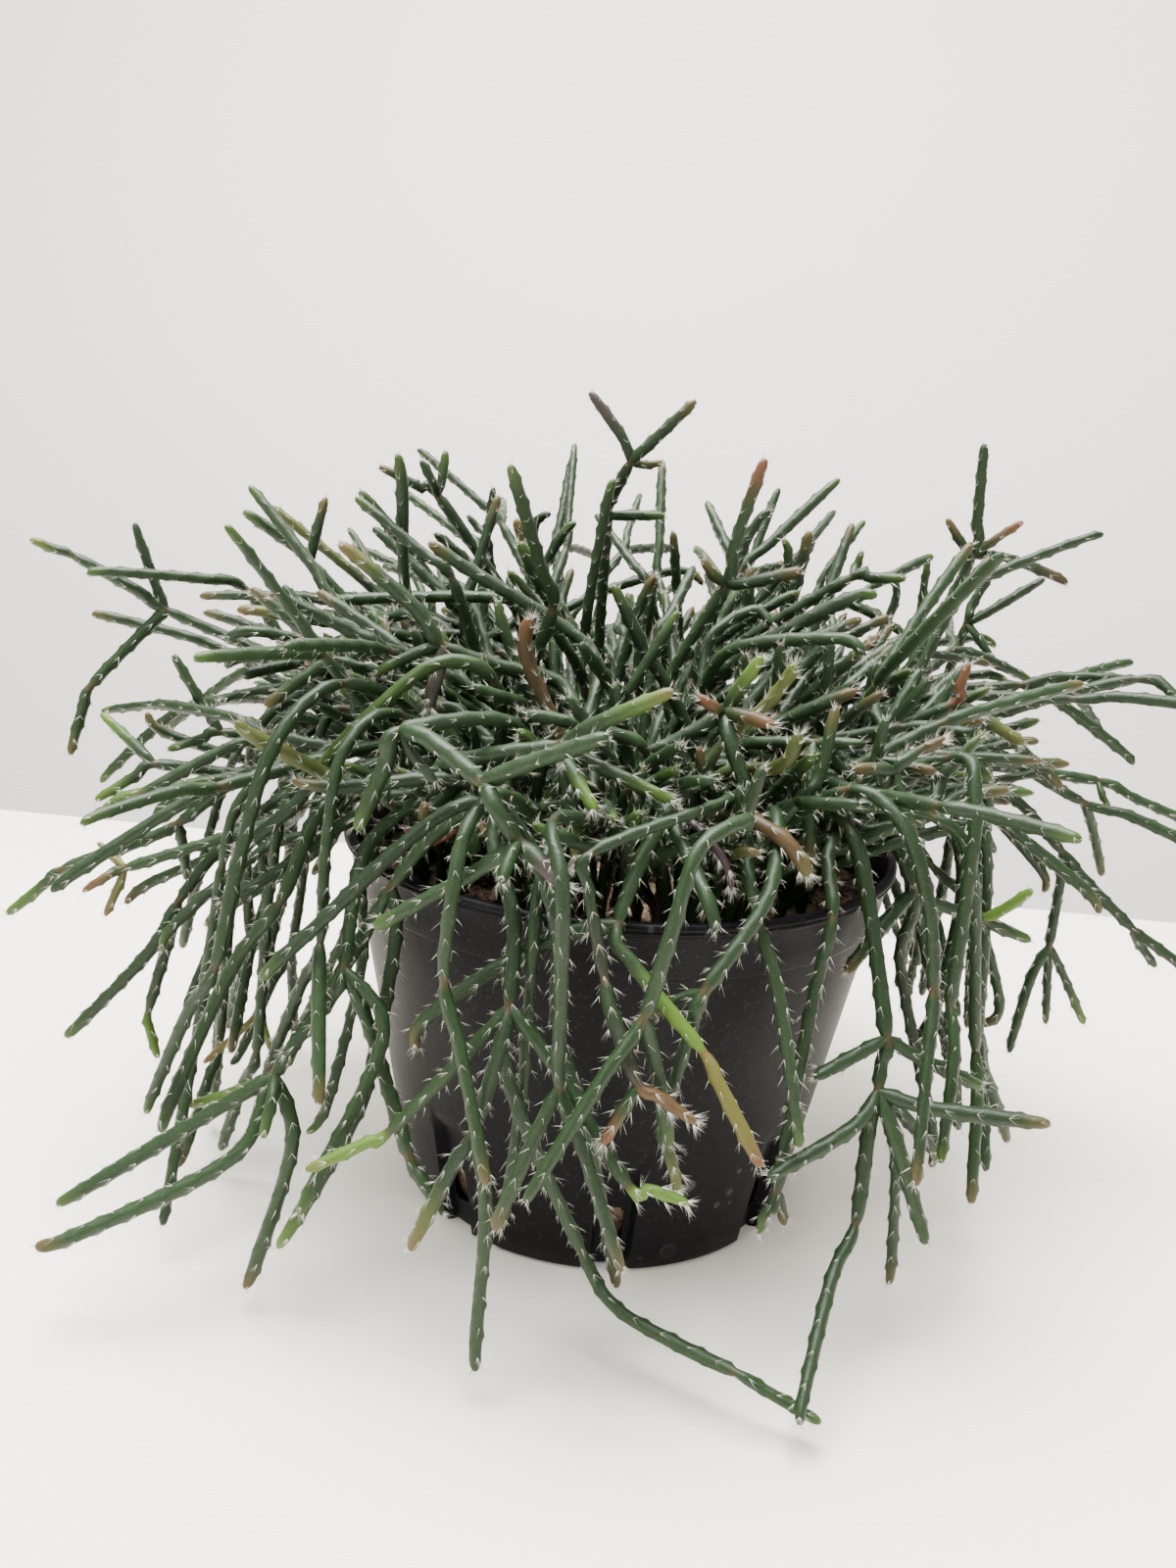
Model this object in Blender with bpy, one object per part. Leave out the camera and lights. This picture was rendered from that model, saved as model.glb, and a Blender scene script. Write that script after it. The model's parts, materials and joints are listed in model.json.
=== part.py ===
"""Mistletoe cactus, the bristly kind, in its black nursery pot.

The plant is a dense mop of jointed round stems. Each clump of stems grows from a root crown that
stands in a plain hole in the potting soil. Units are metres, +Z is up, and the origin is the
middle of the pot's base. The front of the plant faces -Y.
"""
import math
import random

import bmesh
import bpy
import numpy as np
from mathutils import Vector

MM = 0.001

# Pot
POT_RIM_RADIUS = 0.0700
POT_BASE_RADIUS = 0.0520
POT_HEIGHT = 0.0965
POT_WALL = 0.0011
POT_FLOOR = 0.0014
LIP_DROP = 0.0032
LIP_OUT = 0.0012
BAND_DROP = 0.0140
BAND_STEP = 0.0007
FLUTE_COUNT = 8
FLUTE_TURN = math.radians(6.0)
FLUTE_HALF_ANGLE = math.radians(4.4)
FLUTE_EDGE_ANGLE = math.radians(0.9)
FLUTE_TOP = 0.0330
FLUTE_DEPTH = 0.0026
SLOT_WIDTH = 0.0050
SLOT_LOW = 0.0080
SLOT_HIGH = 0.0180
DRAIN_COUNT = 6
DRAIN_RADIUS = 0.0040
DRAIN_RING = 0.0310

# Soil
GAP = 0.0003
SOIL_TOP = 0.0860
SOIL_BUMP = 0.0012
SOIL_FALL = 0.0020

# Root crowns, on two rings in the soil
CROWN_RADIUS = 0.0088
CROWN_DEPTH = 0.0130
CROWN_RINGS = ((4, 0.0190, 45.0), (8, 0.0455, 22.5))
CROWN_SIDES = 10
CROWN_PLACES = 10
CROWN_PLACE_RING = 0.0066

# Stems
STEM_RADIUS = 0.00185
STEM_SIDES = 4
JOINT_WAIST = 0.70
TIP_WAIST = 0.45
SEGMENT_LENGTH = 0.056
SHOULDER = 0.30
TIP_SHOULDER = 0.14
BENT = math.radians(20.0)
JOINT_GAIN = 0.72
JOINT_KIDS = 3
JOINT_NEAR = 0.010
JOINT_TURN = math.radians(62.0)
STEM_CLEARANCE = 0.0009
WALL_CLEARANCE = 0.0021
RELAX_STEPS = 340
JOINT_THINNING = (0.66, 0.67, 0.68, 0.69, 0.70, 0.71, 0.72, 0.74, 0.76, 0.80, 0.85, 0.90)
CLUMP_TRIES = 8            # how often a clump's union is tried
CLUMP_TURN = math.radians(7.0)
SHALLOW = 0.93             # a root direction's rise below which a stem is led up first
SLIVER_AREA = 1e-10
ROOT_SUNK = 0.0036         # how far below the soil's top a stem starts in its crown
CROWN_PULL = 0.046         # how far out a shoot looks for its crown
FLOOR_LIFT = 0.0002        # least air under a stem that lies on the surface
SEED = 41

# A stem's unseen run, from its crown to where it comes into view
FEED_STEPS = 15
FEED_LIFT = 0.45
FEED_FALL = 0.25
FEED_LEAD = 0.33
FEED_OVER = 0.008
FEED_SPARE = 0.010
FEED_NEAR = 0.012

# Growth of the stems that the front view hides
GROW_STEPS = 8
GROW_LENGTH = (0.036, 0.058)
GROW_SHORTER = 0.86
GROW_THICK = (0.88, 1.1)
GROW_THINNER = 0.96
GROW_FALL = (0.5, 1.4)
GROW_FALL_IN = 0.2
GROW_FALL_OUT = 1.6
GROW_FALL_FROM = 0.05
GROW_FALL_OVER = 0.08
GROW_LOW = 0.004
GROW_FAR = 0.235
GROW_LEVEL = 0.02
GROW_FORKS = (3, 2)
GROW_OTHER_FORKS = (2, 1)
GROW_FORK_SHARE = 0.55
GROW_BEND = (0.55, 1.15)
GROW_OUTWARD = 0.22

# Settling of the stems clear of each other
SETTLE_FINAL = 0.75        # share of the steps after which the stems no longer draw back
PAIR_STEPS = 8
PAIR_SLACK = 0.009
SETTLE_SIDEWAYS = 0.45
SETTLE_BLEND = 0.22
RIM_LOW = 0.001
RIM_SOFT = 0.2
RIM_LIFT = 0.8
RIM_SHOVE = 0.5
BETWEEN = (0.25, 0.5, 0.75)
BETWEEN_PUSH = 0.7

# Facets and cutters of the pot and the soil
SLOT_CUT = 0.008
DRAIN_SIDES = 12
DRAIN_CUT = 0.006
SOIL_SIDES = 32
SOIL_ROUGH = (-1.0, 0.4)

# Colours and roughness
PLASTIC = ("pot_plastic", (0.018, 0.017, 0.021), 0.42)
EARTH = ("potting_soil", (0.045, 0.030, 0.022), 0.95)
GREEN = ("stem_green", (0.045, 0.105, 0.050), 0.50)

# The view that the front shoots are read in: a phone camera ahead of the pot, in the
# photograph's own frame of 1200 by 1600 pixels.
VIEW_DISTANCE = 0.309
VIEW_HEIGHT = 0.187
VIEW_PITCH = math.radians(14.45)
VIEW_ROLL = math.radians(3.99)
VIEW_YAW = math.radians(-1.71)
VIEW_FOCAL = 1250.0
VIEW_MIDDLE = (600.0, 800.0)

# Front shoots, read by hand. Each has its name, what it grows from ("" is the nearest crown), its
# depth in millimetres at its root and at its end (+ is away from the viewer), its thickness beside
# the usual stem, and the picture points (column, row) that it passes, root first.
SHOOTS = (
    # High on the left
    ("kite", "", 30, 20, 1.0, (345, 700), (240, 668), (169, 629)),
    ("kite_a", "kite", 20, 15, 1.0, (169, 629), (125, 598), (73, 571)),
    ("kite_a1", "kite_a", 15, 12, 0.9, (73, 571), (33, 555)),
    ("kite_b", "kite", 20, 20, 0.9, (169, 629), (147, 573), (137, 538)),
    ("kite_c", "kite", 20, 10, 1.0, (169, 629), (120, 674), (92, 705)),
    ("kite_c1", "kite_c", 10, 5, 0.9, (92, 705), (76, 750), (72, 775)),
    ("left_dip", "", 10, 0, 1.0, (330, 762), (280, 758), (228, 756)),
    ("left_dip_a", "left_dip", 0, 0, 0.9, (228, 756), (205, 722), (179, 676)),
    ("left_dip_b", "left_dip", 0, -5, 0.9, (228, 756), (200, 765), (173, 774)),
    ("left_mid", "", 15, 5, 0.9, (300, 790), (240, 788), (199, 777), (153, 734)),
    ("left_pair", "", 0, -10, 1.0, (300, 800), (230, 800), (156, 790)),
    ("left_pair_a", "left_pair", -10, -5, 0.9, (156, 790), (125, 758), (102, 737)),
    ("left_pair_b", "left_pair", -10, -15, 0.9, (156, 790), (130, 808), (97, 828)),
    ("left_low_1", "", -5, -12, 0.9, (260, 800), (195, 800), (150, 812), (101, 843)),
    ("left_low_2", "", 5, 5, 0.9, (250, 790), (195, 805), (162, 850)),
    ("left_long", "", -15, -20, 1.0, (300, 792), (233, 807), (180, 848)),
    ("left_long_a", "left_long", -20, -25, 1.0, (180, 848), (125, 872), (62, 893)),
    ("left_long_b", "left_long_a", -25, -28, 0.9, (62, 893), (20, 927), (5, 937)),
    ("left_long_c", "left_long", -20, -15, 0.9, (180, 848), (186, 875), (190, 905)),
    ("left_droop", "", -25, -32, 0.9, (345, 846), (260, 858), (195, 874), (127, 895)),
    ("left_droop_a", "left_droop", -32, -30, 0.7, (127, 895), (102, 870)),
    ("left_droop_b", "left_droop", -32, -35, 0.7, (127, 895), (88, 918)),
    ("left_droop_c", "left_droop", -32, -32, 0.7, (127, 895), (106, 943)),
    # Upper left of the mound
    ("peak", "", 40, 30, 1.0, (540, 650), (500, 590), (445, 503)),
    ("peak_a", "peak", 30, 28, 0.9, (445, 503), (428, 470)),
    ("peak_b", "peak", 30, 32, 0.9, (445, 503), (450, 480), (452, 460)),
    ("peak_c", "peak", 30, 26, 0.9, (445, 503), (415, 488), (385, 473)),
    ("post", "", 10, 0, 1.0, (440, 650), (403, 605), (412, 535), (406, 478)),
    ("fan_1", "", 30, 25, 1.0, (480, 650), (428, 590), (401, 555), (371, 520)),
    ("fan_2", "", 35, 30, 0.9, (410, 625), (350, 580), (300, 540), (269, 520)),
    ("fan_3", "", 20, 18, 1.0, (370, 655), (335, 630), (315, 588)),
    ("fan_3a", "fan_3", 18, 15, 1.0, (315, 588), (280, 555), (246, 536)),
    ("fan_3b", "fan_3", 18, 22, 0.9, (315, 588), (323, 550), (332, 520)),
    ("ramp", "", -30, -38, 1.1, (545, 702), (500, 690), (446, 667)),
    ("ramp_a", "ramp", -38, -40, 1.1, (446, 667), (405, 612), (338, 560)),
    ("ramp_b", "ramp", -38, -46, 1.1, (446, 667), (437, 700), (430, 730)),
    ("ramp_c", "ramp", -38, -42, 0.9, (446, 667), (400, 680), (375, 697)),
    ("shelf_1", "", -10, -20, 1.0, (590, 645), (505, 620), (429, 573)),
    ("shelf_2", "", -15, -22, 1.0, (410, 700), (370, 690), (340, 683)),
    ("shelf_2a", "shelf_2", -22, -22, 1.0, (340, 683), (300, 645), (256, 611)),
    ("shelf_2b", "shelf_2", -22, -28, 1.0, (340, 683), (310, 700), (270, 730)),
    ("shelf_3", "", 10, 8, 1.0, (380, 662), (330, 637), (298, 608)),
    ("shelf_4", "", 0, -5, 1.0, (390, 660), (320, 645), (241, 638)),
    ("shelf_5", "", 20, 10, 1.0, (560, 640), (450, 625), (335, 640)),
    ("shelf_6", "", -8, -12, 0.9, (350, 668), (290, 658), (236, 667)),
    ("shelf_7", "", -12, -18, 1.0, (370, 680), (300, 670), (228, 697)),
    ("shelf_8", "", 5, 0, 0.8, (360, 700), (275, 712), (222, 728)),
    ("shelf_9", "", 45, 40, 0.9, (520, 615), (475, 575), (441, 549)),
    ("twig_1", "", 55, 50, 0.9, (510, 640), (498, 595), (492, 548)),
    ("twig_1a", "twig_1", 50, 50, 0.8, (492, 548), (476, 530)),
    ("twig_1b", "twig_1", 50, 50, 0.8, (492, 548), (499, 500)),
    # Middle of the top
    ("mast", "", 40, 36, 1.0, (612, 660), (616, 590), (622, 536)),
    ("mast_a", "mast", 36, 30, 1.0, (622, 536), (635, 500), (650, 480)),
    ("mast_b", "mast", 36, 36, 0.9, (622, 536), (650, 534), (681, 535)),
    ("mast_a1", "mast_a", 30, 28, 0.9, (650, 480), (637, 445), (607, 407)),
    ("mast_a2", "mast_a", 30, 26, 1.0, (650, 480), (680, 450), (716, 416)),
    ("mast_a3", "mast_a", 30, 30, 0.8, (650, 480), (678, 477)),
    ("mast_c", "", 28, 25, 0.9, (596, 660), (605, 580), (626, 502)),
    ("crest_1", "", 60, 55, 0.9, (540, 640), (535, 568), (560, 533)),
    ("crest_2", "", 30, 20, 1.0, (572, 668), (545, 600), (525, 543)),
    ("crest_3", "", 10, 0, 1.1, (580, 680), (552, 620), (528, 573)),
    ("crest_4", "", 42, 40, 0.9, (545, 640), (560, 590), (595, 552)),
    ("crest_5", "", 0, -5, 0.9, (570, 665), (532, 620), (516, 603)),
    ("bristle_post", "", -28, -35, 1.1, (546, 740), (538, 690), (540, 645)),
    ("crest_6", "", -8, -14, 1.0, (694, 735), (660, 685), (621, 607)),
    ("crest_7", "", 20, 18, 0.9, (640, 695), (645, 650), (668, 597)),
    ("crest_8", "", 55, 50, 0.9, (690, 650), (688, 610), (684, 560)),
    ("crest_9", "", 70, 70, 0.9, (590, 600), (640, 580), (715, 605)),
    # Upper right of the mound
    ("horn", "", -5, -8, 1.0, (680, 700), (705, 655), (733, 603)),
    ("horn_a", "horn", -8, -12, 1.0, (733, 603), (745, 550), (774, 472)),
    ("horn_b", "horn", -8, -10, 0.9, (733, 603), (713, 577)),
    ("horn_c", "horn", -8, -14, 1.0, (733, 603), (765, 600), (813, 588)),
    ("horn_d", "", 20, 18, 0.9, (722, 665), (755, 575), (790, 533)),
    ("plume", "", 20, 10, 1.0, (742, 675), (800, 633), (872, 593)),
    ("plume_a", "plume", 10, 10, 0.8, (872, 593), (880, 572)),
    ("plume_b", "plume", 10, 5, 0.9, (872, 593), (926, 594)),
    ("plume_c", "", 60, 55, 0.9, (780, 650), (812, 590), (828, 567)),
    ("plume_d", "", 42, 40, 0.9, (800, 668), (808, 610), (800, 567)),
    ("plume_e", "", -10, -20, 1.1, (742, 702), (805, 655), (850, 633), (898, 626)),
    ("plume_f", "", -20, -32, 1.0, (770, 660), (828, 657), (885, 687)),
    ("plume_g", "", 5, 0, 0.9, (735, 612), (770, 640), (790, 655)),
    ("plume_h", "", 20, 20, 0.9, (735, 655), (765, 635), (815, 615)),
    ("leaner", "", -42, -46, 1.0, (765, 800), (785, 748), (820, 697)),
    ("elbow", "", -42, -50, 1.0, (700, 868), (680, 812), (655, 776)),
    ("elbow_a", "elbow", -50, -54, 1.0, (655, 776), (690, 756), (735, 725)),
    ("elbow_b", "elbow", -50, -56, 1.0, (655, 776), (600, 748), (530, 738)),
    ("elbow_a1", "elbow_a", -54, -58, 1.0, (735, 725), (760, 690), (775, 668)),
    ("elbow_a2", "elbow_a", -54, -56, 0.9, (735, 725), (713, 710)),
    ("elbow_a3", "elbow_a", -54, -60, 1.0, (735, 725), (760, 730), (785, 738)),
    ("elbow_a4", "elbow_a", -54, -62, 1.0, (735, 725), (750, 760), (755, 842)),
    ("spike", "", 50, 40, 1.0, (880, 790), (920, 720), (970, 635), (996, 577)),
    ("spike_a", "spike", 40, 40, 1.0, (996, 577), (1002, 530), (1008, 460)),
    ("spike_b", "spike", 40, 38, 0.8, (996, 577), (971, 538)),
    ("spike_c", "spike", 40, 36, 0.8, (996, 577), (1025, 553), (1046, 543)),
    ("spike_d", "spike", 40, 38, 0.9, (996, 577), (1050, 580), (1093, 605)),
    ("rod", "", 75, 70, 0.9, (930, 770), (955, 710), (980, 640)),
    ("rod_a", "rod", 70, 70, 0.9, (980, 640), (1008, 590)),
    ("rod_b", "rod", 70, 66, 0.9, (980, 640), (1015, 618), (1060, 592)),
    ("rod_c", "rod", 70, 66, 0.9, (980, 640), (1010, 680)),
    ("rod_d", "", 95, 95, 0.9, (925, 700), (936, 650), (946, 580)),
    ("rod_e", "", 90, 90, 0.9, (880, 700), (912, 650), (905, 598)),
    ("rod_f", "", 82, 78, 0.9, (880, 680), (935, 652), (1015, 670)),
    ("rod_g", "", 62, 58, 0.9, (920, 705), (965, 688), (1030, 712)),
    ("vane", "", -5, -12, 1.0, (850, 795), (930, 748), (978, 727)),
    ("vane_a", "vane", -12, -12, 0.8, (978, 727), (993, 688)),
    ("vane_b", "vane", -12, -16, 1.0, (978, 727), (1015, 745), (1051, 768)),
    ("vane_c", "", 5, 0, 0.9, (930, 800), (976, 779), (1059, 773)),
    ("vane_d", "", -22, -28, 1.0, (880, 805), (940, 790), (1020, 815)),
    # Right side
    ("sweep", "", 35, 38, 1.0, (960, 790), (1042, 794), (1119, 810)),
    ("sweep_a", "sweep", 38, 36, 0.9, (1119, 810), (1180, 836), (1240, 862)),
    ("sweep_b", "sweep", 38, 36, 0.7, (1119, 810), (1131, 832)),
    ("sweep_c", "", 25, 22, 0.8, (990, 818), (1035, 812), (1077, 785)),
    ("arc", "", 20, 20, 1.0, (975, 815), (1040, 824), (1083, 876)),
    ("arc_a", "arc", 20, 18, 1.0, (1083, 876), (1120, 920), (1155, 953)),
    ("arc_a1", "arc_a", 18, 15, 0.9, (1155, 953), (1200, 988), (1236, 1012)),
    ("arc_a2", "arc_a", 18, 20, 0.9, (1155, 953), (1180, 990)),
    ("arc_b", "arc", 20, 20, 0.9, (1083, 876), (1081, 909), (1070, 970)),
    ("arc_b1", "arc_b", 20, 16, 0.9, (1070, 970), (1045, 1018), (1030, 1078)),
    ("arc_b2", "arc_b", 20, 20, 0.8, (1070, 970), (1067, 1047)),
    ("arc_b3", "arc_b", 20, 24, 0.8, (1070, 970), (1105, 1049)),
    ("low_arc", "", 5, 2, 1.0, (960, 812), (1030, 866), (1101, 917), (1122, 946)),
    ("tail", "", 0, 0, 0.9, (950, 905), (1012, 968), (1034, 1010), (999, 1062)),
    ("yoke", "", -25, -35, 1.0, (835, 785), (887, 866), (917, 924)),
    ("yoke_a", "yoke", -35, -48, 1.1, (917, 924), (877, 965), (846, 1001)),
    ("yoke_b", "yoke", -35, -30, 1.0, (917, 924), (953, 935), (995, 947)),
    ("yoke_b1", "yoke_b", -30, -28, 1.0, (995, 947), (1045, 968)),
    ("yoke_b2", "yoke_b", -30, -34, 0.9, (995, 947), (1024, 935), (1045, 917)),
    ("drape_1", "", 10, 10, 0.9, (1000, 835), (1050, 870), (1062, 922)),
    ("drape_2", "", -5, -8, 1.0, (960, 850), (988, 900), (960, 1000), (948, 1100)),
    ("drape_3", "", -20, -22, 0.9, (895, 850), (922, 930), (930, 980), (946, 1042)),
    ("drape_3a", "drape_3", -22, -25, 0.9, (946, 1042), (921, 1092)),
    ("drape_3b", "drape_3", -22, -20, 0.9, (946, 1042), (965, 1125)),
    ("tuft", "", -38, -46, 1.0, (868, 842), (885, 808), (903, 788)),
    ("tuft_a", "tuft", -46, -50, 1.0, (903, 788), (865, 787)),
    ("tuft_b", "tuft", -46, -52, 0.9, (903, 788), (915, 830), (928, 868)),
    ("tuft_c", "tuft", -46, -46, 0.9, (903, 788), (925, 772), (955, 758)),
    ("crook", "", -25, -34, 1.0, (765, 775), (800, 750), (843, 778)),
    ("crook_a", "crook", -34, -38, 0.9, (843, 778), (888, 778)),
    ("crook_b", "crook", -34, -42, 1.0, (843, 778), (840, 830), (838, 900)),
    ("crook_c", "crook", -34, -40, 0.9, (843, 778), (858, 812), (887, 828)),
    ("club", "", -46, -53, 1.1, (757, 890), (782, 825), (812, 768)),
    # Front of the mound
    ("crossbar", "", -52, -60, 1.1, (440, 806), (482, 789), (568, 772)),
    ("crossbar_a", "crossbar", -60, -68, 1.1, (568, 772), (604, 751), (686, 715)),
    ("crossbar_b", "crossbar", -60, -66, 1.0, (568, 772), (580, 830), (585, 894)),
    ("crossbar_c", "crossbar", -60, -66, 0.9, (568, 772), (609, 794), (686, 829)),
    ("crossbar_d", "crossbar", -60, -70, 1.0, (568, 772), (606, 838)),
    ("bow", "", -50, -62, 1.1, (500, 748), (450, 742), (417, 770)),
    ("bow_a", "bow", -62, -74, 1.2, (417, 770), (460, 792), (497, 830)),
    ("bow_b", "bow", -62, -64, 1.2, (417, 770), (398, 810), (372, 868)),
    ("bow_c", "bow", -62, -68, 0.7, (417, 770), (452, 815)),
    ("bow_a1", "bow_a", -74, -80, 1.1, (497, 830), (558, 802), (624, 783)),
    ("bow_a2", "bow_a", -74, -78, 1.1, (497, 830), (515, 856), (532, 882)),
    ("bow_a3", "bow_a2", -78, -86, 1.1, (532, 882), (558, 907), (579, 927)),
    ("bow_a4", "bow_a2", -78, -76, 1.0, (532, 882), (477, 917), (385, 965)),
    ("bow_a5", "bow_a2", -78, -84, 0.9, (532, 882), (518, 918)),
    ("arch", "", -50, -74, 0.8, (770, 866), (719, 848), (655, 852), (596, 888)),
    ("arch_a", "arch", -74, -80, 0.8, (596, 888), (597, 955), (612, 1010)),
    ("arch_b", "arch_a", -80, -90, 1.0, (612, 1010), (625, 1060), (648, 1114)),
    ("arch_b1", "arch_b", -90, -94, 0.8, (648, 1114), (611, 1175)),
    ("arch_b2", "arch_b", -90, -92, 0.8, (648, 1114), (674, 1129), (707, 1152)),
    ("grey_one", "", -56, -62, 0.6, (716, 846), (737, 873), (752, 925)),
    ("hang_1", "", -58, -76, 1.0, (672, 835), (701, 879), (735, 963)),
    ("hang_2", "", -54, -64, 1.1, (735, 845), (783, 896), (825, 930)),
    ("dead_one", "", -52, -54, 0.5, (530, 896), (487, 876), (423, 848)),
    ("slant", "", -44, -50, 1.0, (455, 696), (405, 727), (325, 810)),
    ("slant_a", "slant", -50, -52, 1.0, (325, 810), (293, 853), (240, 890)),
    ("olive", "", -46, -60, 1.1, (400, 842), (316, 815), (235, 759)),
    ("olive_a", "", -50, -56, 1.0, (440, 828), (370, 820), (306, 812)),
    # Over the left edge
    ("fall", "", -20, -32, 1.0, (345, 832), (250, 868), (187, 940)),
    ("fall_a", "fall", -32, -34, 0.9, (187, 940), (165, 1000), (153, 1050)),
    ("fall_a1", "fall_a", -34, -36, 0.8, (153, 1050), (155, 1070), (163, 1095)),
    ("fall_b", "fall", -32, -40, 1.0, (187, 940), (150, 1005), (72, 1078)),
    ("spill_1", "", -5, -10, 0.9, (260, 872), (180, 905), (134, 938)),
    ("spill_2", "", -26, -34, 0.9, (365, 888), (260, 922), (210, 958), (180, 1015)),
    ("spill_3", "", -32, -38, 0.9, (360, 925), (293, 953), (230, 1005)),
    ("spill_4", "", -38, -46, 0.9, (400, 876), (324, 914), (245, 965)),
    ("spill_5", "", -52, -64, 1.0, (450, 880), (383, 922), (283, 1021)),
    ("spill_6", "", -30, -34, 0.9, (420, 955), (360, 976), (342, 1009)),
    ("spill_7", "", -42, -60, 1.0, (330, 905), (262, 1000), (222, 1060), (180, 1180)),
    ("spill_8", "", -16, -20, 0.9, (310, 925), (285, 1000), (275, 1062)),
    ("spill_8a", "spill_8", -20, -24, 0.6, (275, 1062), (217, 1110)),
    ("spill_8b", "spill_8", -20, -20, 0.6, (275, 1062), (286, 1099)),
    ("low_left", "", -52, -72, 1.0, (425, 925), (367, 1015), (306, 1122)),
    ("low_left_a", "low_left", -72, -80, 1.1, (306, 1122), (217, 1173), (145, 1217), (82, 1253)),
    ("low_left_b", "low_left", -72, -92, 1.1, (306, 1122), (275, 1191), (209, 1250), (61, 1298)),
    ("low_left_c", "low_left", -72, -80, 1.0, (306, 1122), (324, 1186), (309, 1255), (275, 1339)),
    ("low_left_d", "low_left", -72, -78, 0.9, (306, 1122), (293, 1184)),
    ("plumb", "", -46, -60, 1.0, (432, 880), (405, 950), (395, 1037)),
    ("plumb_a", "plumb", -60, -70, 1.0, (395, 1037), (425, 1120), (452, 1217)),
    ("plumb_a1", "plumb_a", -70, -76, 0.9, (452, 1217), (483, 1271)),
    ("plumb_b", "plumb", -60, -64, 0.9, (395, 1037), (357, 1089), (327, 1118)),
    ("plumb_c", "", -58, -76, 1.0, (425, 1040), (395, 1130), (362, 1204), (306, 1291)),
    ("plumb_d", "", -62, -80, 0.9, (432, 1080), (395, 1173), (344, 1277)),
    ("plumb_e", "", -42, -50, 0.8, (415, 1060), (398, 1190), (357, 1279)),
    ("plumb_f", "", -36, -39, 0.7, (375, 1100), (311, 1219), (227, 1255)),
    # Down the front of the pot
    ("veil", "", -60, -82, 1.0, (500, 900), (526, 955), (524, 1043)),
    ("veil_a", "veil", -82, -88, 1.0, (524, 1043), (515, 1082), (487, 1165)),
    ("veil_a1", "veil_a", -88, -92, 1.0, (487, 1165), (451, 1224), (423, 1283)),
    ("veil_a2", "veil_a", -88, -97, 0.9, (487, 1165), (501, 1255), (491, 1344), (489, 1405)),
    ("veil_b", "veil", -82, -94, 0.9, (524, 1043), (589, 1128), (645, 1222)),
    ("veil_b1", "veil_b", -94, -96, 0.8, (645, 1222), (678, 1227), (704, 1240)),
    ("veil_c", "veil", -82, -84, 0.9, (524, 1043), (450, 1120), (403, 1165)),
    ("veil_c1", "veil_c", -84, -88, 0.8, (403, 1165), (352, 1189), (316, 1204)),
    ("veil_d", "veil", -82, -78, 0.9, (524, 1043), (530, 1130), (601, 1281)),
    ("veil_d1", "veil_d", -78, -97, 0.9, (601, 1281), (645, 1344), (706, 1375), (757, 1400)),
    ("veil_d2", "veil_d1", -97, -103, 0.8, (757, 1400), (844, 1450)),
    ("fork", "", -60, -74, 1.0, (690, 862), (663, 905), (632, 953)),
    ("fork_a", "fork", -74, -78, 1.0, (632, 953), (529, 961), (452, 1003), (426, 1070)),
    ("fork_b", "fork", -74, -84, 0.9, (632, 953), (660, 1015), (717, 1080)),
    ("fork_b1", "fork_b", -84, -92, 0.9, (717, 1080), (740, 1125), (776, 1196)),
    ("ribbon", "", -58, -78, 1.0, (795, 880), (736, 961), (700, 1022)),
    ("ribbon_a", "ribbon", -78, -80, 0.9, (700, 1022), (678, 1085), (660, 1155)),
    ("ribbon_a1", "ribbon_a", -80, -82, 0.8, (660, 1155), (672, 1195), (678, 1221)),
    ("ribbon_b", "ribbon", -78, -80, 0.8, (700, 1022), (640, 1052)),
    ("ribbon_c", "", -56, -72, 0.9, (742, 910), (745, 990), (770, 1064), (785, 1194)),
    ("cord", "", -50, -70, 0.9, (835, 905), (815, 1010), (797, 1120), (775, 1225)),
    ("cord_a", "cord", -70, -72, 0.8, (775, 1225), (761, 1262)),
    ("cord_b", "cord", -70, -70, 0.8, (775, 1225), (782, 1258)),
    ("under_1", "", -64, -70, 0.9, (570, 940), (565, 1040), (600, 1180), (622, 1325)),
    ("under_2", "", -62, -66, 0.8, (545, 960), (535, 1100), (525, 1200), (510, 1262)),
    # Right front
    ("root_right", "", -44, -60, 1.1, (850, 900), (882, 990), (892, 1085)),
    ("claw", "root_right", -60, -64, 1.0, (892, 1085), (893, 1121)),
    ("claw_a", "claw", -64, -72, 1.1, (893, 1121), (957, 1140), (1069, 1153)),
    ("claw_b", "claw", -64, -80, 1.0, (893, 1121), (858, 1166), (780, 1207)),
    ("claw_c", "claw", -64, -72, 1.1, (893, 1121), (916, 1191), (940, 1274)),
    ("claw_d", "claw", -64, -72, 1.0, (893, 1121), (878, 1198), (871, 1255)),
    ("claw_d1", "claw_d", -72, -105, 0.9, (871, 1255), (833, 1348), (814, 1459)),
    ("claw_e", "claw", -64, -62, 0.8, (893, 1121), (916, 1204), (905, 1316)),
    ("claw_f", "claw", -64, -58, 0.9, (893, 1121), (957, 1193)),
    ("claw_g", "root_right", -60, -70, 1.0, (892, 1085), (819, 1124)),
    ("claw_h", "root_right", -60, -54, 1.0, (892, 1085), (948, 1115), (991, 1131)),
    ("pendant", "", -28, -30, 0.9, (900, 965), (938, 1080), (941, 1201)),
)

# Shoots that no picture shows, at the back, the sides and inside the mop
BACK_PRIMARIES = 26
BACK_LEVELS = 2
BACK_SPREAD = math.radians(38.0)
BACK_DROOP = 0.30
RIM_REACH = 0.150
TOP_REACH = 0.168


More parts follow.
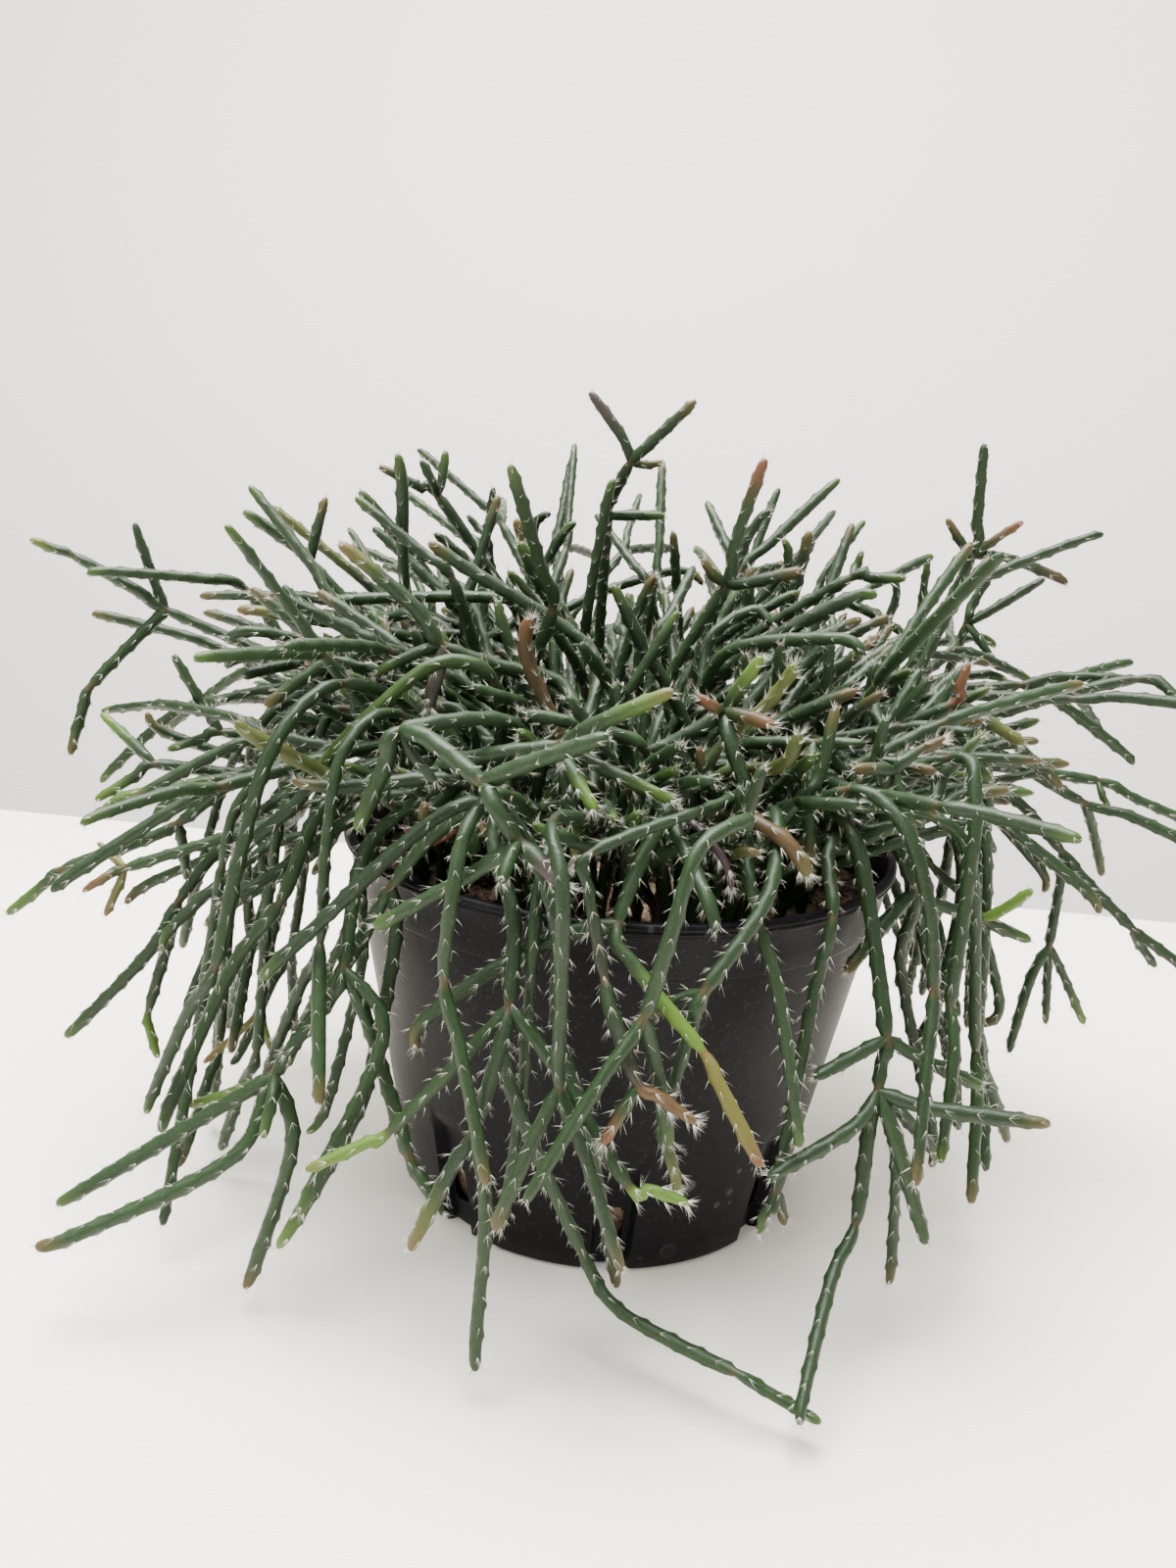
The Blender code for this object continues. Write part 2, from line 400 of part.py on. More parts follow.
class Plant:
    """The stems as one forest of points. A point knows its parent, its thickness and its clump."""

    def __init__(self):
        self.pos = []
        self.parent = []
        self.rad = []
        self.stem = []
        self.clump = []
        self.held = []
        self.forks = {}

    def add(self, pos, parent, rad, stem, clump, held):
        """Add one point and return its index. held is 1 for a rooted point, 0.5 for a read one."""
        self.pos.append(tuple(pos))
        self.parent.append(parent)
        self.rad.append(rad)
        self.stem.append(stem)
        self.clump.append(clump)
        self.held.append(held)
        if parent in self.forks:
            self.forks[parent] += 1
        return len(self.pos) - 1


def view_axes():
    """The camera's forward, right and up axes."""
    ahead = Vector((
        math.sin(VIEW_YAW) * math.cos(VIEW_PITCH),
        math.cos(VIEW_YAW) * math.cos(VIEW_PITCH),
        -math.sin(VIEW_PITCH),
    ))
    level = ahead.cross(Vector((0.0, 0.0, 1.0))).normalized()
    upright = level.cross(ahead)
    right = math.cos(VIEW_ROLL) * level + math.sin(VIEW_ROLL) * upright
    up = -math.sin(VIEW_ROLL) * level + math.cos(VIEW_ROLL) * upright
    return ahead, right, up


def at_depth(column, row, depth):
    """The place in the plane Y = depth that the picture shows at a column and row."""
    ahead, right, up = view_axes()
    across = (column - VIEW_MIDDLE[0]) / VIEW_FOCAL
    down = (row - VIEW_MIDDLE[1]) / VIEW_FOCAL
    ray = ahead + across * right - down * up
    reach = (depth + VIEW_DISTANCE) / ray.y
    return Vector((0.0, -VIEW_DISTANCE, VIEW_HEIGHT)) + reach * ray


def crown_centres():
    """The middle of each root crown, on rings round the pot's axis."""
    centres = []
    for count, ring, first in CROWN_RINGS:
        for k in range(count):
            turn = math.radians(first) + k * math.tau / count
            centres.append(Vector((ring * math.cos(turn), ring * math.sin(turn), 0.0)))
    return centres


def crown_place(centre, k):
    """Where the k-th stem of a crown leaves it: the middle first, then round a ring."""
    if k == 0:
        return centre.copy()
    turn = k * math.tau / (CROWN_PLACES - 1) + centre.x * 40.0
    ring = CROWN_PLACE_RING
    return centre + Vector((ring * math.cos(turn), ring * math.sin(turn), 0.0))


def spline(points, steps=14):
    """Points along a smooth curve through the given ones."""
    out = []
    last = len(points) - 1
    for k in range(last):
        a = points[max(k - 1, 0)]
        b, c = points[k], points[k + 1]
        d = points[min(k + 2, last)]
        for j in range(steps):
            t = j / steps
            out.append(0.5 * (
                2.0 * b + (c - a) * t + (2.0 * a - 5.0 * b + 4.0 * c - d) * t * t
                + (3.0 * b - a - 3.0 * c + d) * t * t * t
            ))
    out.append(points[-1])
    return out


def along(curve, share):
    """The point at a share of a polyline's length."""
    lengths = [0.0]
    for a, b in zip(curve, curve[1:]):
        lengths.append(lengths[-1] + (b - a).length)
    want = share * lengths[-1]
    for k in range(1, len(curve)):
        if lengths[k] >= want:
            span = max(lengths[k] - lengths[k - 1], 1e-9)
            return curve[k - 1].lerp(curve[k], (want - lengths[k - 1]) / span)
    return curve[-1].copy()


def curve_length(curve):
    """A polyline's length."""
    return sum((b - a).length for a, b in zip(curve, curve[1:]))


def lay_shoot(plant, curve, start, thick, clump, held, tip=True):
    """Lay a shoot along a curve as jointed segments and return its last point's index."""
    length = curve_length(curve)
    count = max(1, round(length / SEGMENT_LENGTH))
    radius = STEM_RADIUS * thick
    at = start
    for k in range(count):
        first = along(curve, k / count)
        middle = along(curve, (k + 0.5) / count)
        final = along(curve, (k + 1) / count)
        bent = (middle - first).angle(final - middle, 0.0) > BENT
        ends = tip and k == count - 1
        inner = (SHOULDER, 0.65) if bent else (SHOULDER,)
        if ends:
            inner = (SHOULDER, 1.0 - TIP_SHOULDER)
        for share in inner:
            pos = along(curve, (k + share) / count)
            at = plant.add(pos, at, radius, radius, clump, held)
        waist = TIP_WAIST if ends else JOINT_WAIST
        at = plant.add(along(curve, (k + 1) / count), at, radius * waist, radius, clump, held)
        if not ends:
            plant.forks[at] = 0
    return at


def root_stem(plant, crowns, used, clump, thick):
    """Start a stem with a point sunk in its crown."""
    k = used[clump]
    used[clump] += 1
    place = crown_place(crowns[clump], k)
    radius = STEM_RADIUS * thick
    sunk = place + Vector((0.0, 0.0, SOIL_TOP - ROOT_SUNK))
    return plant.add(sunk, -1, radius * 0.9, radius, clump, 1.0)


def nearby_joint(plant, goal, reach):
    """The joint of a stem laid before that a shoot to the goal could fork from, if any."""
    best, least = None, reach * JOINT_GAIN
    for k, kids in plant.forks.items():
        if kids >= JOINT_KIDS or plant.held[k] != 0.5:
            continue
        here = Vector(plant.pos[k])
        way = here - Vector(plant.pos[plant.parent[k]])
        span = goal - here
        if span.length < JOINT_NEAR or way.angle(span, 0.0) > JOINT_TURN:
            continue
        if span.length < least:
            best, least = k, span.length
    return best


def nearest_crown(crowns, used, target):
    """The crown with room that is nearest to where a shoot starts, drawn in to the pot."""
    flat = Vector((target.x, target.y, 0.0))
    flat = flat * min(1.0, CROWN_PULL / max(flat.length, 1e-6))
    order = sorted(range(len(crowns)), key=lambda k: (crowns[k] - flat).length)
    for k in order:
        if used[k] < CROWN_PLACES:
            return k
    return order[0]


def feeder(start, goal, heading):
    """A curve from a crown up and over to where a shoot comes into view."""
    reach = (goal - start).length
    lift = Vector((0.0, 0.0, FEED_LIFT * reach + FEED_FALL * max(start.z - goal.z, 0.0)))
    a, b = start + lift, goal - heading * FEED_LEAD * reach
    flat = math.hypot(b.x, b.y)
    over = POT_HEIGHT + FEED_OVER
    if b.z < over and flat < POT_RIM_RADIUS + FEED_NEAR:
        b.z = over + FEED_SPARE
    out = []
    for k in range(FEED_STEPS):
        t = k / FEED_STEPS
        out.append(start * (1 - t) ** 3 + a * 3 * t * (1 - t) ** 2 + b * 3 * t * t * (1 - t)
                   + goal * t ** 3)
    return out


def lay_read_shoots(plant, crowns, used):
    """Lay the shoots read from the front view, each from its crown or its parent's end."""
    ends = {}
    parents = {row[1] for row in SHOOTS}
    for name, parent, near, far, thick, *picture in SHOOTS:
        last = len(picture) - 1
        route = []
        for k, (column, row) in enumerate(picture):
            depth = (near + (far - near) * k / last) * MM
            place = at_depth(column, row, depth)
            place.z = max(place.z, STEM_RADIUS * thick + FLOOR_LIFT)
            route.append(place)
        if parent:
            start = ends[parent]
            clump = plant.clump[start]
            curve = spline([Vector(plant.pos[start])] + route[1:])
        else:
            clump = nearest_crown(crowns, used, route[0])
            top = crowns[clump] + Vector((0.0, 0.0, SOIL_TOP))
            start = nearby_joint(plant, route[0], (route[0] - top).length)
            if start is None:
                start = root_stem(plant, crowns, used, clump, thick)
                heading = (route[1] - route[0]).normalized()
                lead = feeder(Vector(plant.pos[start]), route[0], heading)
                curve = lead + spline(route)
            else:
                clump = plant.clump[start]
                curve = spline([Vector(plant.pos[start])] + route)
        ends[name] = lay_shoot(plant, curve, start, thick, clump, 0.5, name not in parents)


def grow(plant, start, heading, level, clump, rng):
    """Grow a segment and, at its end, the segments that fork from it."""
    origin = Vector(plant.pos[start])
    length = rng.uniform(*GROW_LENGTH) * (GROW_SHORTER ** level)
    thick = rng.uniform(*GROW_THICK) * (GROW_THINNER ** level)
    fall = BACK_DROOP * rng.uniform(*GROW_FALL)
    curve = [origin]
    steer = heading.normalized()
    for _ in range(GROW_STEPS):
        out = math.hypot(curve[-1].x, curve[-1].y)
        beyond = max(0.0, out - GROW_FALL_FROM)
        pull = fall * (GROW_FALL_IN + GROW_FALL_OUT * beyond / GROW_FALL_OVER)
        steer = (steer + Vector((0.0, 0.0, -pull / GROW_STEPS))).normalized()
        step = curve[-1] + steer * (length / GROW_STEPS)
        if step.z < GROW_LOW or step.length > GROW_FAR:
            steer.z = max(steer.z, GROW_LEVEL)
            step = curve[-1] + steer * (length / GROW_STEPS)
        curve.append(step)
    forks = 0
    if level < BACK_LEVELS:
        full = rng.random() < GROW_FORK_SHARE
        forks = GROW_FORKS[level] if full else GROW_OTHER_FORKS[level]
    out = math.hypot(curve[-1].x, curve[-1].y)
    if out > RIM_REACH or curve[-1].z > TOP_REACH:
        forks = 0
    end = lay_shoot(plant, curve, start, thick, clump, 0.0, forks == 0)
    turn = rng.uniform(0.0, math.tau)
    for k in range(forks):
        side = steer.orthogonal().normalized()
        other = steer.cross(side)
        angle = turn + k * math.tau / forks
        bend = BACK_SPREAD * rng.uniform(*GROW_BEND)
        aim = steer * math.cos(bend)
        aim += (side * math.cos(angle) + other * math.sin(angle)) * math.sin(bend)
        outward = Vector((curve[-1].x, curve[-1].y, 0.0)).normalized()
        grow(plant, end, aim + outward * GROW_OUTWARD, level + 1, clump, rng)


def lay_back_shoots(plant, crowns, used):
    """Grow the stems that the front view hides, mostly over the back and the sides."""
    rng = random.Random(SEED)
    for k in range(BACK_PRIMARIES):
        turn = math.radians(90.0) + math.radians(250.0) * (k + 0.5) / BACK_PRIMARIES
        turn -= math.radians(125.0)
        turn += rng.uniform(-0.1, 0.1)
        tilt = math.radians(28.0 + 50.0 * rng.random())
        target = Vector((math.cos(turn), math.sin(turn), 0.0)) * rng.uniform(0.02, 0.07)
        clump = nearest_crown(crowns, used, target)
        start = root_stem(plant, crowns, used, clump, 1.0)
        flat = Vector((math.cos(turn), math.sin(turn), 0.0))
        aim = flat * math.cos(tilt) + Vector((0.0, 0.0, math.sin(tilt)))
        grow(plant, start, aim, 0, clump, rng)


def wall_push(pos, rad):
    """How far points must move to stay off the floor, the pot's wall and rim, and the soil."""
    out = np.zeros_like(pos)
    flat = np.sqrt(pos[:, 0] ** 2 + pos[:, 1] ** 2)
    safe = np.maximum(flat, 1e-6)
    unit = np.stack([pos[:, 0] / safe, pos[:, 1] / safe], axis=1)
    run = POT_RIM_RADIUS - POT_BASE_RADIUS
    slope = run / POT_HEIGHT
    size = math.hypot(slope, 1.0)
    share = np.clip(((flat - POT_BASE_RADIUS) * run + pos[:, 2] * POT_HEIGHT)
                    / (run ** 2 + POT_HEIGHT ** 2), 0.0, 1.0)
    near_r = POT_BASE_RADIUS + run * share
    near_z = POT_HEIGHT * share
    dr, dz = flat - near_r, pos[:, 2] - near_z
    dist = np.sqrt(dr ** 2 + dz ** 2)
    outside = (dr - slope * dz) / size >= 0.0
    above = (share >= 1.0)
    need = rad + WALL_CLEARANCE + LIP_OUT
    inside = (~outside) & (~above)
    deep = inside & (pos[:, 2] < SOIL_TOP)
    lift = np.where(outside | above, np.maximum(need - dist, 0.0), 0.0)
    safe_d = np.maximum(dist, 1e-6)
    out[:, 0] += lift * dr / safe_d * unit[:, 0]
    out[:, 1] += lift * dr / safe_d * unit[:, 1]
    out[:, 2] += lift * dz / safe_d
    inward = inside & (~deep)
    back = np.where(inward, np.maximum(need + POT_WALL - dist, 0.0), 0.0)
    out[:, 0] -= back * unit[:, 0]
    out[:, 1] -= back * unit[:, 1]
    bed = SOIL_TOP + SOIL_BUMP + WALL_CLEARANCE + rad
    low = inside & (pos[:, 2] < bed)
    out[:, 2] += np.where(low, bed - pos[:, 2], 0.0)
    out[:, 2] += np.maximum(rad + 0.0002 - pos[:, 2], 0.0)
    return out


def wall_side(pos):
    """How far points lie outside the pot's wall, as if it went on up; inside is negative."""
    slope = (POT_RIM_RADIUS - POT_BASE_RADIUS) / POT_HEIGHT
    flat = np.sqrt(pos[:, 0] ** 2 + pos[:, 1] ** 2)
    return flat - (POT_BASE_RADIUS + slope * np.minimum(pos[:, 2], POT_HEIGHT))


def closest_shares(p, u, q, v):
    """For pairs of edges p + s u and q + t v, the shares s and t of their closest points."""
    w = p - q
    a = (u * u).sum(1)
    b = (u * v).sum(1)
    c = (v * v).sum(1)
    d = (u * w).sum(1)
    e = (v * w).sum(1)
    den = np.maximum(a * c - b * b, 1e-14)
    s = np.clip((b * e - c * d) / den, 0.0, 1.0)
    t = np.clip((b * s + e) / np.maximum(c, 1e-12), 0.0, 1.0)
    s = np.clip((b * t - d) / np.maximum(a, 1e-12), 0.0, 1.0)
    return s, t


def edge_pairs(mid, half, parent, child, fixed, slack):
    """Index pairs of edges that may touch: near each other, sharing no point, not both rooted."""
    count = len(mid)
    firsts, seconds = [], []
    for i in range(count - 1):
        gap = mid[i + 1:] - mid[i]
        near = (gap * gap).sum(1) < (half[i + 1:] + half[i] + slack) ** 2
        j = np.nonzero(near)[0] + i + 1
        share = ((parent[j] == parent[i]) | (parent[j] == child[i])
                 | (child[j] == parent[i]) | (fixed[j] & fixed[i]))
        j = j[~share]
        firsts.append(np.full(len(j), i))
        seconds.append(j)
    return np.concatenate(firsts), np.concatenate(seconds)


def over_points(over, up, child, count):
    """Which points belong to the edges that are picked."""
    mask = np.zeros(count, dtype=bool)
    mask[up[over]] = True
    mask[child[over]] = True
    return mask


def settle(plant):
    """Bend the stems clear of each other, the pot, the soil and the floor."""
    pos = np.array(plant.pos)
    home = pos.copy()
    parent = np.array(plant.parent)
    rad = np.array(plant.stem)
    held = np.array(plant.held)
    child = np.nonzero(parent >= 0)[0]
    up = parent[child]
    edge_rad = rad[child]
    rooted = held[child] >= 1.0
    free = np.where(held >= 1.0, 0.0, 1.0)[:, None]
    count = np.zeros(len(pos))
    np.add.at(count, child, 1.0)
    np.add.at(count, up, 1.0)
    camera = np.array((0.0, -VIEW_DISTANCE, VIEW_HEIGHT))
    for step in range(RELAX_STEPS):
        final = step > RELAX_STEPS * SETTLE_FINAL
        if step % PAIR_STEPS == 0:
            mid = 0.5 * (pos[child] + pos[up])
            half = 0.5 * np.sqrt(((pos[child] - pos[up]) ** 2).sum(1))
            one, two = edge_pairs(mid, half, up, child, rooted, PAIR_SLACK)
        p, q = pos[up[one]], pos[up[two]]
        u, v = pos[child[one]] - p, pos[child[two]] - q
        s, t = closest_shares(p, u, q, v)
        gap = (p + s[:, None] * u) - (q + t[:, None] * v)
        dist = np.sqrt((gap * gap).sum(1))
        need = edge_rad[one] + edge_rad[two] + STEM_CLEARANCE
        short = np.maximum(need - dist, 0.0) * 0.5
        away = gap / np.maximum(dist, 1e-6)[:, None] * short[:, None]
        move = np.zeros_like(pos)
        np.add.at(move, up[one], away * (1 - s)[:, None])
        np.add.at(move, child[one], away * s[:, None])
        np.add.at(move, up[two], -away * (1 - t)[:, None])
        np.add.at(move, child[two], -away * t[:, None])
        shift = pos - home
        if not final:
            ray = pos - camera
            ray /= np.sqrt((ray * ray).sum(1))[:, None]
            deep = (move * ray).sum(1)[:, None] * ray
            sides = np.where(held[:, None] == 0.5, SETTLE_SIDEWAYS, 1.0)
            move = deep + (move - deep) * sides
            total = np.zeros_like(pos)
            np.add.at(total, child, shift[up])
            np.add.at(total, up, shift[child])
            mean = total / np.maximum(count, 1.0)[:, None]
            shift = shift + SETTLE_BLEND * (mean - shift)
        pos = home + shift + move
        lift = wall_push(pos, rad)
        side_a, side_b = wall_side(pos[up]), wall_side(pos[child])
        over = side_a * side_b < 0.0
        part = np.where(over, side_a / np.where(over, side_a - side_b, 1.0), 0.0)
        height = pos[up, 2] * (1 - part) + pos[child, 2] * part
        rise = POT_HEIGHT + 1.5 * edge_rad + 2.0 * WALL_CLEARANCE + LIP_OUT - height
        rise = np.where(over, np.maximum(rise, 0.0), 0.0)
        low = rise > RIM_LOW
        lift[over_points(low, up, child, len(pos))] *= RIM_SOFT
        np.add.at(lift[:, 2], up, rise * RIM_LIFT)
        np.add.at(lift[:, 2], child, rise * RIM_LIFT)
        for end, side in ((up, side_a), (child, side_b)):
            flat = np.maximum(np.sqrt(pos[end, 0] ** 2 + pos[end, 1] ** 2), 1e-6)
            shove = np.where(side > 0.0, rise, 0.0) * RIM_SHOVE / flat
            np.add.at(lift[:, 0], end, shove * pos[end, 0])
            np.add.at(lift[:, 1], end, shove * pos[end, 1])
        for share in BETWEEN:
            spot = pos[up] * (1 - share) + pos[child] * share
            push = np.where(over[:, None], 0.0, wall_push(spot, edge_rad))
            np.add.at(lift, up, push * (1 - share) * BETWEEN_PUSH)
            np.add.at(lift, child, push * share * BETWEEN_PUSH)
        pos = pos + lift
        pos = np.round(np.where(free > 0, pos, home), 7)
    plant.pos = [tuple(row) for row in pos]
    return pos


def tightest_gap(plant):
    """The least clearance between stems of different clumps, for the log."""
    pos = np.array(plant.pos)
    parent = np.array(plant.parent)
    rad = np.array(plant.stem)
    clump = np.array(plant.clump)
    child = np.nonzero(parent >= 0)[0]
    up = parent[child]
    mid = 0.5 * (pos[child] + pos[up])
    half = 0.5 * np.sqrt(((pos[child] - pos[up]) ** 2).sum(1))
    one, two = edge_pairs(mid, half, up, child, rad[child] < 0, 0.006)
    p, q = pos[up[one]], pos[up[two]]
    u, v = pos[child[one]] - p, pos[child[two]] - q
    s, t = closest_shares(p, u, q, v)
    gap = (p + s[:, None] * u) - (q + t[:, None] * v)
    free = np.sqrt((gap * gap).sum(1)) - rad[child[one]] - rad[child[two]]
    apart = clump[child[one]] != clump[child[two]]
    return float(free[apart].min()), int((free[apart] < GAP).sum()), int((free < 0).sum())


def split_paths(plant):
    """Split the forest into unbranched paths. A fork's straightest child carries on its path."""
    pos = [Vector(p) for p in plant.pos]
    children = [[] for _ in pos]
    roots = []
    for k, up in enumerate(plant.parent):
        if up < 0:
            roots.append(k)
        else:
            children[up].append(k)
    paths = []
    todo = [(-1, k) for k in roots]
    while todo:
        before, k = todo.pop()
        path = [k] if before < 0 else [before, k]
        while children[path[-1]]:
            here = path[-1]
            way = (pos[here] - pos[path[-2]]) if len(path) > 1 else Vector((0.0, 0.0, 1.0))
            kids = sorted(children[here], key=lambda c: -way.normalized().dot(
                (pos[c] - pos[here]).normalized()))
            todo.extend((here, c) for c in kids[1:])
            path.append(kids[0])
        paths.append((before >= 0, path))
    return paths


def clear_scene():
    """Remove what the scene holds."""
    for obj in list(bpy.data.objects):
        bpy.data.objects.remove(obj, do_unlink=True)


def finish(name, rgb, roughness):
    """A plain Principled material."""
    mat = bpy.data.materials.new(name)
    mat.use_nodes = True
    shader = mat.node_tree.nodes["Principled BSDF"]
    shader.inputs["Base Color"].default_value = (*rgb, 1.0)
    shader.inputs["Roughness"].default_value = roughness
    shader.inputs["Metallic"].default_value = 0.0
    mat.diffuse_color = (*rgb, 1.0)
    return mat


def make_object(name, bm, mat):
    """Turn a bmesh into a named object in the scene."""
    bmesh.ops.recalc_face_normals(bm, faces=bm.faces)
    mesh = bpy.data.meshes.new(name)
    bm.to_mesh(mesh)
    bm.free()
    obj = bpy.data.objects.new(name, mesh)
    bpy.context.scene.collection.objects.link(obj)
    mesh.materials.append(mat)
    return obj


def tube(bm, points, radii, sides, start):
    """Add a closed tube with flat ends, its first corner turned by start, with the least twist."""
    rings = []
    side = None
    for k, (point, radius) in enumerate(zip(points, radii)):
        ahead = points[min(k + 1, len(points) - 1)] - point
        behind = point - points[max(k - 1, 0)]
        way = (ahead.normalized() + behind.normalized()).normalized()
        if side is None:
            side = way.orthogonal()
        side = (side - way * side.dot(way)).normalized()
        other = way.cross(side)
        ring = []
        for j in range(sides):
            turn = start + math.tau * j / sides
            spot = side * math.cos(turn) + other * math.sin(turn)
            ring.append(bm.verts.new(point + spot * radius))
        rings.append(ring)
    for a, b in zip(rings, rings[1:]):
        for j in range(sides):
            i = (j + 1) % sides
            bm.faces.new((a[j], a[i], b[i], b[j]))
    bm.faces.new(rings[0])
    bm.faces.new(rings[-1])


def stem_tube(plant, path, sunk, start):
    """One unbranched stem as a tube. A branch starts a little way back inside its fork.

    A stem that would leave its crown at a low angle first rises clear of the soil.
    """
    pos = [Vector(plant.pos[k]) for k in path]
    radii = [plant.rad[k] * 1.1 for k in path]
    way = (pos[1] - pos[0]).normalized()
    if sunk:
        radii[0] = min(radii[0], plant.stem[path[1]] * JOINT_WAIST)
        pos[0] = pos[0] - way * radii[0] * 0.55
    elif way.z < SHALLOW:
        rise = Vector((pos[0].x, pos[0].y, SOIL_TOP + 1.2 * radii[0]))
        pos.insert(1, rise)
        radii.insert(1, radii[0])
    bm = bmesh.new()
    tube(bm, pos, radii, STEM_SIDES, start)
    return bm


def crown_plug(bm, centre):
    """The woody crown that a clump grows from, in its hole in the soil."""
    floor = SOIL_TOP - CROWN_DEPTH + GAP
    heights = (0.0, 0.35 * CROWN_DEPTH, CROWN_DEPTH - 0.0012, CROWN_DEPTH - 0.0002)
    shares = (0.62, 1.0, 1.0, 0.86)
    rings = []
    for height, share in zip(heights, shares):
        ring = []
        for j in range(CROWN_SIDES):
            turn = math.tau * (j + 0.5) / CROWN_SIDES
            radius = (CROWN_RADIUS - 0.0001) * share
            ring.append(bm.verts.new((centre.x + radius * math.cos(turn),
                                      centre.y + radius * math.sin(turn), floor + height)))
        rings.append(ring)
    for a, b in zip(rings, rings[1:]):
        for j in range(CROWN_SIDES):
            i = (j + 1) % CROWN_SIDES
            bm.faces.new((a[j], a[i], b[i], b[j]))
    bm.faces.new(rings[0])
    bm.faces.new(rings[-1])


def apply_boolean(obj, cutters, operation, solver):
    """Join or cut a collection's solids in one step, then remove them."""
    group = bpy.data.collections.new(obj.name + "_operands")
    bpy.context.scene.collection.children.link(group)
    for item in cutters:
        bpy.context.scene.collection.objects.unlink(item)
        group.objects.link(item)
        item.hide_render = True
        item.display_type = 'WIRE'
    mod = obj.modifiers.new("join", 'BOOLEAN')
    mod.operation = operation
    mod.solver = solver
    mod.operand_type = 'COLLECTION'
    mod.collection = group
    graph = bpy.context.evaluated_depsgraph_get()
    graph.update()
    joined = bpy.data.meshes.new_from_object(obj.evaluated_get(graph))
    obj.modifiers.clear()
    obj.data = joined
    for item in list(group.objects):
        bpy.data.objects.remove(item, do_unlink=True)
    bpy.data.collections.remove(group)


def islands(bm):
    """The separate bodies of a bmesh, as sets of faces, largest first."""
    left = set(bm.faces)
    found = []
    while left:
        todo = [left.pop()]
        body = set(todo)
        while todo:
            for edge in todo.pop().edges:
                for face in edge.link_faces:
                    if face in left:
                        left.discard(face)
                        body.add(face)
                        todo.append(face)
        found.append(body)
    return sorted(found, key=len, reverse=True)


def is_sound(mesh):
    """Whether every edge of a mesh joins two faces and no face is a sliver."""
    bm = bmesh.new()
    bm.from_mesh(mesh)
    sound = all(edge.is_manifold for edge in bm.edges)
    sound = sound and all(face.calc_area() > SLIVER_AREA for face in bm.faces)
    sound = sound and len(islands(bm)) == 1
    bm.free()
    return sound


def thin_joints(obj):
    """Collapse the small faces that the union leaves round each fork, as far as stays sound."""
    for ratio in JOINT_THINNING:
        mod = obj.modifiers.new("thin", 'DECIMATE')
        mod.decimate_type = 'COLLAPSE'
        mod.ratio = ratio
        mod.use_collapse_triangulate = True
        graph = bpy.context.evaluated_depsgraph_get()
        graph.update()
        thinned = bpy.data.meshes.new_from_object(obj.evaluated_get(graph))
        obj.modifiers.clear()
        if is_sound(thinned):
            obj.data = thinned
            return True
        bpy.data.meshes.remove(thinned)
    return False


def join_clump(plant, crown, paths, clump, start, mat):
    """The root crown of one clump and all its stems, joined in one solid."""
    name = f"stems_{clump + 1:02d}"
    bm = bmesh.new()
    crown_plug(bm, crown)
    base = make_object(name, bm, mat)
    limbs = []
    for sunk, path in paths:
        if plant.clump[path[-1]] == clump:
            bm = stem_tube(plant, path, sunk, start)
            limbs.append(make_object(f"{name}_{len(limbs)}", bm, mat))
    apply_boolean(base, limbs, 'UNION', 'MANIFOLD')
    return base


def make_clump(plant, crown, paths, clump, mat):
    """One clump, its stems' corners turned until no two surfaces meet along an edge."""
    for k in range(CLUMP_TRIES):
        base = join_clump(plant, crown, paths, clump, k * CLUMP_TURN, mat)
        if thin_joints(base):
            return base
        if k < CLUMP_TRIES - 1:
            bpy.data.objects.remove(base, do_unlink=True)
    print(base.name, "is not thinned")
    return base


def pot_turns():
    """The angles of the pot's columns: close at each flute's edges, wide between them."""
    turns = []
    for k in range(FLUTE_COUNT):
        middle = -math.pi / 2 + FLUTE_TURN + k * math.tau / FLUTE_COUNT
        outer = FLUTE_HALF_ANGLE + FLUTE_EDGE_ANGLE
        rest = math.tau / FLUTE_COUNT - 2 * outer
        turns += [(middle - outer, 0.0), (middle - FLUTE_HALF_ANGLE, 1.0), (middle, 1.0),
                  (middle + FLUTE_HALF_ANGLE, 1.0), (middle + outer, 0.0)]
        turns += [(middle + outer + rest / 2, 0.0)]
    return turns


def pot_profile():
    """The pot's outline as (radius, height, flute share), from the base's edge out and round."""
    slope = (POT_RIM_RADIUS - POT_BASE_RADIUS) / POT_HEIGHT
    band = POT_HEIGHT - BAND_DROP
    lip = POT_HEIGHT - LIP_DROP

    def wall(height):
        return POT_BASE_RADIUS + slope * height

    inner = -POT_WALL
    return (
        (wall(0.0) - 0.0012, 0.0, 1.0),
        (wall(0.0012), 0.0012, 1.0),
        (wall(FLUTE_TOP * 0.75), FLUTE_TOP * 0.75, 0.85),
        (wall(FLUTE_TOP), FLUTE_TOP, 0.0),
        (wall(band), band, 0.0),
        (wall(band) + BAND_STEP, band + 0.0008, 0.0),
        (wall(lip) + 0.0003, lip, 0.0),
        (POT_RIM_RADIUS + LIP_OUT, lip + 0.0007, 0.0),
        (POT_RIM_RADIUS + LIP_OUT, POT_HEIGHT - 0.0006, 0.0),
        (POT_RIM_RADIUS + LIP_OUT - 0.0006, POT_HEIGHT, 0.0),
        (POT_RIM_RADIUS + inner, POT_HEIGHT, 0.0),
        (wall(band) + BAND_STEP + inner, band + 0.0008, 0.0),
        (wall(band) + inner, band - 0.0006, 0.0),
        (wall(FLUTE_TOP) + inner, FLUTE_TOP, 0.0),
        (wall(FLUTE_TOP * 0.75) + inner, FLUTE_TOP * 0.75, 0.85),
        (wall(POT_FLOOR) + inner, POT_FLOOR, 1.0),
    )


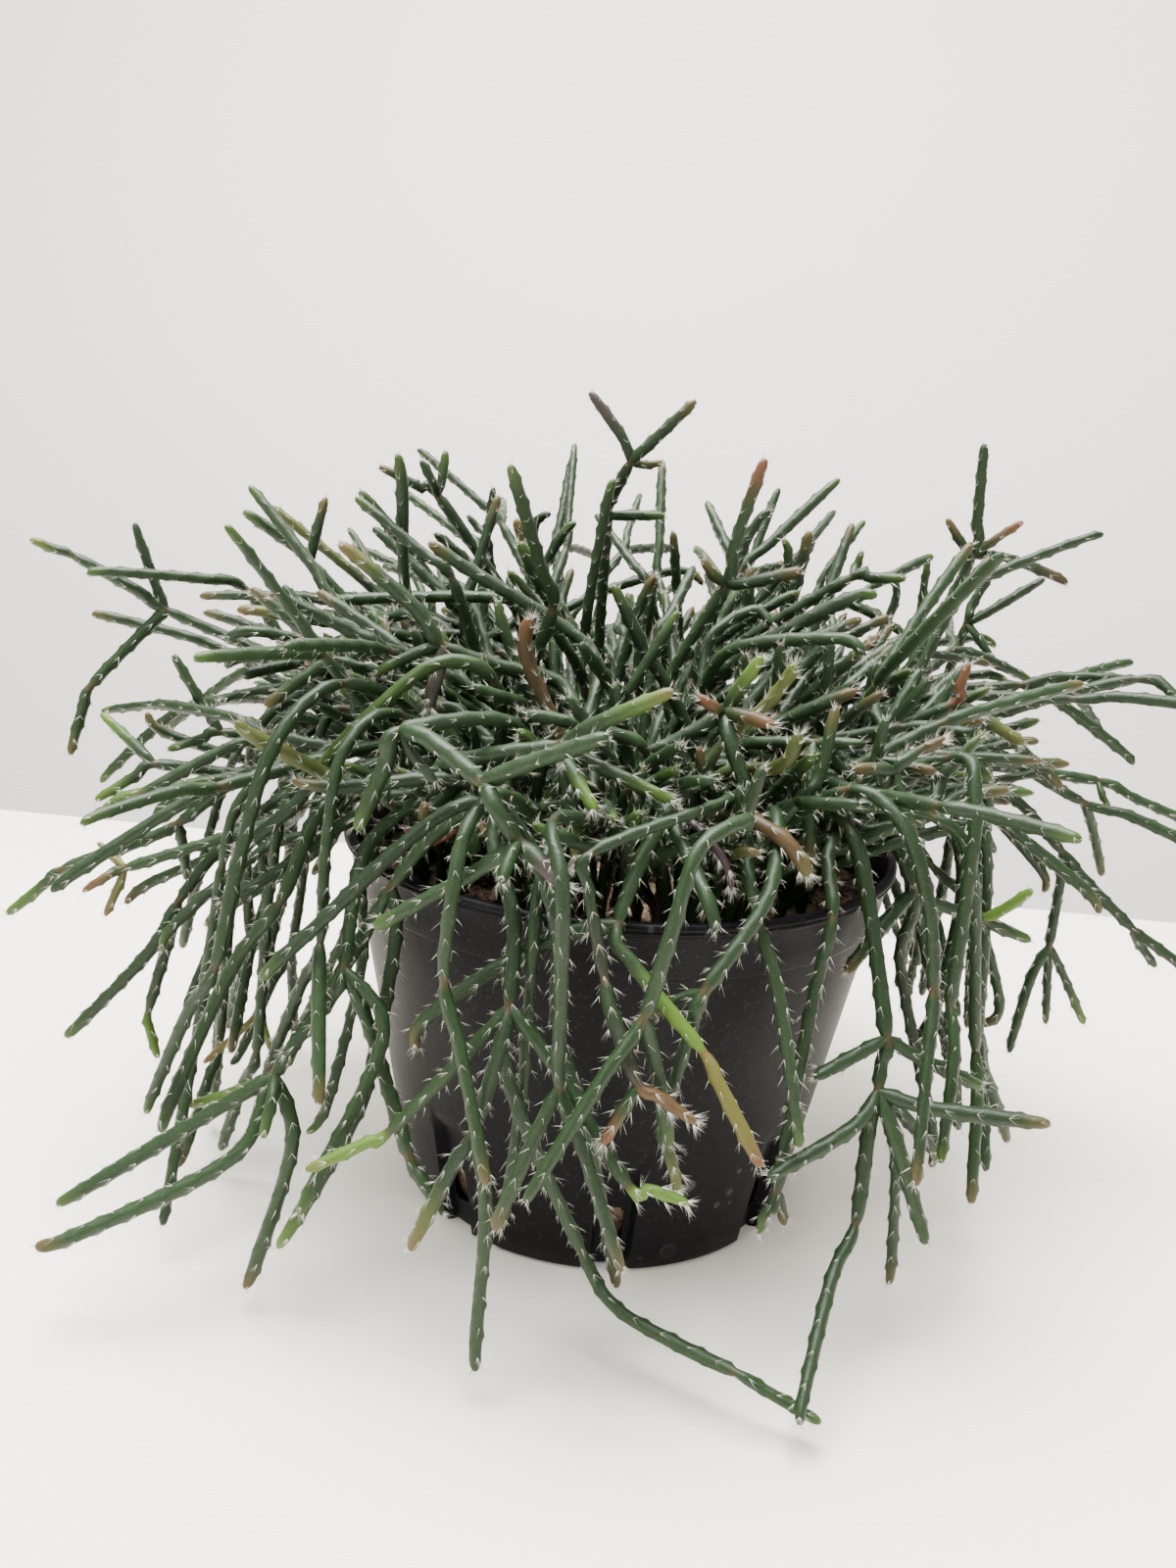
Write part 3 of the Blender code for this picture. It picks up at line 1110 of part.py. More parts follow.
def make_pot(mat):
    """The thin moulded pot, fluted at its foot, with slots and drain holes."""
    bm = bmesh.new()
    turns = pot_turns()
    rings = []
    for radius, height, share in pot_profile():
        ring = []
        for turn, fluted in turns:
            r = radius - FLUTE_DEPTH * share * fluted
            ring.append(bm.verts.new((r * math.cos(turn), r * math.sin(turn), height)))
        rings.append(ring)
    count = len(turns)
    for a, b in zip(rings, rings[1:]):
        for j in range(count):
            i = (j + 1) % count
            bm.faces.new((a[j], a[i], b[i], b[j]))
    for ring, height in ((rings[0], 0.0), (rings[-1], POT_FLOOR)):
        middle = bm.verts.new((0.0, 0.0, height))
        for j in range(count):
            bm.faces.new((ring[j], ring[(j + 1) % count], middle))
    pot = make_object("pot", bm, mat)
    cutters = []
    for k in range(FLUTE_COUNT):
        turn = -math.pi / 2 + FLUTE_TURN + k * math.tau / FLUTE_COUNT
        slope = (POT_RIM_RADIUS - POT_BASE_RADIUS) / POT_HEIGHT
        r = POT_BASE_RADIUS - FLUTE_DEPTH + slope * (SLOT_LOW + SLOT_HIGH) / 2
        cut = bmesh.new()
        bmesh.ops.create_cube(cut, size=1.0)
        bmesh.ops.scale(cut, verts=cut.verts, vec=(SLOT_CUT, SLOT_WIDTH, SLOT_HIGH - SLOT_LOW))
        slot = make_object(f"slot_{k}", cut, mat)
        slot.location = (r * math.cos(turn), r * math.sin(turn), (SLOT_LOW + SLOT_HIGH) / 2)
        slot.rotation_euler = (0.0, 0.0, turn)
        cutters.append(slot)
    for k in range(DRAIN_COUNT):
        turn = k * math.tau / DRAIN_COUNT
        cut = bmesh.new()
        bmesh.ops.create_cone(cut, segments=DRAIN_SIDES, radius1=DRAIN_RADIUS, radius2=DRAIN_RADIUS,
                              depth=DRAIN_CUT, cap_ends=True)
        drain = make_object(f"drain_{k}", cut, mat)
        drain.location = (DRAIN_RING * math.cos(turn), DRAIN_RING * math.sin(turn), 0.0)
        cutters.append(drain)
    bpy.context.view_layer.update()
    apply_boolean(pot, cutters, 'DIFFERENCE', 'MANIFOLD')
    return pot


def make_soil(crowns, mat):
    """The potting soil: one solid with a plain hole for each root crown."""
    rng = random.Random(SEED + 1)
    slope = (POT_RIM_RADIUS - POT_BASE_RADIUS) / POT_HEIGHT
    inner = POT_WALL + GAP

    def wall(height):
        return POT_BASE_RADIUS + slope * height - inner

    foot = POT_FLOOR + GAP
    band = POT_HEIGHT - BAND_DROP
    profile = [
        (wall(foot) - FLUTE_DEPTH - 0.0006, foot, 0.0),
        (wall(FLUTE_TOP) - FLUTE_DEPTH - 0.0010, FLUTE_TOP + 0.0005, 0.0),
        (wall(FLUTE_TOP + 0.003) - 0.0005, FLUTE_TOP + 0.0035, 0.0),
        (wall(band - 0.002) - 0.0003, band - 0.0020, 0.0),
        (wall(band - 0.002) - 0.0003, SOIL_TOP - SOIL_FALL, 0.4),
        (0.72 * POT_RIM_RADIUS, SOIL_TOP - 0.0006, 1.0),
        (0.42 * POT_RIM_RADIUS, SOIL_TOP, 1.0),
    ]
    sides = SOIL_SIDES
    bm = bmesh.new()
    rings = []
    for radius, height, rough in profile:
        ring = []
        for j in range(sides):
            turn = math.tau * j / sides
            bump = SOIL_BUMP * rough * rng.uniform(*SOIL_ROUGH)
            ring.append(bm.verts.new((radius * math.cos(turn), radius * math.sin(turn),
                                      height + bump)))
        rings.append(ring)
    for a, b in zip(rings, rings[1:]):
        for j in range(sides):
            i = (j + 1) % sides
            bm.faces.new((a[j], a[i], b[i]))
            bm.faces.new((a[j], b[i], b[j]))
    for ring, height in ((rings[0], foot), (rings[-1], SOIL_TOP)):
        middle = bm.verts.new((0.0, 0.0, height))
        for j in range(sides):
            bm.faces.new((ring[j], ring[(j + 1) % sides], middle))
    soil = make_object("soil", bm, mat)
    holes = []
    for k, centre in enumerate(crowns):
        cut = bmesh.new()
        radius = (CROWN_RADIUS + GAP) / math.cos(math.pi / CROWN_SIDES)
        bmesh.ops.create_cone(cut, segments=CROWN_SIDES, radius1=radius, radius2=radius,
                              depth=2 * CROWN_DEPTH, cap_ends=True)
        hole = make_object(f"hole_{k}", cut, mat)
        hole.location = (centre.x, centre.y, SOIL_TOP)
        holes.append(hole)
    bpy.context.view_layer.update()
    apply_boolean(soil, holes, 'DIFFERENCE', 'EXACT')
    return soil


def main():
    """Build the pot, the soil and the clumps of stems."""
    clear_scene()
    plastic = finish(*PLASTIC)
    earth = finish(*EARTH)
    green = finish(*GREEN)
    crowns = crown_centres()
    used = [0] * len(crowns)
    plant = Plant()
    lay_read_shoots(plant, crowns, used)
    lay_back_shoots(plant, crowns, used)
    settle(plant)
    print("points", len(plant.pos), "crowns", used, "gap", tightest_gap(plant))
    make_pot(plastic)
    make_soil(crowns, earth)
    paths = split_paths(plant)
    total = 0
    for clump in range(len(crowns)):
        obj = make_clump(plant, crowns[clump], paths, clump, green)
        faces = sum(len(p.vertices) - 2 for p in obj.data.polygons)
        total += faces
        print(obj.name, faces)
    print("stem triangles", total)


main()
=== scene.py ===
"""Looks of a bristly mistletoe cactus in its black nursery pot.

Every stem follows the centre line that its solid has. The skin, the bristles, the moulded pot and
the potting mix are finished here, and a pale floor and soft studio light stand round the plant.
"""
import json
import logging
import math
import random
from dataclasses import dataclass, field
from enum import Enum
from typing import Any, Iterable, Sequence

import bmesh
import bpy
import numpy as np
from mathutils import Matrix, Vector, noise

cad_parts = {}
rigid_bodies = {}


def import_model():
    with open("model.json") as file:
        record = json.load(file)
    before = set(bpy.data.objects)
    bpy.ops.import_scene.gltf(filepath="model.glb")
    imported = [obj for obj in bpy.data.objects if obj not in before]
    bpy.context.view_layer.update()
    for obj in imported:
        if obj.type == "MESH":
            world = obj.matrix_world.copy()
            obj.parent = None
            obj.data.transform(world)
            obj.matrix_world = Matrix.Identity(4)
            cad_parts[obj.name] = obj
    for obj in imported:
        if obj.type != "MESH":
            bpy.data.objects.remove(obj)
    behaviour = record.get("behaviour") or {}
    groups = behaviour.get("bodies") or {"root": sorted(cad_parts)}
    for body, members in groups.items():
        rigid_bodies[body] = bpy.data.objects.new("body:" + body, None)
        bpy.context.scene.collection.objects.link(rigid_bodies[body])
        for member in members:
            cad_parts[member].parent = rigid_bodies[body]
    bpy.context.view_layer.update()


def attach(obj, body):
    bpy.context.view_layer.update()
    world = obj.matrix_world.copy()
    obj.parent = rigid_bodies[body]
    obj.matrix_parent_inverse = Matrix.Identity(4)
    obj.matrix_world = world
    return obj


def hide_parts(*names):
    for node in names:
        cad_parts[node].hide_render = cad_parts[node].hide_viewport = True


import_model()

LOG = logging.getLogger("mistletoe_cactus")
MM = 0.001
SEED = 41

Points = list[Vector]
Colour = tuple[float, float, float]

# Front shoots, read one by one. Each has its name, what it grows from ("" is the nearest crown),
# its depth in millimetres at its root and at its end (+ is away from the viewer), its thickness
# beside the usual stem, and the picture points (column, row) that it passes, root first. A shoot
# that grows from another starts at that one's end, which its points leave out.
SHOOTS = (
    # High on the left
    ("kite", "", 30, 20, 1.0, (345, 700), (240, 668), (169, 629)),
    ("kite_a", "kite", 20, 15, 1.0, (125, 598), (73, 571)),
    ("kite_a1", "kite_a", 15, 12, 0.9, (33, 555)),
    ("kite_b", "kite", 20, 20, 0.9, (147, 573), (137, 538)),
    ("kite_c", "kite", 20, 10, 1.0, (120, 674), (92, 705)),
    ("kite_c1", "kite_c", 10, 5, 0.9, (76, 750), (72, 775)),
    ("left_dip", "", 10, 0, 1.0, (330, 762), (280, 758), (228, 756)),
    ("left_dip_a", "left_dip", 0, 0, 0.9, (205, 722), (179, 676)),
    ("left_dip_b", "left_dip", 0, -5, 0.9, (200, 765), (173, 774)),
    ("left_mid", "", 15, 5, 0.9, (300, 790), (240, 788), (199, 777), (153, 734)),
    ("left_pair", "", 0, -10, 1.0, (300, 800), (230, 800), (156, 790)),
    ("left_pair_a", "left_pair", -10, -5, 0.9, (125, 758), (102, 737)),
    ("left_pair_b", "left_pair", -10, -15, 0.9, (130, 808), (97, 828)),
    ("left_low_1", "", -5, -12, 0.9, (260, 800), (195, 800), (150, 812), (101, 843)),
    ("left_low_2", "", 5, 5, 0.9, (250, 790), (195, 805), (162, 850)),
    ("left_long", "", -15, -20, 1.0, (300, 792), (233, 807), (180, 848)),
    ("left_long_a", "left_long", -20, -25, 1.0, (125, 872), (62, 893)),
    ("left_long_b", "left_long_a", -25, -28, 0.9, (20, 927), (5, 937)),
    ("left_long_c", "left_long", -20, -15, 0.9, (186, 875), (190, 905)),
    ("left_droop", "", -25, -32, 0.9, (345, 846), (260, 858), (195, 874), (127, 895)),
    ("left_droop_a", "left_droop", -32, -30, 0.7, (102, 870)),
    ("left_droop_b", "left_droop", -32, -35, 0.7, (88, 918)),
    ("left_droop_c", "left_droop", -32, -32, 0.7, (106, 943)),
    # Upper left of the mound
    ("peak", "", 40, 30, 1.0, (540, 650), (500, 590), (445, 503)),
    ("peak_a", "peak", 30, 28, 0.9, (428, 470)),
    ("peak_b", "peak", 30, 32, 0.9, (450, 480), (452, 460)),
    ("peak_c", "peak", 30, 26, 0.9, (415, 488), (385, 473)),
    ("post", "", 10, 0, 1.0, (440, 650), (403, 605), (412, 535), (406, 478)),
    ("fan_1", "", 30, 25, 1.0, (480, 650), (428, 590), (401, 555), (371, 520)),
    ("fan_2", "", 35, 30, 0.9, (410, 625), (350, 580), (300, 540), (269, 520)),
    ("fan_3", "", 20, 18, 1.0, (370, 655), (335, 630), (315, 588)),
    ("fan_3a", "fan_3", 18, 15, 1.0, (280, 555), (246, 536)),
    ("fan_3b", "fan_3", 18, 22, 0.9, (323, 550), (332, 520)),
    ("ramp", "", -30, -38, 1.1, (545, 702), (500, 690), (446, 667)),
    ("ramp_a", "ramp", -38, -40, 1.1, (405, 612), (338, 560)),
    ("ramp_b", "ramp", -38, -46, 1.1, (437, 700), (430, 730)),
    ("ramp_c", "ramp", -38, -42, 0.9, (400, 680), (375, 697)),
    ("shelf_1", "", -10, -20, 1.0, (590, 645), (505, 620), (429, 573)),
    ("shelf_2", "", -15, -22, 1.0, (410, 700), (370, 690), (340, 683)),
    ("shelf_2a", "shelf_2", -22, -22, 1.0, (300, 645), (256, 611)),
    ("shelf_2b", "shelf_2", -22, -28, 1.0, (310, 700), (270, 730)),
    ("shelf_3", "", 10, 8, 1.0, (380, 662), (330, 637), (298, 608)),
    ("shelf_4", "", 0, -5, 1.0, (390, 660), (320, 645), (241, 638)),
    ("shelf_5", "", 20, 10, 1.0, (560, 640), (450, 625), (335, 640)),
    ("shelf_6", "", -8, -12, 0.9, (350, 668), (290, 658), (236, 667)),
    ("shelf_7", "", -12, -18, 1.0, (370, 680), (300, 670), (228, 697)),
    ("shelf_8", "", 5, 0, 0.8, (360, 700), (275, 712), (222, 728)),
    ("shelf_9", "", 45, 40, 0.9, (520, 615), (475, 575), (441, 549)),
    ("twig_1", "", 55, 50, 0.9, (510, 640), (498, 595), (492, 548)),
    ("twig_1a", "twig_1", 50, 50, 0.8, (476, 530)),
    ("twig_1b", "twig_1", 50, 50, 0.8, (499, 500)),
    # Middle of the top
    ("mast", "", 40, 36, 1.0, (612, 660), (616, 590), (622, 536)),
    ("mast_a", "mast", 36, 30, 1.0, (635, 500), (650, 480)),
    ("mast_b", "mast", 36, 36, 0.9, (650, 534), (681, 535)),
    ("mast_a1", "mast_a", 30, 28, 0.9, (637, 445), (607, 407)),
    ("mast_a2", "mast_a", 30, 26, 1.0, (680, 450), (716, 416)),
    ("mast_a3", "mast_a", 30, 30, 0.8, (678, 477)),
    ("mast_c", "", 28, 25, 0.9, (596, 660), (605, 580), (626, 502)),
    ("crest_1", "", 60, 55, 0.9, (540, 640), (535, 568), (560, 533)),
    ("crest_2", "", 30, 20, 1.0, (572, 668), (545, 600), (525, 543)),
    ("crest_3", "", 10, 0, 1.1, (580, 680), (552, 620), (528, 573)),
    ("crest_4", "", 42, 40, 0.9, (545, 640), (560, 590), (595, 552)),
    ("crest_5", "", 0, -5, 0.9, (570, 665), (532, 620), (516, 603)),
    ("bristle_post", "", -28, -35, 1.1, (546, 740), (538, 690), (540, 645)),
    ("crest_6", "", -8, -14, 1.0, (694, 735), (660, 685), (621, 607)),
    ("crest_7", "", 20, 18, 0.9, (640, 695), (645, 650), (668, 597)),
    ("crest_8", "", 55, 50, 0.9, (690, 650), (688, 610), (684, 560)),
    ("crest_9", "", 70, 70, 0.9, (590, 600), (640, 580), (715, 605)),
    # Upper right of the mound
    ("horn", "", -5, -8, 1.0, (680, 700), (705, 655), (733, 603)),
    ("horn_a", "horn", -8, -12, 1.0, (745, 550), (774, 472)),
    ("horn_b", "horn", -8, -10, 0.9, (713, 577)),
    ("horn_c", "horn", -8, -14, 1.0, (765, 600), (813, 588)),
    ("horn_d", "", 20, 18, 0.9, (722, 665), (755, 575), (790, 533)),
    ("plume", "", 20, 10, 1.0, (742, 675), (800, 633), (872, 593)),
    ("plume_a", "plume", 10, 10, 0.8, (880, 572)),
    ("plume_b", "plume", 10, 5, 0.9, (926, 594)),
    ("plume_c", "", 60, 55, 0.9, (780, 650), (812, 590), (828, 567)),
    ("plume_d", "", 42, 40, 0.9, (800, 668), (808, 610), (800, 567)),
    ("plume_e", "", -10, -20, 1.1, (742, 702), (805, 655), (850, 633), (898, 626)),
    ("plume_f", "", -20, -32, 1.0, (770, 660), (828, 657), (885, 687)),
    ("plume_g", "", 5, 0, 0.9, (735, 612), (770, 640), (790, 655)),
    ("plume_h", "", 20, 20, 0.9, (735, 655), (765, 635), (815, 615)),
    ("leaner", "", -42, -46, 1.0, (765, 800), (785, 748), (820, 697)),
    ("elbow", "", -42, -50, 1.0, (700, 868), (680, 812), (655, 776)),
    ("elbow_a", "elbow", -50, -54, 1.0, (690, 756), (735, 725)),
    ("elbow_b", "elbow", -50, -56, 1.0, (600, 748), (530, 738)),
    ("elbow_a1", "elbow_a", -54, -58, 1.0, (760, 690), (775, 668)),
    ("elbow_a2", "elbow_a", -54, -56, 0.9, (713, 710)),
    ("elbow_a3", "elbow_a", -54, -60, 1.0, (760, 730), (785, 738)),
    ("elbow_a4", "elbow_a", -54, -62, 1.0, (750, 760), (755, 842)),
    ("spike", "", 50, 40, 1.0, (880, 790), (920, 720), (970, 635), (996, 577)),
    ("spike_a", "spike", 40, 40, 1.0, (1002, 530), (1008, 460)),
    ("spike_b", "spike", 40, 38, 0.8, (971, 538)),
    ("spike_c", "spike", 40, 36, 0.8, (1025, 553), (1046, 543)),
    ("spike_d", "spike", 40, 38, 0.9, (1050, 580), (1093, 605)),
    ("rod", "", 75, 70, 0.9, (930, 770), (955, 710), (980, 640)),
    ("rod_a", "rod", 70, 70, 0.9, (1008, 590)),
    ("rod_b", "rod", 70, 66, 0.9, (1015, 618), (1060, 592)),
    ("rod_c", "rod", 70, 66, 0.9, (1010, 680)),
    ("rod_d", "", 95, 95, 0.9, (925, 700), (936, 650), (946, 580)),
    ("rod_e", "", 90, 90, 0.9, (880, 700), (912, 650), (905, 598)),
    ("rod_f", "", 82, 78, 0.9, (880, 680), (935, 652), (1015, 670)),
    ("rod_g", "", 62, 58, 0.9, (920, 705), (965, 688), (1030, 712)),
    ("vane", "", -5, -12, 1.0, (850, 795), (930, 748), (978, 727)),
    ("vane_a", "vane", -12, -12, 0.8, (993, 688)),
    ("vane_b", "vane", -12, -16, 1.0, (1015, 745), (1051, 768)),
    ("vane_c", "", 5, 0, 0.9, (930, 800), (976, 779), (1059, 773)),
    ("vane_d", "", -22, -28, 1.0, (880, 805), (940, 790), (1020, 815)),
    # Right side
    ("sweep", "", 35, 38, 1.0, (960, 790), (1042, 794), (1119, 810)),
    ("sweep_a", "sweep", 38, 36, 0.9, (1180, 836), (1240, 862)),
    ("sweep_b", "sweep", 38, 36, 0.7, (1131, 832)),
    ("sweep_c", "", 25, 22, 0.8, (990, 818), (1035, 812), (1077, 785)),
    ("arc", "", 20, 20, 1.0, (975, 815), (1040, 824), (1083, 876)),
    ("arc_a", "arc", 20, 18, 1.0, (1120, 920), (1155, 953)),
    ("arc_a1", "arc_a", 18, 15, 0.9, (1200, 988), (1236, 1012)),
    ("arc_a2", "arc_a", 18, 20, 0.9, (1180, 990)),
    ("arc_b", "arc", 20, 20, 0.9, (1081, 909), (1070, 970)),
    ("arc_b1", "arc_b", 20, 16, 0.9, (1045, 1018), (1030, 1078)),
    ("arc_b2", "arc_b", 20, 20, 0.8, (1067, 1047)),
    ("arc_b3", "arc_b", 20, 24, 0.8, (1105, 1049)),
    ("low_arc", "", 5, 2, 1.0, (960, 812), (1030, 866), (1101, 917), (1122, 946)),
    ("tail", "", 0, 0, 0.9, (950, 905), (1012, 968), (1034, 1010), (999, 1062)),
    ("yoke", "", -25, -35, 1.0, (835, 785), (887, 866), (917, 924)),
    ("yoke_a", "yoke", -35, -48, 1.1, (877, 965), (846, 1001)),
    ("yoke_b", "yoke", -35, -30, 1.0, (953, 935), (995, 947)),
    ("yoke_b1", "yoke_b", -30, -28, 1.0, (1045, 968)),
    ("yoke_b2", "yoke_b", -30, -34, 0.9, (1024, 935), (1045, 917)),
    ("drape_1", "", 10, 10, 0.9, (1000, 835), (1050, 870), (1062, 922)),
    ("drape_2", "", -5, -8, 1.0, (960, 850), (988, 900), (960, 1000), (948, 1100)),
    ("drape_3", "", -20, -22, 0.9, (895, 850), (922, 930), (930, 980), (946, 1042)),
    ("drape_3a", "drape_3", -22, -25, 0.9, (921, 1092)),
    ("drape_3b", "drape_3", -22, -20, 0.9, (965, 1125)),
    ("tuft", "", -38, -46, 1.0, (868, 842), (885, 808), (903, 788)),
    ("tuft_a", "tuft", -46, -50, 1.0, (865, 787)),
    ("tuft_b", "tuft", -46, -52, 0.9, (915, 830), (928, 868)),
    ("tuft_c", "tuft", -46, -46, 0.9, (925, 772), (955, 758)),
    ("crook", "", -25, -34, 1.0, (765, 775), (800, 750), (843, 778)),
    ("crook_a", "crook", -34, -38, 0.9, (888, 778)),
    ("crook_b", "crook", -34, -42, 1.0, (840, 830), (838, 900)),
    ("crook_c", "crook", -34, -40, 0.9, (858, 812), (887, 828)),
    ("club", "", -46, -53, 1.1, (757, 890), (782, 825), (812, 768)),
    # Front of the mound
    ("crossbar", "", -52, -60, 1.1, (440, 806), (482, 789), (568, 772)),
    ("crossbar_a", "crossbar", -60, -68, 1.1, (604, 751), (686, 715)),
    ("crossbar_b", "crossbar", -60, -66, 1.0, (580, 830), (585, 894)),
    ("crossbar_c", "crossbar", -60, -66, 0.9, (609, 794), (686, 829)),
    ("crossbar_d", "crossbar", -60, -70, 1.0, (606, 838)),
    ("bow", "", -50, -62, 1.1, (500, 748), (450, 742), (417, 770)),
    ("bow_a", "bow", -62, -74, 1.2, (460, 792), (497, 830)),
    ("bow_b", "bow", -62, -64, 1.2, (398, 810), (372, 868)),
    ("bow_c", "bow", -62, -68, 0.7, (452, 815)),
    ("bow_a1", "bow_a", -74, -80, 1.1, (558, 802), (624, 783)),
    ("bow_a2", "bow_a", -74, -78, 1.1, (515, 856), (532, 882)),
    ("bow_a3", "bow_a2", -78, -86, 1.1, (558, 907), (579, 927)),
    ("bow_a4", "bow_a2", -78, -76, 1.0, (477, 917), (385, 965)),
    ("bow_a5", "bow_a2", -78, -84, 0.9, (518, 918)),
    ("arch", "", -50, -74, 0.8, (770, 866), (719, 848), (655, 852), (596, 888)),
    ("arch_a", "arch", -74, -80, 0.8, (597, 955), (612, 1010)),
    ("arch_b", "arch_a", -80, -90, 1.0, (625, 1060), (648, 1114)),
    ("arch_b1", "arch_b", -90, -94, 0.8, (611, 1175)),
    ("arch_b2", "arch_b", -90, -92, 0.8, (674, 1129), (707, 1152)),
    ("grey_one", "", -56, -62, 0.6, (716, 846), (737, 873), (752, 925)),
    ("hang_1", "", -58, -76, 1.0, (672, 835), (701, 879), (735, 963)),
    ("hang_2", "", -54, -64, 1.1, (735, 845), (783, 896), (825, 930)),
    ("dead_one", "", -52, -54, 0.5, (530, 896), (487, 876), (423, 848)),
    ("slant", "", -44, -50, 1.0, (455, 696), (405, 727), (325, 810)),
    ("slant_a", "slant", -50, -52, 1.0, (293, 853), (240, 890)),
    ("olive", "", -46, -60, 1.1, (400, 842), (316, 815), (235, 759)),
    ("olive_a", "", -50, -56, 1.0, (440, 828), (370, 820), (306, 812)),
    # Over the left edge
    ("fall", "", -20, -32, 1.0, (345, 832), (250, 868), (187, 940)),
    ("fall_a", "fall", -32, -34, 0.9, (165, 1000), (153, 1050)),
    ("fall_a1", "fall_a", -34, -36, 0.8, (155, 1070), (163, 1095)),
    ("fall_b", "fall", -32, -40, 1.0, (150, 1005), (72, 1078)),
    ("spill_1", "", -5, -10, 0.9, (260, 872), (180, 905), (134, 938)),
    ("spill_2", "", -26, -34, 0.9, (365, 888), (260, 922), (210, 958), (180, 1015)),
    ("spill_3", "", -32, -38, 0.9, (360, 925), (293, 953), (230, 1005)),
    ("spill_4", "", -38, -46, 0.9, (400, 876), (324, 914), (245, 965)),
    ("spill_5", "", -52, -64, 1.0, (450, 880), (383, 922), (283, 1021)),
    ("spill_6", "", -30, -34, 0.9, (420, 955), (360, 976), (342, 1009)),
    ("spill_7", "", -42, -60, 1.0, (330, 905), (262, 1000), (222, 1060), (180, 1180)),
    ("spill_8", "", -16, -20, 0.9, (310, 925), (285, 1000), (275, 1062)),
    ("spill_8a", "spill_8", -20, -24, 0.6, (217, 1110)),
    ("spill_8b", "spill_8", -20, -20, 0.6, (286, 1099)),
    ("low_left", "", -52, -72, 1.0, (425, 925), (367, 1015), (306, 1122)),
    ("low_left_a", "low_left", -72, -80, 1.1, (217, 1173), (145, 1217), (82, 1253)),
    ("low_left_b", "low_left", -72, -92, 1.1, (275, 1191), (209, 1250), (61, 1298)),
    ("low_left_c", "low_left", -72, -80, 1.0, (324, 1186), (309, 1255), (275, 1339)),
    ("low_left_d", "low_left", -72, -78, 0.9, (293, 1184)),
    ("plumb", "", -46, -60, 1.0, (432, 880), (405, 950), (395, 1037)),
    ("plumb_a", "plumb", -60, -70, 1.0, (425, 1120), (452, 1217)),
    ("plumb_a1", "plumb_a", -70, -76, 0.9, (483, 1271)),
    ("plumb_b", "plumb", -60, -64, 0.9, (357, 1089), (327, 1118)),
    ("plumb_c", "", -58, -76, 1.0, (425, 1040), (395, 1130), (362, 1204), (306, 1291)),
    ("plumb_d", "", -62, -80, 0.9, (432, 1080), (395, 1173), (344, 1277)),
    ("plumb_e", "", -42, -50, 0.8, (415, 1060), (398, 1190), (357, 1279)),
    ("plumb_f", "", -36, -39, 0.7, (375, 1100), (311, 1219), (227, 1255)),
    # Down the front of the pot
    ("veil", "", -60, -82, 1.0, (500, 900), (526, 955), (524, 1043)),
    ("veil_a", "veil", -82, -88, 1.0, (515, 1082), (487, 1165)),
    ("veil_a1", "veil_a", -88, -92, 1.0, (451, 1224), (423, 1283)),
    ("veil_a2", "veil_a", -88, -97, 0.9, (501, 1255), (491, 1344), (489, 1405)),
    ("veil_b", "veil", -82, -94, 0.9, (589, 1128), (645, 1222)),
    ("veil_b1", "veil_b", -94, -96, 0.8, (678, 1227), (704, 1240)),
    ("veil_c", "veil", -82, -84, 0.9, (450, 1120), (403, 1165)),
    ("veil_c1", "veil_c", -84, -88, 0.8, (352, 1189), (316, 1204)),
    ("veil_d", "veil", -82, -78, 0.9, (530, 1130), (601, 1281)),
    ("veil_d1", "veil_d", -78, -97, 0.9, (645, 1344), (706, 1375), (757, 1400)),
    ("veil_d2", "veil_d1", -97, -103, 0.8, (844, 1450)),
    ("fork", "", -60, -74, 1.0, (690, 862), (663, 905), (632, 953)),
    ("fork_a", "fork", -74, -78, 1.0, (529, 961), (452, 1003), (426, 1070)),
    ("fork_b", "fork", -74, -84, 0.9, (660, 1015), (717, 1080)),
    ("fork_b1", "fork_b", -84, -92, 0.9, (740, 1125), (776, 1196)),
    ("ribbon", "", -58, -78, 1.0, (795, 880), (736, 961), (700, 1022)),
    ("ribbon_a", "ribbon", -78, -80, 0.9, (678, 1085), (660, 1155)),
    ("ribbon_a1", "ribbon_a", -80, -82, 0.8, (672, 1195), (678, 1221)),
    ("ribbon_b", "ribbon", -78, -80, 0.8, (640, 1052)),
    ("ribbon_c", "", -56, -72, 0.9, (742, 910), (745, 990), (770, 1064), (785, 1194)),
    ("cord", "", -50, -70, 0.9, (835, 905), (815, 1010), (797, 1120), (775, 1225)),
    ("cord_a", "cord", -70, -72, 0.8, (761, 1262)),
    ("cord_b", "cord", -70, -70, 0.8, (782, 1258)),
    ("under_1", "", -64, -70, 0.9, (570, 940), (565, 1040), (600, 1180), (622, 1325)),
    ("under_2", "", -62, -66, 0.8, (545, 960), (535, 1100), (525, 1200), (510, 1262)),
    # Right front
    ("root_right", "", -44, -60, 1.1, (850, 900), (882, 990), (892, 1085)),
    ("claw", "root_right", -60, -64, 1.0, (893, 1121)),
    ("claw_a", "claw", -64, -72, 1.1, (957, 1140), (1069, 1153)),
    ("claw_b", "claw", -64, -80, 1.0, (858, 1166), (780, 1207)),
    ("claw_c", "claw", -64, -72, 1.1, (916, 1191), (940, 1274)),
    ("claw_d", "claw", -64, -72, 1.0, (878, 1198), (871, 1255)),
    ("claw_d1", "claw_d", -72, -105, 0.9, (833, 1348), (814, 1459)),
    ("claw_e", "claw", -64, -62, 0.8, (916, 1204), (905, 1316)),
    ("claw_f", "claw", -64, -58, 0.9, (957, 1193)),
    ("claw_g", "root_right", -60, -70, 1.0, (819, 1124)),
    ("claw_h", "root_right", -60, -54, 1.0, (948, 1115), (991, 1131)),
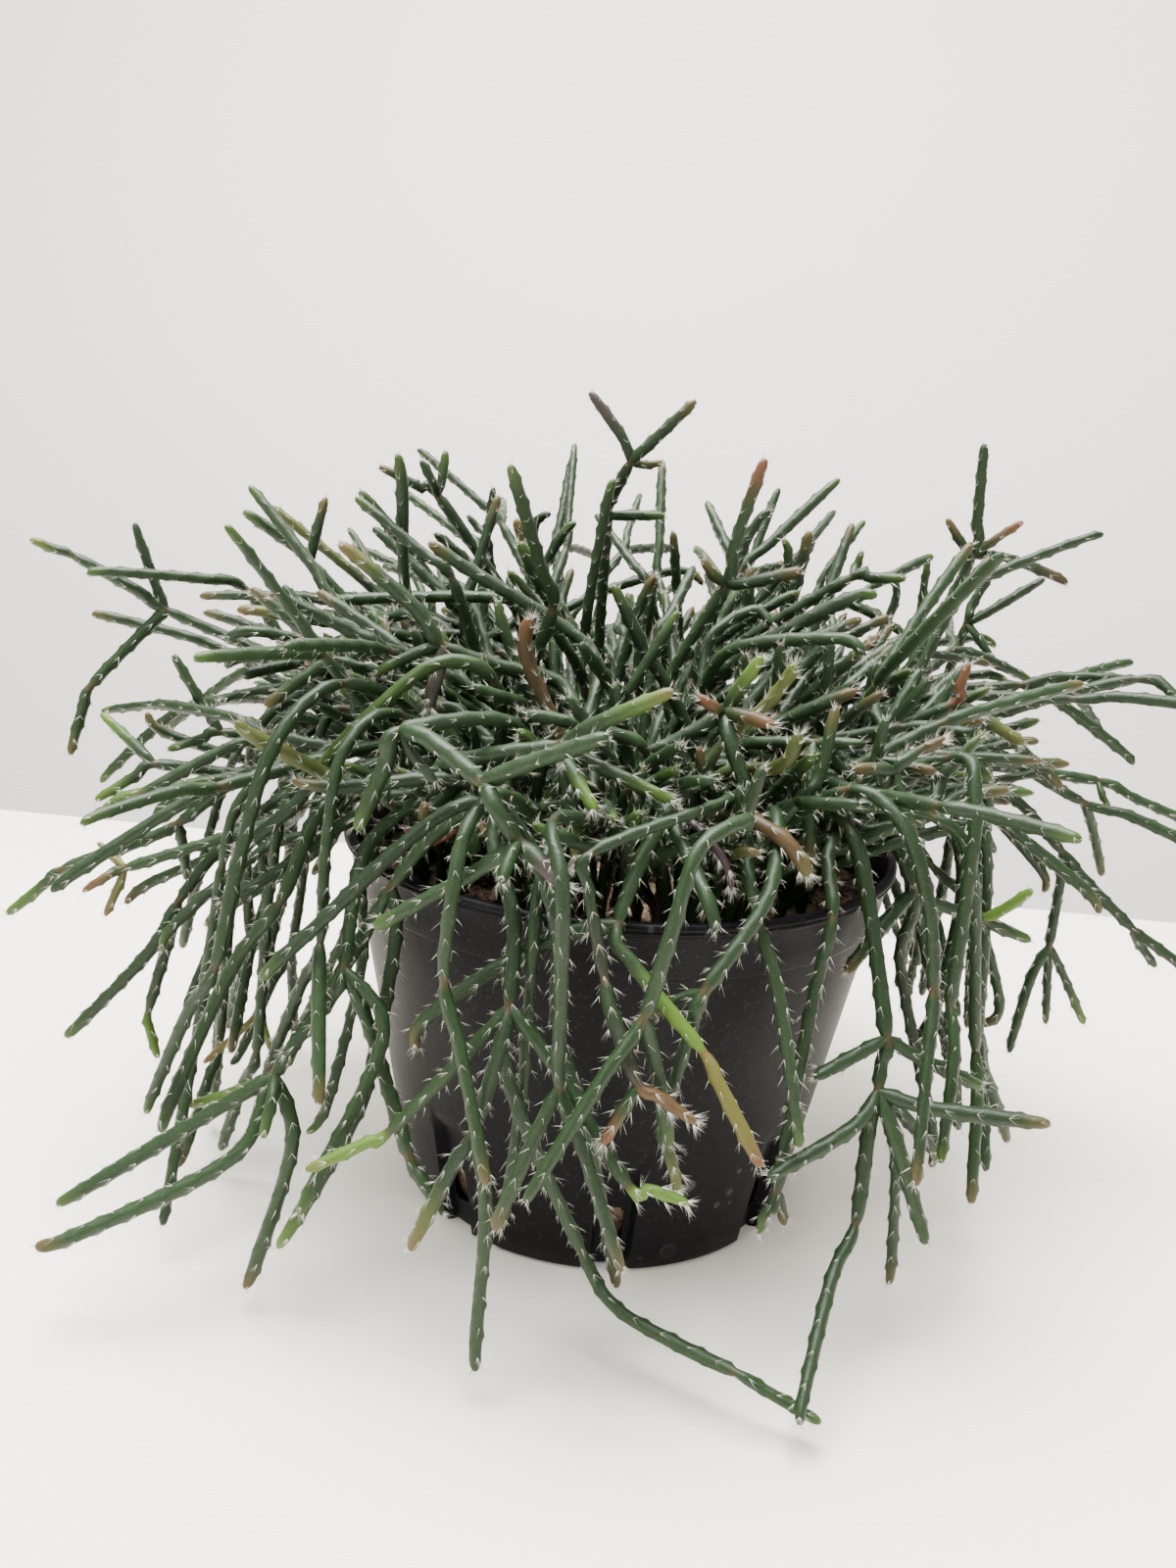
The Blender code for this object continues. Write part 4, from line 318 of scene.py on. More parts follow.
    ("pendant", "", -28, -30, 0.9, (900, 965), (938, 1080), (941, 1201)),
)


class Tone(Enum):
    """The colours that a stretch of stem can turn to."""

    FRESH = (1.0, 0.0, 0.0)
    RUSTY = (0.0, 1.0, 0.0)
    PURPLE = (0.0, 0.0, 1.0)
    BRONZE = (0.7, 0.55, 0.0)
    DRY = (0.35, 1.0, 0.25)


# Shoots that stand out by their colour: the tone, where it starts along the shoot, its strength,
# and how much more bristly the shoot is than the usual one.
TONES = {
    "fork_b": (Tone.FRESH, 0.3, 0.75, 0.5), "fork_b1": (Tone.BRONZE, 0.0, 1.0, 0.5),
    "crossbar_a": (Tone.FRESH, 0.4, 0.4, 0.8), "bow_a3": (Tone.PURPLE, 0.2, 0.9, 2.6),
    "arch_b": (Tone.PURPLE, 0.2, 0.4, 1.6), "arch_b1": (Tone.RUSTY, 0.3, 0.5, 1.6),
    "arch_b2": (Tone.RUSTY, 0.0, 0.6, 2.2), "arch_a": (Tone.PURPLE, 0.3, 0.3, 1.6),
    "dead_one": (Tone.DRY, 0.0, 1.0, 0.3), "grey_one": (Tone.PURPLE, 0.0, 1.0, 2.6),
    "fall_a1": (Tone.FRESH, 0.0, 0.5, 1.0), "veil_c1": (Tone.FRESH, 0.0, 0.7, 1.0),
    "veil_a1": (Tone.BRONZE, 0.4, 0.5, 1.3), "yoke_b2": (Tone.FRESH, 0.0, 0.7, 1.0),
    "left_pair_a": (Tone.FRESH, 0.3, 0.4, 1.0), "left_pair_b": (Tone.FRESH, 0.3, 0.5, 1.0),
    "left_low_1": (Tone.FRESH, 0.5, 0.4, 1.0), "left_long_b": (Tone.FRESH, 0.2, 0.35, 1.0),
    "left_droop_a": (Tone.BRONZE, 0.0, 0.9, 0.8), "left_droop_b": (Tone.DRY, 0.1, 0.8, 0.8),
    "left_droop_c": (Tone.BRONZE, 0.0, 0.6, 0.8), "spill_8a": (Tone.BRONZE, 0.0, 0.9, 0.8),
    "spill_8b": (Tone.FRESH, 0.0, 0.6, 0.8), "olive": (Tone.BRONZE, 0.3, 0.45, 1.2),
    "slant": (Tone.FRESH, 0.5, 0.2, 1.0), "mast_a1": (Tone.PURPLE, 0.3, 0.8, 1.0),
    "horn_a": (Tone.RUSTY, 0.6, 0.6, 1.2), "elbow_a3": (Tone.RUSTY, 0.2, 0.4, 1.8),
    "elbow_a1": (Tone.FRESH, 0.2, 0.5, 1.4), "elbow_a2": (Tone.RUSTY, 0.3, 0.5, 1.6),
    "leaner": (Tone.BRONZE, 0.5, 0.4, 2.0), "spike_b": (Tone.RUSTY, 0.5, 0.5, 0.8),
    "spike_c": (Tone.RUSTY, 0.2, 0.6, 1.0), "spike_d": (Tone.RUSTY, 0.6, 0.3, 1.0),
    "vane_a": (Tone.RUSTY, 0.0, 0.7, 1.2), "vane_b": (Tone.BRONZE, 0.4, 0.6, 1.2),
    "hang_2": (Tone.RUSTY, 0.5, 0.45, 2.4), "ramp_a": (Tone.BRONZE, 0.6, 0.5, 1.4),
    "ramp_b": (Tone.PURPLE, 0.0, 0.5, 3.0), "bristle_post": (Tone.RUSTY, 0.4, 0.45, 3.0),
    "fan_2": (Tone.BRONZE, 0.6, 0.5, 1.0), "kite_a1": (Tone.BRONZE, 0.3, 0.5, 1.0),
    "plumb_f": (Tone.FRESH, 0.2, 0.5, 1.0), "plumb_c": (Tone.FRESH, 0.8, 0.4, 1.0),
    "crest_2": (Tone.BRONZE, 0.7, 0.5, 1.0), "shelf_4": (Tone.BRONZE, 0.7, 0.5, 1.0),
    "crossbar_c": (Tone.FRESH, 0.5, 0.3, 2.0), "crossbar_d": (Tone.FRESH, 0.4, 0.4, 2.2),
    "crossbar_b": (Tone.FRESH, 0.6, 0.35, 2.0), "club": (Tone.BRONZE, 0.5, 0.3, 2.2),
    "ribbon_a1": (Tone.BRONZE, 0.2, 0.5, 3.0), "veil_b1": (Tone.FRESH, 0.0, 0.7, 2.4),
    "tuft_c": (Tone.RUSTY, 0.4, 0.4, 2.0), "arc_b3": (Tone.FRESH, 0.5, 0.3, 1.0),
}


@dataclass(frozen=True)
class PhoneView:
    """The phone camera that the front shoots were read through, in its 1200 by 1600 frame."""

    distance: float = 0.309
    height: float = 0.187
    pitch: float = math.radians(14.45)
    roll: float = math.radians(3.99)
    yaw: float = math.radians(-1.71)
    focal: float = 1250.0
    middle: tuple[float, float] = (600.0, 800.0)
    sensor: float = 36.0

    def place(self) -> Vector:
        """Where the camera stands."""
        return Vector((0.0, -self.distance, self.height))

    def axes(self) -> tuple[Vector, Vector, Vector]:
        """The camera's forward, right and up axes."""
        flat = math.cos(self.pitch)
        ahead = Vector((math.sin(self.yaw) * flat, math.cos(self.yaw) * flat,
                        -math.sin(self.pitch)))
        level = ahead.cross(Vector((0.0, 0.0, 1.0))).normalized()
        upright = level.cross(ahead)
        right = math.cos(self.roll) * level + math.sin(self.roll) * upright
        up = -math.sin(self.roll) * level + math.cos(self.roll) * upright
        return ahead, right, up

    def ray(self, column: float, row: float) -> Vector:
        """The direction in which the camera sees a point of its picture."""
        ahead, right, up = self.axes()
        across = (column - self.middle[0]) / self.focal
        down = (row - self.middle[1]) / self.focal
        return ahead + across * right - down * up

    def at_depth(self, column: float, row: float, depth: float) -> Vector:
        """The place in the plane Y = depth that the picture shows at a column and row."""
        ray = self.ray(column, row)
        return self.place() + (depth + self.distance) / ray.y * ray

    def on_floor(self, column: float, row: float) -> Vector:
        """The place on the floor that the picture shows at a column and row."""
        ray = self.ray(column, row)
        return self.place() - self.height / ray.z * ray

    def make_camera(self) -> None:
        """Add the scene's camera."""
        data = bpy.data.cameras.new("phone_view")
        data.sensor_width = self.sensor
        data.lens = self.focal / 1600.0 * self.sensor
        data.clip_start = 0.01
        camera = bpy.data.objects.new("phone_view", data)
        bpy.context.scene.collection.objects.link(camera)
        ahead, right, up = self.axes()
        turn = camera.matrix_world.to_3x3()
        for k, axis in enumerate((right, up, -ahead)):
            turn.col[k] = axis
        camera.matrix_world = turn.to_4x4()
        camera.location = self.place()
        bpy.context.scene.camera = camera


def level_way(turn: float) -> Vector:
    """The level direction at an angle about the upright."""
    return Vector((math.cos(turn), math.sin(turn), 0.0))


@dataclass(frozen=True)
class PotSizes:
    """The moulded pot's driving sizes, in metres."""

    rim_radius: float = 0.0700
    base_radius: float = 0.0520
    height: float = 0.0965
    wall: float = 0.0011
    floor: float = 0.0014
    lip_drop: float = 0.0032
    lip_out: float = 0.0012
    band_drop: float = 0.0140
    band_step: float = 0.0007
    flutes: int = 8
    flute_turn: float = math.radians(6.0)
    flute_half: float = math.radians(4.4)
    flute_edge: float = math.radians(0.9)
    flute_top: float = 0.0330
    flute_depth: float = 0.0026
    slot_width: float = 0.0050
    slot_low: float = 0.0080
    slot_high: float = 0.0180
    drains: int = 6
    drain_radius: float = 0.0040
    drain_ring: float = 0.0310
    gap: float = 0.0003

    @property
    def slope(self) -> float:
        """How far the wall leans out for each unit of height."""
        return (self.rim_radius - self.base_radius) / self.height

    def radius_at(self, height: float) -> float:
        """The wall's outer radius at a height."""
        return self.base_radius + self.slope * height

    def flute_angle(self, k: int) -> float:
        """The direction of the k-th flute."""
        return -math.pi / 2 + self.flute_turn + k * math.tau / self.flutes


@dataclass(frozen=True)
class SoilSizes:
    """The potting mix and the root crowns in it, in metres."""

    top: float = 0.0860
    bump: float = 0.0012
    fall: float = 0.0020
    crown_radius: float = 0.0088
    crown_depth: float = 0.0130
    crown_rings: tuple = ((4, 0.0190, 45.0), (8, 0.0455, 22.5))
    crown_places: int = 10
    place_ring: float = 0.0066

    def crowns(self) -> Points:
        """The middle of each root crown, on rings round the pot's axis."""
        centres = []
        for count, ring, first in self.crown_rings:
            for k in range(count):
                turn = math.radians(first) + k * math.tau / count
                centres.append(Vector((ring * math.cos(turn), ring * math.sin(turn), 0.0)))
        return centres

    def place(self, centre: Vector, k: int) -> Vector:
        """Where the k-th stem of a crown leaves it: the middle first, then round a ring."""
        if k == 0:
            return centre.copy()
        turn = k * math.tau / (self.crown_places - 1) + centre.x * 40.0
        ring = self.place_ring
        return centre + Vector((ring * math.cos(turn), ring * math.sin(turn), 0.0))


@dataclass(frozen=True)
class StemSizes:
    """How the jointed stems are built and kept apart, in metres."""

    radius: float = 0.00185
    segment: float = 0.056
    shoulder: float = 0.30
    tip_shoulder: float = 0.14
    bent: float = math.radians(20.0)
    joint_gain: float = 0.72
    joint_kids: int = 3
    joint_near: float = 0.010
    joint_turn: float = math.radians(62.0)
    clearance: float = 0.0009
    wall_clearance: float = 0.0021
    relax_steps: int = 340
    shallow: float = 0.93
    back_primaries: int = 26
    back_levels: int = 2
    back_spread: float = math.radians(38.0)
    back_droop: float = 0.30
    back_first: float = math.radians(90.0)
    back_arc: float = math.radians(250.0)
    back_shift: float = math.radians(125.0)
    back_swing: float = 0.1
    back_tilt: tuple = (28.0, 50.0)
    back_root: tuple = (0.02, 0.07)
    rim_reach: float = 0.150
    top_reach: float = 0.168
    thicket: int = 96
    curtains: tuple = (
        (140.0, 222.0, 14, 0.030, 0.085, 0.120),
        (-50.0, 30.0, 8, 0.050, 0.090, 0.110),
        (-125.0, -60.0, 3, 0.062, 0.088, 0.092),
        (30.0, 140.0, 14, 0.040, 0.085, 0.115),
    )
    heart_middle: tuple = (0.003, 0.020, 0.088)
    heart: tuple = (0.120, 0.098, 0.074)
    thicket_ring: float = 0.050
    thicket_lean: float = 0.9
    thicket_front: float = -0.35
    front_tilt: tuple = (44.0, 80.0)
    other_tilt: tuple = (30.0, 78.0)
    curtain_root: tuple = (0.030, 0.048)
    curtain_swing: float = 0.022
    curtain_reach: float = 0.088
    curtain_crest: float = 0.066
    curtain_height: tuple = (0.114, 0.130)
    curtain_bend: tuple = (0.45, 0.045, 0.004)
    curtain_thick: tuple = (0.78, 0.98)
    curtain_outward: float = 0.15
    curtain_fork: float = 0.5
    stray: float = 0.011
    golden: float = 2.39996
    slight: float = 0.85
    slight_sunk: float = 0.003
    sunk: float = 0.0036
    crown_pull: float = 0.046
    floor_lift: float = 0.0002
    feed_steps: int = 15
    feed_lift: float = 0.45
    feed_fall: float = 0.25
    feed_lead: float = 0.33
    feed_over: float = 0.008
    feed_spare: float = 0.010
    feed_near: float = 0.012
    grow_steps: int = 8
    grow_length: tuple = (0.036, 0.058)
    grow_shorter: float = 0.86
    grow_thick: tuple = (0.88, 1.1)
    grow_thinner: float = 0.96
    grow_fall: tuple = (0.5, 1.4)
    fall_in: float = 0.2
    fall_out: float = 1.6
    fall_from: float = 0.05
    fall_over: float = 0.08
    low: float = 0.004
    far: float = 0.235
    level: float = 0.02
    least_curve: int = 5
    forks: tuple = (3, 2)
    fewer_forks: tuple = (2, 1)
    fork_share: float = 0.55
    fork_bend: tuple = (0.55, 1.15)
    outward: float = 0.22


TIP_STAIN = 0.007          # how far a tip's tint reaches down its stem
JOINT_STAIN = 0.0009       # how far a joint's tint reaches
SLIGHT_BRISTLES = 0.6      # how bristly the hidden stems are beside the usual one
THICKET = 100              # the number of the first clump that has no solid
THICKETS = 6
ROOT_BARE = 0.012          # the stretch of a rooted stem that has no bristles
FORK_BARE = 0.002          # the same for a stem that forks from another
VIEW = PhoneView()
POT = PotSizes()
SOIL = SoilSizes()
STEM = StemSizes()


class Curve:
    """Helpers for centre lines, which are lists of points."""

    @staticmethod
    def spline(points: Points, steps: int = 14) -> Points:
        """Points along a smooth curve through the given ones."""
        out = []
        last = len(points) - 1
        for k in range(last):
            a = points[max(k - 1, 0)]
            b, c = points[k], points[k + 1]
            d = points[min(k + 2, last)]
            for j in range(steps):
                t = j / steps
                out.append(0.5 * (
                    2.0 * b + (c - a) * t + (2.0 * a - 5.0 * b + 4.0 * c - d) * t * t
                    + (3.0 * b - a - 3.0 * c + d) * t * t * t
                ))
        out.append(points[-1])
        return out

    @staticmethod
    def along(curve: Points, share: float) -> Vector:
        """The point at a share of a polyline's length."""
        lengths = [0.0]
        for a, b in zip(curve, curve[1:]):
            lengths.append(lengths[-1] + (b - a).length)
        want = share * lengths[-1]
        for k in range(1, len(curve)):
            if lengths[k] >= want:
                span = max(lengths[k] - lengths[k - 1], 1e-9)
                return curve[k - 1].lerp(curve[k], (want - lengths[k - 1]) / span)
        return curve[-1].copy()

    @staticmethod
    def length(curve: Points) -> float:
        """A polyline's length."""
        return sum((b - a).length for a, b in zip(curve, curve[1:]))

    @staticmethod
    def feeder(start: Vector, goal: Vector, heading: Vector) -> Points:
        """A curve from a crown up and over to where a shoot comes into view."""
        reach = (goal - start).length
        lift = Vector((0.0, 0.0, STEM.feed_lift * reach
                       + STEM.feed_fall * max(start.z - goal.z, 0.0)))
        a, b = start + lift, goal - heading * STEM.feed_lead * reach
        flat = math.hypot(b.x, b.y)
        over = POT.height + STEM.feed_over
        if b.z < over and flat < POT.rim_radius + STEM.feed_near:
            b.z = over + STEM.feed_spare
        out = []
        for k in range(STEM.feed_steps):
            t = k / STEM.feed_steps
            out.append(start * (1 - t) ** 3 + a * 3 * t * (1 - t) ** 2
                       + b * 3 * t * t * (1 - t) + goal * t ** 3)
        return out


@dataclass
class Plant:
    """The stems as one forest of points. A point knows its parent, thickness and clump."""

    pos: list = field(default_factory=list)
    parent: list = field(default_factory=list)
    stem: list = field(default_factory=list)
    clump: list = field(default_factory=list)
    held: list = field(default_factory=list)
    label: list = field(default_factory=list)
    forks: dict = field(default_factory=dict)
    used: list = field(default_factory=list)
    crowns: list = field(default_factory=SOIL.crowns)

    def add(self, pos: Vector, parent: int, stem: float, clump: int, held: float,
            label: str) -> int:
        """Add one point and return its index. held is 1 for a rooted point, 0.5 for a read one."""
        self.pos.append(tuple(pos))
        self.parent.append(parent)
        self.stem.append(stem)
        self.clump.append(clump)
        self.held.append(held)
        self.label.append(label)
        if parent in self.forks:
            self.forks[parent] += 1
        return len(self.pos) - 1

    def lay_shoot(self, curve: Points, start: int, thick: float, clump: int, held: float,
                  tip: bool, label: str) -> int:
        """Lay a shoot along a curve as jointed segments and return its last point's index."""
        length = Curve.length(curve)
        count = max(1, round(length / STEM.segment))
        radius = STEM.radius * thick
        at = start
        for k in range(count):
            first = Curve.along(curve, k / count)
            middle = Curve.along(curve, (k + 0.5) / count)
            final = Curve.along(curve, (k + 1) / count)
            bent = (middle - first).angle(final - middle, 0.0) > STEM.bent
            ends = tip and k == count - 1
            inner = (STEM.shoulder, 0.65) if bent else (STEM.shoulder,)
            if ends:
                inner = (STEM.shoulder, 1.0 - STEM.tip_shoulder)
            for share in inner:
                pos = Curve.along(curve, (k + share) / count)
                at = self.add(pos, at, radius, clump, held, label)
            pos = Curve.along(curve, (k + 1) / count)
            at = self.add(pos, at, radius, clump, held, label)
            if not ends:
                self.forks[at] = 0
        return at

    def root_stem(self, clump: int, thick: float) -> int:
        """Start a stem in a crown with a point sunk in it."""
        k = self.used[clump]
        self.used[clump] += 1
        place = SOIL.place(self.crowns[clump], k)
        sunk = place + Vector((0.0, 0.0, SOIL.top - STEM.sunk))
        return self.add(sunk, -1, STEM.radius * thick, clump, 1.0, "root")

    def nearby_joint(self, goal: Vector, reach: float) -> int | None:
        """The joint that a shoot to the goal could fork from, if any."""
        best, least = None, reach * STEM.joint_gain
        for k, kids in self.forks.items():
            if kids >= STEM.joint_kids or self.held[k] != 0.5:
                continue
            here = Vector(self.pos[k])
            way = here - Vector(self.pos[self.parent[k]])
            span = goal - here
            if span.length < STEM.joint_near or way.angle(span, 0.0) > STEM.joint_turn:
                continue
            if span.length < least:
                best, least = k, span.length
        return best

    def nearest_crown(self, target: Vector) -> int:
        """The crown with room that is nearest to where a shoot starts."""
        flat = Vector((target.x, target.y, 0.0))
        flat = flat * min(1.0, STEM.crown_pull / max(flat.length, 1e-6))
        order = sorted(range(len(self.crowns)), key=lambda k: (self.crowns[k] - flat).length)
        for k in order:
            if self.used[k] < SOIL.crown_places:
                return k
        return order[0]

    def lay_read_shoots(self) -> None:
        """Lay the shoots read from the front, each from its crown or its parent's end."""
        ends = {}
        parents = {row[1] for row in SHOOTS}
        for name, parent, near, far, thick, *picture in SHOOTS:
            skipped = 1 if parent else 0
            last = len(picture) - 1 + skipped
            route = []
            for k, (column, row) in enumerate(picture, skipped):
                depth = (near + (far - near) * k / last) * MM
                place = VIEW.at_depth(column, row, depth)
                place.z = max(place.z, STEM.radius * thick + STEM.floor_lift)
                route.append(place)
            if parent:
                start = ends[parent]
                clump = self.clump[start]
                curve = Curve.spline([Vector(self.pos[start])] + route)
            else:
                clump = self.nearest_crown(route[0])
                top = self.crowns[clump] + Vector((0.0, 0.0, SOIL.top))
                start = self.nearby_joint(route[0], (route[0] - top).length)
                if start is None:
                    start = self.root_stem(clump, thick)
                    heading = (route[1] - route[0]).normalized()
                    lead = Curve.feeder(Vector(self.pos[start]), route[0], heading)
                    curve = lead + Curve.spline(route)
                else:
                    clump = self.clump[start]
                    curve = Curve.spline([Vector(self.pos[start])] + route)
            tip = name not in parents
            ends[name] = self.lay_shoot(curve, start, thick, clump, 0.5, tip, name)

    def grow(self, start: int, heading: Vector, level: int, clump: int,
             rng: random.Random, label: str = "back") -> None:
        """Grow a segment and, at its end, the segments that fork from it."""
        origin = Vector(self.pos[start])
        length = rng.uniform(*STEM.grow_length) * (STEM.grow_shorter ** level)
        thick = rng.uniform(*STEM.grow_thick) * (STEM.grow_thinner ** level)
        fall = STEM.back_droop * rng.uniform(*STEM.grow_fall)
        curve = [origin]
        steer = heading.normalized()
        for _ in range(STEM.grow_steps):
            out = math.hypot(curve[-1].x, curve[-1].y)
            beyond = max(0.0, out - STEM.fall_from)
            pull = fall * (STEM.fall_in + STEM.fall_out * beyond / STEM.fall_over)
            steer = (steer + Vector((0.0, 0.0, -pull / STEM.grow_steps))).normalized()
            step = curve[-1] + steer * (length / STEM.grow_steps)
            if step.z < STEM.low or step.length > STEM.far:
                steer.z = max(steer.z, STEM.level)
                step = curve[-1] + steer * (length / STEM.grow_steps)
            curve.append(step)
        if label == "thicket":
            curve = [point for k, point in enumerate(curve) if k == 0 or self.in_heart(point)]
            if len(curve) < STEM.least_curve:
                return
        forks = 0
        if level < STEM.back_levels:
            full = rng.random() < STEM.fork_share
            forks = STEM.forks[level] if full else STEM.fewer_forks[level]
        out = math.hypot(curve[-1].x, curve[-1].y)
        if out > STEM.rim_reach or curve[-1].z > STEM.top_reach:
            forks = 0
        end = self.lay_shoot(curve, start, thick, clump, 0.0, forks == 0, label)
        turn = rng.uniform(0.0, math.tau)
        for k in range(forks):
            side = steer.orthogonal().normalized()
            other = steer.cross(side)
            angle = turn + k * math.tau / forks
            bend = STEM.back_spread * rng.uniform(*STEM.fork_bend)
            aim = steer * math.cos(bend)
            aim += (side * math.cos(angle) + other * math.sin(angle)) * math.sin(bend)
            outward = Vector((curve[-1].x, curve[-1].y, 0.0)).normalized()
            self.grow(end, aim + outward * STEM.outward, level + 1, clump, rng, label)

    def lay_back_shoots(self) -> None:
        """Grow the stems that the front view hides, mostly over the back and the sides."""
        rng = random.Random(SEED)
        for k in range(STEM.back_primaries):
            turn = STEM.back_first + STEM.back_arc * (k + 0.5) / STEM.back_primaries
            turn -= STEM.back_shift
            turn += rng.uniform(-STEM.back_swing, STEM.back_swing)
            tilt = math.radians(STEM.back_tilt[0] + STEM.back_tilt[1] * rng.random())
            target = level_way(turn) * rng.uniform(*STEM.back_root)
            clump = self.nearest_crown(target)
            start = self.root_stem(clump, 1.0)
            flat = level_way(turn)
            aim = flat * math.cos(tilt) + Vector((0.0, 0.0, math.sin(tilt)))
            self.grow(start, aim, 0, clump, rng)

    @staticmethod
    def in_heart(point: Vector) -> bool:
        """Whether a point lies in the rounded heart of the mop."""
        reach = [(point[k] - STEM.heart_middle[k]) / STEM.heart[k] for k in range(3)]
        return sum(r * r for r in reach) < 1.0

    def root_slight(self, root: Vector, turn: float) -> tuple[int, int]:
        """Root a slight stem in the soil.

        Args:
            root: where it stands, which is lowered into the soil.
            turn: its direction from the pot's axis, which picks its clump.

        Returns:
            The clump's number and the index of the stem's first point.
        """
        root.z = SOIL.top - STEM.slight_sunk
        clump = THICKET + int(turn % math.tau / math.tau * THICKETS)
        return clump, self.add(root, -1, STEM.radius * STEM.slight, clump, 1.0, "root")

    def lay_thicket(self) -> None:
        """Grow the many slighter stems that fill the heart of the mop."""
        rng = random.Random(SEED + 5)
        for k in range(STEM.thicket):
            turn = k * STEM.golden
            flat = level_way(turn)
            root = flat * STEM.thicket_ring * math.sqrt((k + 0.5) / STEM.thicket)
            clump, start = self.root_slight(root, turn)
            lean = turn + rng.uniform(-STEM.thicket_lean, STEM.thicket_lean)
            front = math.sin(lean) < STEM.thicket_front
            tilt = math.radians(rng.uniform(*(STEM.front_tilt if front else STEM.other_tilt)))
            aim = Vector((math.cos(lean), math.sin(lean), 0.0)) * math.cos(tilt)
            aim.z = math.sin(tilt)
            self.grow(start, aim, 1 if front else 0, clump, rng, "thicket")

    def lay_curtain(self) -> None:
        """Hang more slight stems over the rim, most of them at the sides."""
        rng = random.Random(SEED + 9)
        for first, last, count, low, high, out in STEM.curtains:
            for k in range(count):
                turn = math.radians(first + (last - first) * (k + rng.random()) / count)
                flat = level_way(turn)
                root = flat * rng.uniform(*STEM.curtain_root)
                clump, start = self.root_slight(root, turn)
                across = Vector((-flat.y, flat.x, 0.0))
                swing = across * rng.uniform(-STEM.curtain_swing, STEM.curtain_swing)
                reach = rng.uniform(STEM.curtain_reach, out)
                upward = Vector((0.0, 0.0, rng.uniform(*STEM.curtain_height)))
                crest = flat * STEM.curtain_crest + upward
                share, start_out, drop = STEM.curtain_bend
                bend = flat * (share * reach + start_out) + swing * 0.5
                bend.z = crest.z - drop
                end = flat * reach + swing + Vector((0.0, 0.0, rng.uniform(low, high)))
                curve = Curve.spline([root, crest, bend, end])
                thick = rng.uniform(*STEM.curtain_thick)
                at = self.lay_shoot(curve, start, thick, clump, 0.0, False, "thicket")
                aim = (curve[-1] - curve[-3]).normalized() + flat * STEM.curtain_outward
                for side in (-STEM.curtain_fork, STEM.curtain_fork)[:rng.randrange(1, 3)]:
                    way = aim + swing.normalized() * side
                    self.grow(at, way, STEM.back_levels, clump, rng, "curtain")

    def split_paths(self) -> list[tuple[bool, list[int]]]:
        """Split the forest into unbranched paths. A fork's straightest child carries on."""
        pos = [Vector(p) for p in self.pos]
        children = [[] for _ in pos]
        roots = []
        for k, up in enumerate(self.parent):
            if up < 0:
                roots.append(k)
            else:
                children[up].append(k)
        paths = []
        todo = [(-1, k) for k in roots]
        while todo:
            before, k = todo.pop()
            path = [k] if before < 0 else [before, k]
            while children[path[-1]]:
                here = path[-1]
                way = Vector((0.0, 0.0, 1.0))
                if len(path) > 1:
                    way = pos[here] - pos[path[-2]]
                kids = sorted(children[here], key=lambda c: -way.normalized().dot(
                    (pos[c] - pos[here]).normalized()))
                todo.extend((here, c) for c in kids[1:])
                path.append(kids[0])
            paths.append((before >= 0, path))
        return paths


